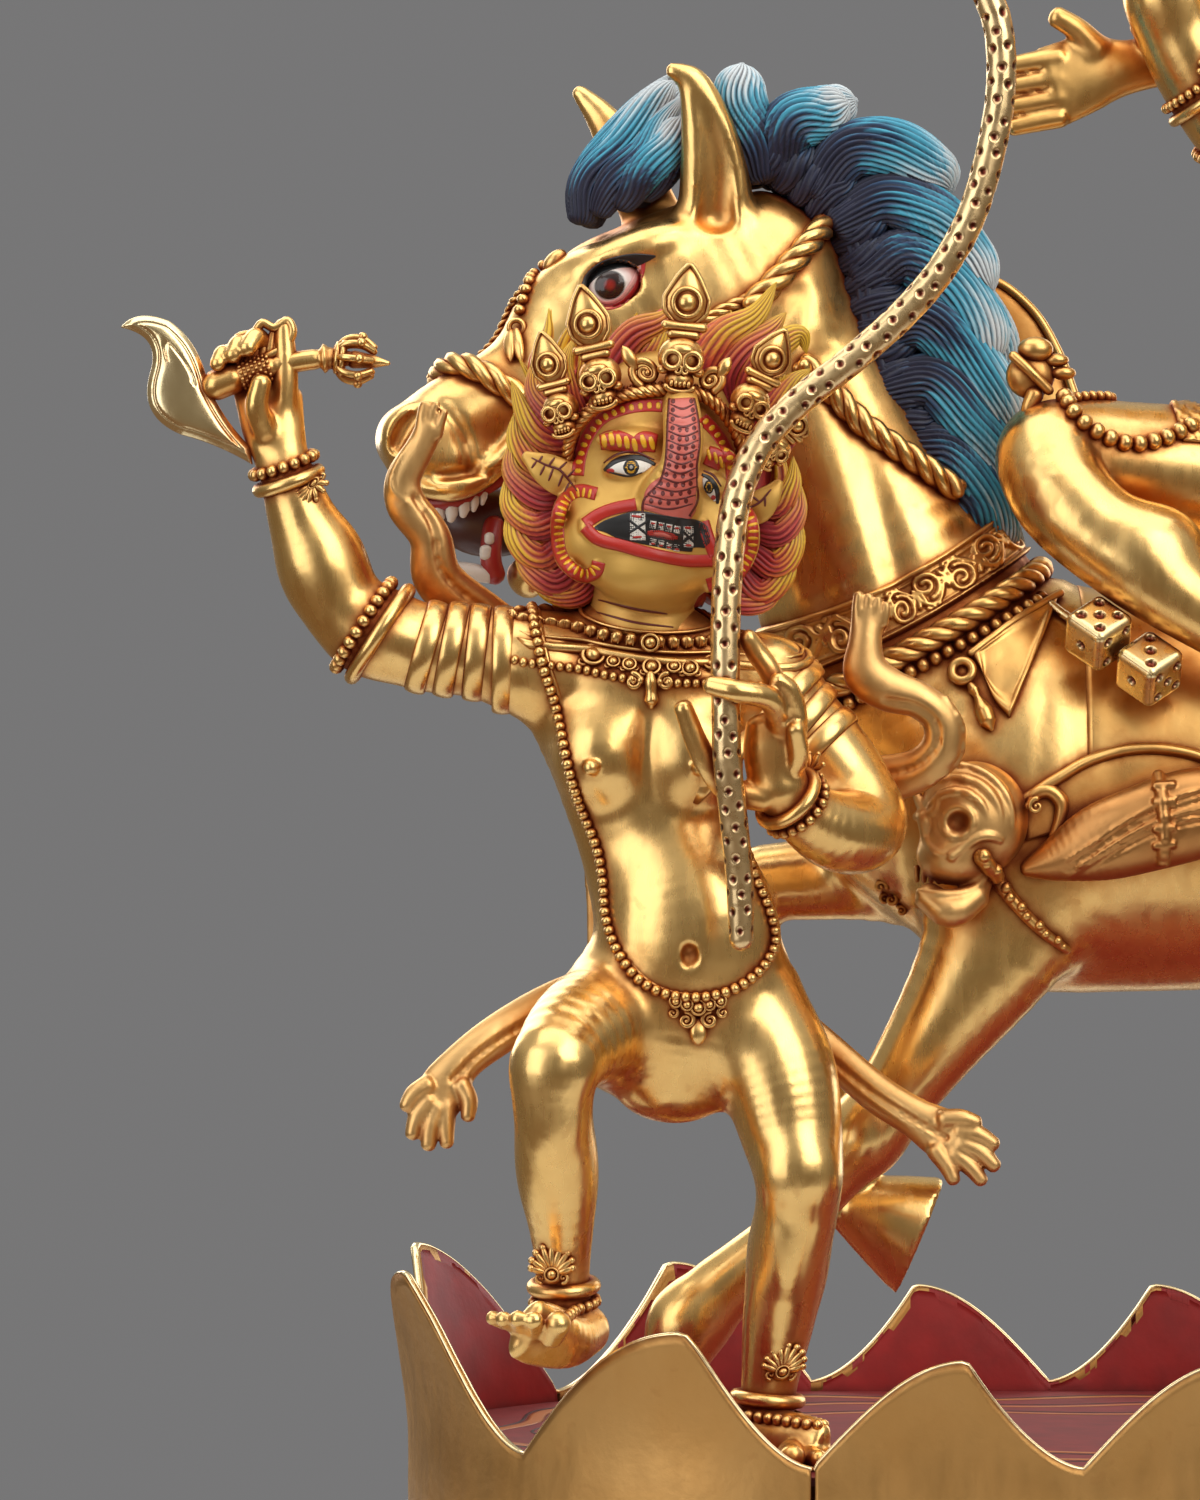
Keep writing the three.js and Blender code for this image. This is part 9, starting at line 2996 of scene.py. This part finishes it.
# fingers and toes, from knuckle to tip
CAPE_FINGERS = [
    [(-45.4, 0.6, 62.4, 1.35), (-48.2, 0, 60.6, 1.2), (-49.8, -0.6, 58.2, 0.95)],
    [(-45.2, 0.4, 59.8, 1.3), (-47.6, -0.2, 56.4, 1.2), (-48.6, -0.8, 53, 0.95)],
    [(-43.8, 0.4, 58.6, 1.3), (-45.2, -0.4, 54.6, 1.2), (-45.6, -1, 51, 0.95)],
    [(-42.2, 0.6, 58.8, 1.25), (-42.4, -0.2, 54.8, 1.15), (-42.2, -0.8, 51.4, 0.9)],
    [(-39.8, 0.8, 62.4, 1.3), (-38.2, 0, 59.2, 1.15), (-38.4, -0.6, 56, 0.9)],
    [(40.8, 3.4, 56.6, 1.3), (44.4, 2.8, 56.8, 1.2), (47.4, 2.4, 56, 0.95)],
    [(43.4, 3.2, 54.6, 1.3), (47.4, 2.6, 53.8, 1.2), (50.4, 2.2, 52, 0.95)],
    [(43.8, 3, 52.6, 1.3), (47.8, 2.4, 50.6, 1.2), (50.4, 2, 48, 0.95)],
    [(42.6, 3, 50.8, 1.25), (46, 2.4, 48, 1.15), (48, 2, 45.4, 0.9)],
    [(39.4, 3.2, 51.4, 1.25), (41.8, 2.6, 48.2, 1.15), (43, 2, 45.4, 0.9)],
    [(-46.6, 3, 171, 1.0), (-46.2, 2.8, 174.6, 0.95), (-45.6, 2.6, 177, 0.75)],
    [(-45, 2.8, 171.6, 0.85), (-44.6, 2.6, 174.4, 0.8), (-44, 2.4, 176.2, 0.65)],
    [(-43.8, 2.6, 170.8, 0.8), (-43.2, 2.4, 173.2, 0.75), (-42.6, 2.2, 174.8, 0.6)],
    [(26.4, 2.8, 139.6, 0.95), (26.4, 2.6, 142.6, 0.95), (26.5, 2.4, 144.2, 0.8)],
    [(28, 2.6, 140, 0.8), (28.1, 2.4, 142.6, 0.8), (28.2, 2.2, 144, 0.65)],
    [(29.4, 2.4, 139.8, 0.75), (29.6, 2.2, 142.2, 0.75), (29.7, 2.1, 143.5, 0.6)],
    [(30.7, 2.4, 139.4, 0.7), (31, 2.2, 141.5, 0.7), (31.1, 2.1, 142.7, 0.55)],
]
for i, stations in enumerate(CAPE_FINGERS):
    root = np.array(stations[0][:3])
    short, stout = (0.8, 1.35) if i < 10 else (1, 1.1)
    stations = [(*(root + (np.array(s[:3]) - root) * short), s[3] * stout) for s in stations]
    clay.limb(stations, 0.4, 4)
CAPE_FOLDS = [
    [(-20, 76.5), (-30, 72), (-37, 67.5), (-41, 63.5)],
    [(20, 68), (29, 60.8), (36, 56.4), (41, 53.6)],
    [(-33, 139.5), (-43, 148), (-44.6, 155.5), (-47.6, 160.5)],
    [(28, 113.6), (36.4, 115.8), (39.6, 119.4), (39.2, 123), (36, 125.6), (31, 126.6)],
]
for run in CAPE_FOLDS:
    clay.groove(clay.laid_thread(run, 14, 0.3, -0.15), 0.42, 0.9)
for run in (
    [(-49, 159.4), (-51.6, 162.4), (-50.4, 166.4), (-48, 170)],
    [(38.4, 112.6), (43.2, 116.6), (43.9, 122), (41, 127)]
):
    lip = [s for s in clay.laid_thread(run, 10, 0.55, 0.1) if s[1] < 20]
    if len(lip) > 3:
        clay.limb(lip, 0.3, 1)
fire(clay, "hide_cape", HIDE_GILT, ("skin_cape",))

# %% [markdown]
# ## The goddess
# She is the rider, and most of her lies outside the photograph, so her upper half follows the
# tradition of such figures: three eyes, an open mouth with fangs, flame hair, a crown of five skulls,
# a staff in the raised hand and a skull cup in the other.

# %% Goddess: head
G_HEAD = [
    (0, -3, 86, 8.6, 8.4), (0, -4, 90, 12, 11.6), (0, -4, 96, 15.6, 14.2), (0, -4, 103, 16.4, 15),
    (0, -3, 110.5, 15, 14.2), (0, -1, 117, 9.6, 9.6)
]
G_FACE_SHAPES = [
    ((-8.2, -13.4, 96.4), (5.6, 5, 5), 3),
    ((8.2, -13.4, 96.4), (5.6, 5, 5), 3),
    ((0, -14.6, 88.8), (5.6, 4.6, 3.4), 2.5),
    ((-6.6, -16.2, 109.4), (5.2, 2.2, 1.6), 2),
    ((6.6, -16.2, 109.4), (5.2, 2.2, 1.6), 2),
    ((-6.4, -16.2, 104.2), (3.9, 2.4, 2.5), 0.8),
    ((6.4, -16.2, 104.2), (3.9, 2.4, 2.5), 0.8),
    ((0, -17.6, 112.6), (1.7, 1.6, 2.8), 0.7),
    ((-2.5, -19.8, 99), (1.7, 1.7, 1.4), 0.8),
    ((2.5, -19.8, 99), (1.7, 1.7, 1.4), 0.8),
]
clay = Clay(GODDESS, (-23, -27, 82), (23, 16, 121), 0.36)
clay.limb(G_HEAD, 0, 6)
for centre, radii, blend in G_FACE_SHAPES:
    clay.egg(centre, radii, blend)
clay.limb([(0, -17.6, 107.4, 1.7, 1.6), (0, -19.6, 103, 1.9, 1.9), (0, -20.8, 99.6, 2.6, 2.3)], 1.2, 6)
G_EAR = [
    (16, 0, 106.6, 1.5, 3), (17.6, 0.4, 102, 1.7, 3.2), (17.6, 0, 95, 1.6, 2.4),
    (17.2, -0.4, 90, 1.7, 2.4)
]
for side in (-1, 1):
    clay.limb([(side * x, *rest) for x, *rest in G_EAR], 1, 5)
    clay.dent((side * 18.6, -1.6, 102.6), (1.2, 1.6, 3), 0.7)
clay.dent((0, -20.4, 92.9), (5.2, 3.4, 2.1), 0.8)
LIPS = [(-6, 93.9, 0.7), (-3.4, 95.5, 0.95), (0, 95.1, 1.0), (3.4, 95.5, 0.95), (6, 93.9, 0.7)]
LOW_LIP = [(-6, 93.6, 0.7), (-3.6, 91.1, 0.95), (0, 90.4, 1.05), (3.6, 91.1, 0.95), (6, 93.6, 0.7)]
for run in (LIPS, LOW_LIP):
    clay.limb(clay.laid(run, 0.3), 0.4, 6)
G_BROW = [(2, 108.6, 0.7), (5, 110.8, 1.0), (9, 111.4, 1.0), (12, 109.6, 0.8), (12.6, 107.6, 0.6)]


def on_side(run, side):
    """A run of [x, ...] places, on the side of the face that `side` says."""
    return [(side * x, *rest) for x, *rest in run]


for side in (-1, 1):
    clay.limb(clay.laid(on_side(G_BROW, side), 0.25), 0.4, 6)
clay.floor(86)
GFACE_POINTS, GFACE_QUADS = fire(clay, "goddess_face", FACE_GOLD, ("goddess_head",), 1)
GFACE_SKIN = Skin(GODDESS, (GFACE_POINTS, GFACE_QUADS))

# %% Goddess: paint on her face
brush = Brush(GFACE_SKIN, GODDESS)
for side in (-1, 1):
    brush.stroke(on_side([(2.6, 103.8), (6.4, 104.3), (10, 104.5)], side), 3.4, WHITE)
brush.dab((0, 112.6), (1.35, 2.3), WHITE)
brush.stroke([(x, z) for x, z, _ in LIPS], 1.7, RED)
brush.stroke([(x, z) for x, z, _ in LOW_LIP], 1.8, RED)
brush.stroke([(-4.2, 92.9), (0, 92.8), (4.2, 92.9)], 2.8, DEEP_RED)
for side in (-1, 1):
    brush.stroke(on_side([(x, z) for x, z, _ in G_BROW], side), 1.9, RED)
brush.next_coat()
for side in (-1, 1):
    brush.dab((side * 6.2, 104.3), (1.45, 1.5), BLACK)
    brush.stroke(on_side([(2.2, 103.4), (4, 105.6), (7, 106.6), (10.8, 104.8)], side), 0.6, BLACK)
    brush.stroke(on_side([(2.2, 103.3), (5, 102.2), (8, 102.4), (10.6, 104.2)], side), 0.55, RED)
    for k in range(7):
        x = side * (3.4 + 1.25 * k)
        brush.stroke([(x, 109.6 + 0.3 * math.sin(k)), (x + side * 0.7, 111.5 - 0.12 * k)], 0.3, YELLOW)
brush.dab((0, 112.5), (0.75, 0.9), BLACK)
brush.next_coat()
for x, z in ((-6.2, 104.3), (6.2, 104.3), (0, 112.5)):
    brush.dab((x, z), (0.5, 0.5), YELLOW)
brush.heap.piece("goddess_face_paint", FILM_PAINT, (), "red_paint")
teeth = Heap()
for k in range(6):
    ball(
        teeth, GODDESS + (-2.5 + k, -18.9 + 0.08 * abs(k - 2.5) ** 2, 94.1), (0.48, 0.5, 0.8), None, 6,
        10, TOOTH_WHITE
    )
for side in (-1, 1):
    fang = np.add([(side * 3.9, -18.7, 94.6), (side * 4.1, -19.2, 93), (side * 4.1, -19.3, 91.6)], GODDESS)
    tube(teeth, fang, [0.6, 0.5, 0.12], 9, paint=TOOTH_WHITE)
tongue = smooth_line(
    np.add([(0, -15.5, 92.2), (0, -18, 92.4), (0, -19.6, 92), (0, -20.3, 90.9)], GODDESS), 5
)
tube(
    teeth, tongue, np.linspace(1, 0.6, len(tongue))[:, None] * [2.3, 0.8], 12, (1, 0, 0),
    paint=(0.5, 0.04, 0.04)
)
teeth.piece("goddess_teeth", FILM_PAINT, (), "red_paint")

# %% Goddess: hair and crown
hair = Heap()
G_OUTLINE = [
    (-15, 84), (-23, 92), (-26, 104), (-24, 116), (-18, 127), (-9, 137), (2, 143.4), (11, 137),
    (19, 127), (24, 116), (26, 104), (23, 92), (15, 84)
]
contour = smooth_line([(x, 7, z) for x, z in G_OUTLINE], 12)
for layer, (count, low_y, high_y, root_share, reach) in enumerate(
    (
        (27, -3, 2.5, 0.46, 0.96), (25, 3, 7, 0.4, 1.0), (25, 8, 12, 0.3, 0.97),
        (21, 12, 15.5, 0.12, 0.84)
    )
):
    for k in range(count):
        share = (k + 0.5 * (layer % 2)) / (count - 0.5)
        edge = contour[min(int(share * (len(contour) - 1)), len(contour) - 1)]
        heart = np.array((0, 5, 101))
        root = heart + (edge - heart) * root_share
        tip = heart + (edge - heart) * (reach + 0.03 * math.sin(k * 2.3 + layer))
        lift = np.array((0, 0, 1)) * (1.6 + 0.8 * math.sin(k * 1.9))
        side_way = unit(np.cross(DEPTH, tip - root))
        bow = side_way * (2.0 * math.sin(k * 1.3 + layer))
        root[1], tip[1] = high_y * 0.7 + 1.5, (low_y + high_y) / 2
        path = [
            root, root * 0.62 + tip * 0.38 + bow + (0, low_y * 0.2 - 0.6, 0),
            root * 0.25 + tip * 0.75 + bow * 0.4 + lift * 0.4, tip + lift
        ]
        tones = FLAME if (k + layer) % 3 else PINK_FLAME
        lock(hair, np.add(path, GODDESS), 3.7, 2.5, tones, 7, 0.6, FRONT, k * 1.7 + layer, 6)
ball(hair, GODDESS + (0, 5.5, 104), (17.4, 8.6, 17), None, 18, 30, CRIMSON)
for k in range(9):
    x = -10 + 2.5 * k
    path = [
        (x, 13.6, 98 + abs(x) * 0.3), (x * 1.1, 15.4, 108), (x * 0.9, 14.4, 120),
        (x * 0.45 + 1, 11.5, 131 - abs(x) * 0.4)
    ]
    lock(hair, np.add(path, GODDESS), 2.6, 2.1, FLAME, 7, 0.5, (0, 1, 0), k, 6)
hair.piece("goddess_flame_hair", MANE_PAINT, ("goddess_hair",), "flame_paint")

crown = Heap()
band = GODDESS + np.array(
    [
        (18.2 * math.sin(a), -11.6 + 4.6 * (1 - math.cos(a * 0.8)), 100.5 + 17.6 * math.cos(a))
        for a in np.radians(np.linspace(-72, 72, 40))
    ]
)
twisted(crown, band, 1.25, 3, 3.8)
beads(crown, band + (0, 0.8, 1.6), 0.8)
beads(crown, band + (0, 0.2, -1.6), 0.62)
for degrees, reach in ((-54, 32), (-27, 35), (0, 38), (27, 35), (54, 32)):
    lean = math.radians(degrees)
    way = np.array((math.sin(lean), 0, math.cos(lean)))
    root = GODDESS + (0, -12.4 + 1.6 * abs(math.sin(lean)), 100.5) + way * 17.8
    skull_leaf(crown, root, way, (0.5 * math.sin(lean), -1, 0), 7.4, reach - 17.8)
for side in (-1, 1):
    for k in range(2):
        place = GODDESS + (side * (5.2 + 7.4 * k), -13.2 + 0.8 * k, 116.6 - 4.2 * k)
        scroll(crown, place, 1.7, (side, 0, 0), UP, 0.55, 1.4, 1, -60)
for side in (-1, 1):
    centre = GODDESS + (side * 18.2, -1, 87.6)
    tube(crown, circle(centre, 3.1, (0.25 * side, 0, 1), DEPTH, 32), 0.85, 10, None, True)
    ball(crown, centre + (0, -0.6, -4.6), (1.3, 1.3, 1.6), None, 7, 12)
    ball(crown, centre + (0, -0.6, -7.2), (0.9, 0.9, 1.4), None, 7, 12)
crown.piece("goddess_skull_crown", GILT, ("goddess_crown",))

# %% Goddess: jewellery
GODDESS_SKIN = Skin(GODDESS, (GODDESS_POINTS, GODDESS_QUADS))
jewels = Heap()
chest = GODDESS + (0, -0.5, 72)
for tilt, drop, size in ((-0.16, 4.5, 0.95), (-0.34, 0, 1.15)):
    normal = unit((0, tilt, 1))
    ring = tilted_ring(GODDESS_SKIN, chest + (0, 0, drop), normal, size * 0.7, 90)
    if drop:
        tube(jewels, ring, size, 10, None, True)
    else:
        beads(jewels, ring, size, True, 1.8)
for x, z, size in ((0, 64.4, 2.5), (-7, 66.4, 1.7), (7, 66.4, 1.7), (-13, 68.6, 1.5), (13, 68.6, 1.5)):
    spot, facing = GODDESS_SKIN.seen(x, z)
    if spot is not None:
        boss(jewels, spot + facing * 0.8, size, RIGHT, UP, facing)
chain = [
    (-13.4, 71), (-15.6, 62), (-14.4, 51), (-12.8, 42), (-13.4, 33), (-11, 24), (-6, 18.4), (0, 16.6),
    (6, 18.4), (11, 24), (13.4, 33), (12.8, 42), (14.4, 51), (15.6, 62), (13.4, 71)
]
chain_line, _ = laid_line(GODDESS_SKIN, chain, 0.7, 7)
beads(jewels, chain_line, 0.95)
waist = tilted_ring(GODDESS_SKIN, GODDESS + (0, -0.5, 22), unit((0, -0.1, 1)), 0.8, 110)
tube(jewels, waist, 1.3, 12, None, True)
beads(jewels, waist + (0, 0, -2.2), 0.85, True)
for k in range(-4, 5):
    x = 3.4 * k
    top, facing = GODDESS_SKIN.nearest(GODDESS + (x, -18, 19))
    low, _ = GODDESS_SKIN.nearest(GODDESS + (x, -16, 13.5 - 0.7 * (k % 2)))
    beads(
        jewels,
        smooth_line([top + facing * 0.7, (top + low) / 2 + facing * 0.9, low + facing * 0.8], 6), 0.6
    )
    petal(jewels, low + facing * 0.7, low + facing * 0.6 + (0, 0, -2.8), 1, facing, 0.6)
ARMLET_AT, CUFF_AT = 0.26, 0.93
for limb in (G_ARM_RIGHT, G_ARM_LEFT):
    for share in (ARMLET_AT, CUFF_AT):
        cuff(jewels, GODDESS_SKIN, limb, share, 1.0, 0.95)
for limb in (G_LEG_RIGHT, G_LEG_LEFT):
    cuff(jewels, GODDESS_SKIN, limb, CUFF_AT, 1.0, 0.95)
for limb in (G_ARM_RIGHT, G_ARM_LEFT):
    centre = section_at(limb, ARMLET_AT, GODDESS)[0]
    spot, facing = GODDESS_SKIN.front(centre[0], centre[2] + 1)
    if spot is not None:
        fan(jewels, spot + facing * 0.9, 3.2, RIGHT, UP, facing)
GARTER = [(-54.6, 28.6), (-53, 25.4), (-49, 22.6), (-43.5, 21), (-38, 21.8), (-33, 24)]
garter_line, _ = laid_line(GODDESS_SKIN, GARTER, 0.8, 8)
beads(jewels, garter_line, 1.55, False, 1.75)
GARTER_BACK = [(-53.6, 28.6), (-49.6, 29), (-45, 29), (-41.4, 28.8)]
garter_line, _ = laid_line(GODDESS_SKIN, GARTER_BACK, 0.6, 8)
beads(jewels, garter_line, 1.0, False, 1.75)
far_garter = ring_on(GODDESS_SKIN, G_LEG_LEFT, 0.27, 0, 0.8)
beads(jewels, far_garter, 1.3, True, 1.75)
jewels.piece("goddess_jewels", GILT)

# %% Goddess: hide skirt, knee knot and strap
hide = Heap()
NEAR_FLAP = [(-36, 29.6), (-28, 32), (-17, 32), (-7, 26)], [(-34.4, 21.6), (-26, 21), (-16, 19), (-7, 15)]
FAR_FLAP = [(25, 31), (19, 35.5), (13, 33), (7, 26)], [(23.6, 24), (18, 24.4), (12, 21), (7, 15)]
for upper, lower in (NEAR_FLAP, FAR_FLAP):
    grid = ruled(upper, lower, 44, 30)
    tufts = 0.9 + 0.35 * np.sin(np.arange(44) * 1.7)[:, None] * np.sin(
        np.arange(30) * 1.1 + 0.6 * np.sin(np.arange(44))[:, None]
    )
    applied(hide, GODDESS_SKIN, grid, tufts)
band = smooth_line(
    np.add(
        [(-51, 4, 28), (-54.4, 8, 38), (-59, 10, 45.6), (-66, 11, 50.6), (-73, 11, 49), (-77, 10, 42)],
        GODDESS
    ),
    9
)
wide = sizes_along(len(band), [0, 0.3, 0.8, 1], [3.2, 5, 5, 3])
tube(hide, band - (2.6, 0, 2.6), np.stack([wide, np.full(len(band), 0.9)], 1), 20, FRONT)
tube(hide, band + (0.6, -0.8, 0.8), 0.8, 10)
knot = GODDESS + (-60.2, -17.5, 33)
ball(hide, knot + (0.8, -1.2, 4.4), (3.1, 2.2, 2.2), None, 8, 14)
ball(hide, knot, (4.2, 2.6, 4.0), None, 10, 18)
tube(hide, smooth_line(knot + np.array([(-3, -2.4, 3.2), (0, -3.2, 0.4), (3, -2.4, -2.6)]), 6), 0.9, 10)
for turn in ((4.4, 2.6), (5.6, 0.4)):
    ball(hide, knot + (turn[0], -0.6, turn[1]), (2.2, 1.6, 1.2), None, 7, 12)
tube(
    hide, smooth_line(knot + np.array([(0.6, -1.6, -3.4), (-0.6, -2, -6.4), (0.4, -1.4, -9)]), 6),
    np.linspace(1.6, 0.7, 13), 12
)
hide.piece("hide_skirt_and_strap", OLD_GILT, (), "old_gilt")

# %% Staff and skull cup
staff = Heap()
rod = smooth_line(
    np.add([(-48, -12, 111), (-38, -12.3, 122.4), (-29.5, -12.6, 132), (-15, -13, 149)], GODDESS), 10
)
tube(staff, rod, 1.25, 8)
for share in (0.02, 0.1, 0.3, 0.7, 0.8, 0.9):
    i = int(share * (len(rod) - 1))
    ball(staff, rod[i], (1.9, 1.9, 1.5), None, 8, 12)
for i in range(2, len(rod) - 3, 3):
    ball(staff, rod[i], 1.5, None, 6, 10)
way = unit(rod[-1] - rod[-6])
skull_leaf(staff, rod[-1] - way * 0.5, way, FRONT, 7.2, 14)
tube(staff, [rod[0], rod[0] - way * 2.5], [1.4, 0.3], 8)
staff.piece("skull_staff", GILT, ("staff",))
cup = Heap()
CUP = GODDESS + (6, -27.5, 62)
profile = [(0.6, -6.7), (3.2, -6.3), (5.6, -4.8), (7.2, -2.4), (7.9, 0), (8.05, 1.1)]
lathe = smooth_line([(0, r, z) for r, z in profile], 6)
outer = [[(r * math.cos(a), r * math.sin(a), z) for a in full_turn(72)] for _, r, z in lathe]
inner = [
    [(max(r - 0.9, 0.2) * math.cos(a), max(r - 0.9, 0.2) * math.sin(a), z + 0.7) for a in full_turn(72)]
    for _, r, z in lathe
]
outer, inner = (np.array(rows).transpose(1, 0, 2) + CUP for rows in (outer, inner))
closed_sheet(cup, outer, inner, True)
ball(cup, CUP + (0, 0, -6.3), (2.4, 2.4, 1), None, 7, 20)
tube(cup, circle(CUP + (0, 0, 1.2), 7.7, RIGHT, DEPTH, 48), 0.75, 10, None, True)
beads(cup, circle(CUP + (0, 0, -0.6), 8.2, RIGHT, DEPTH, 48), 0.6, True)
cup.piece("skull_cup_bowl", GILT, ("skull_cup",))
fill = Heap()
for k in range(9):
    angle = 2 * math.pi * k / 9
    path = [
        CUP + (
            5.6 * math.cos(angle + t) * (1 - t * 0.55), 5.6 * math.sin(angle + t) * (1 - t * 0.55),
            -0.2 + 3.4 * t
        )
        for t in np.linspace(0, 1.25, 9)
    ]
    tube(fill, path, np.linspace(2.0, 0.5, 9), 12, paint=(0.42, 0.02, 0.02))
ball(fill, CUP, (6.4, 6.4, 2.2), None, 10, 24, (0.34, 0.015, 0.015))
fill.piece("skull_cup_filling", FILM_PAINT, (), "red_paint")

# %% Goddess: cape
G_CAPE = [
    (0, 14.5, 74, 22, 2), (0, 15.5, 58, 20, 2.2), (0, 15, 40, 19, 2.2), (0, 16.5, 22, 21, 2.2),
    (0, 18, 8, 22, 2)
]
G_CAPE_HAND = [
    (-12, 14.5, 74, 6, 2.4), (-17, 13.6, 83, 5.4, 2.8), (-24, 12, 90.4, 5.2, 3),
    (-32, 10.6, 90.6, 5, 3), (-41, 9.4, 88.6, 4.7, 3), (-48, 8.6, 87.4, 6.6, 2.8),
    (-54.5, 8, 85, 7.2, 2.4)
]
clay = Clay(GODDESS, (-68, 2, 2), (26, 24, 102), 0.5)
clay.limb(G_CAPE, 0, 6)
clay.limb(G_CAPE_HAND, 1.4, 8)
for k, (start, stop) in enumerate(((90, 88.4), (86.4, 84.8), (82.9, 81.2), (79.6, 77.8))):
    clay.limb(
        [
            (-53.4, 7.6, start, 1.95, 1.9), (-58, 7.4, (start + stop) / 2, 1.85, 1.8),
            (-62.4 + 0.8 * (k == 3), 7.2, stop, 1.6, 1.5)
        ],
        0.35, 5
    )
clay.limb([(-47, 7.6, 91.4, 2.6, 2.2), (-50.4, 7, 94.8, 2.1, 1.9), (-54, 6.8, 97, 1.9, 1.7)], 1.2, 5)
clay.limb(
    [
        (-39.6, 7.4, 95.6, 1.8, 1.6), (-37, 6.6, 91.6, 2.1, 1.8), (-33.4, 7.2, 90, 2, 1.8),
        (-29, 9, 92, 1.6, 1.5)
    ],
    0.8, 8
)
for run in (
    [(-10, 70), (-8, 50), (-9, 30), (-7, 12)], [(0, 70), (1, 50), (0, 30), (2, 12)],
    [(10, 70), (9, 50), (10, 30), (9, 12)]
):
    fine = flat_line(run, 14)
    clay.groove([(p[0], 17.6 + 0.6 * math.sin(p[2] * 0.2), p[2]) for p in fine], 0.8, 1.2)
fire(clay, "goddess_hide_cape", OLD_GILT, ("goddess_skin_cape",), 1)

# %% Sizes
bpy.context.view_layer.update()
print("faces:", sum(TALLY.values()), "in", len(TALLY), "pieces")
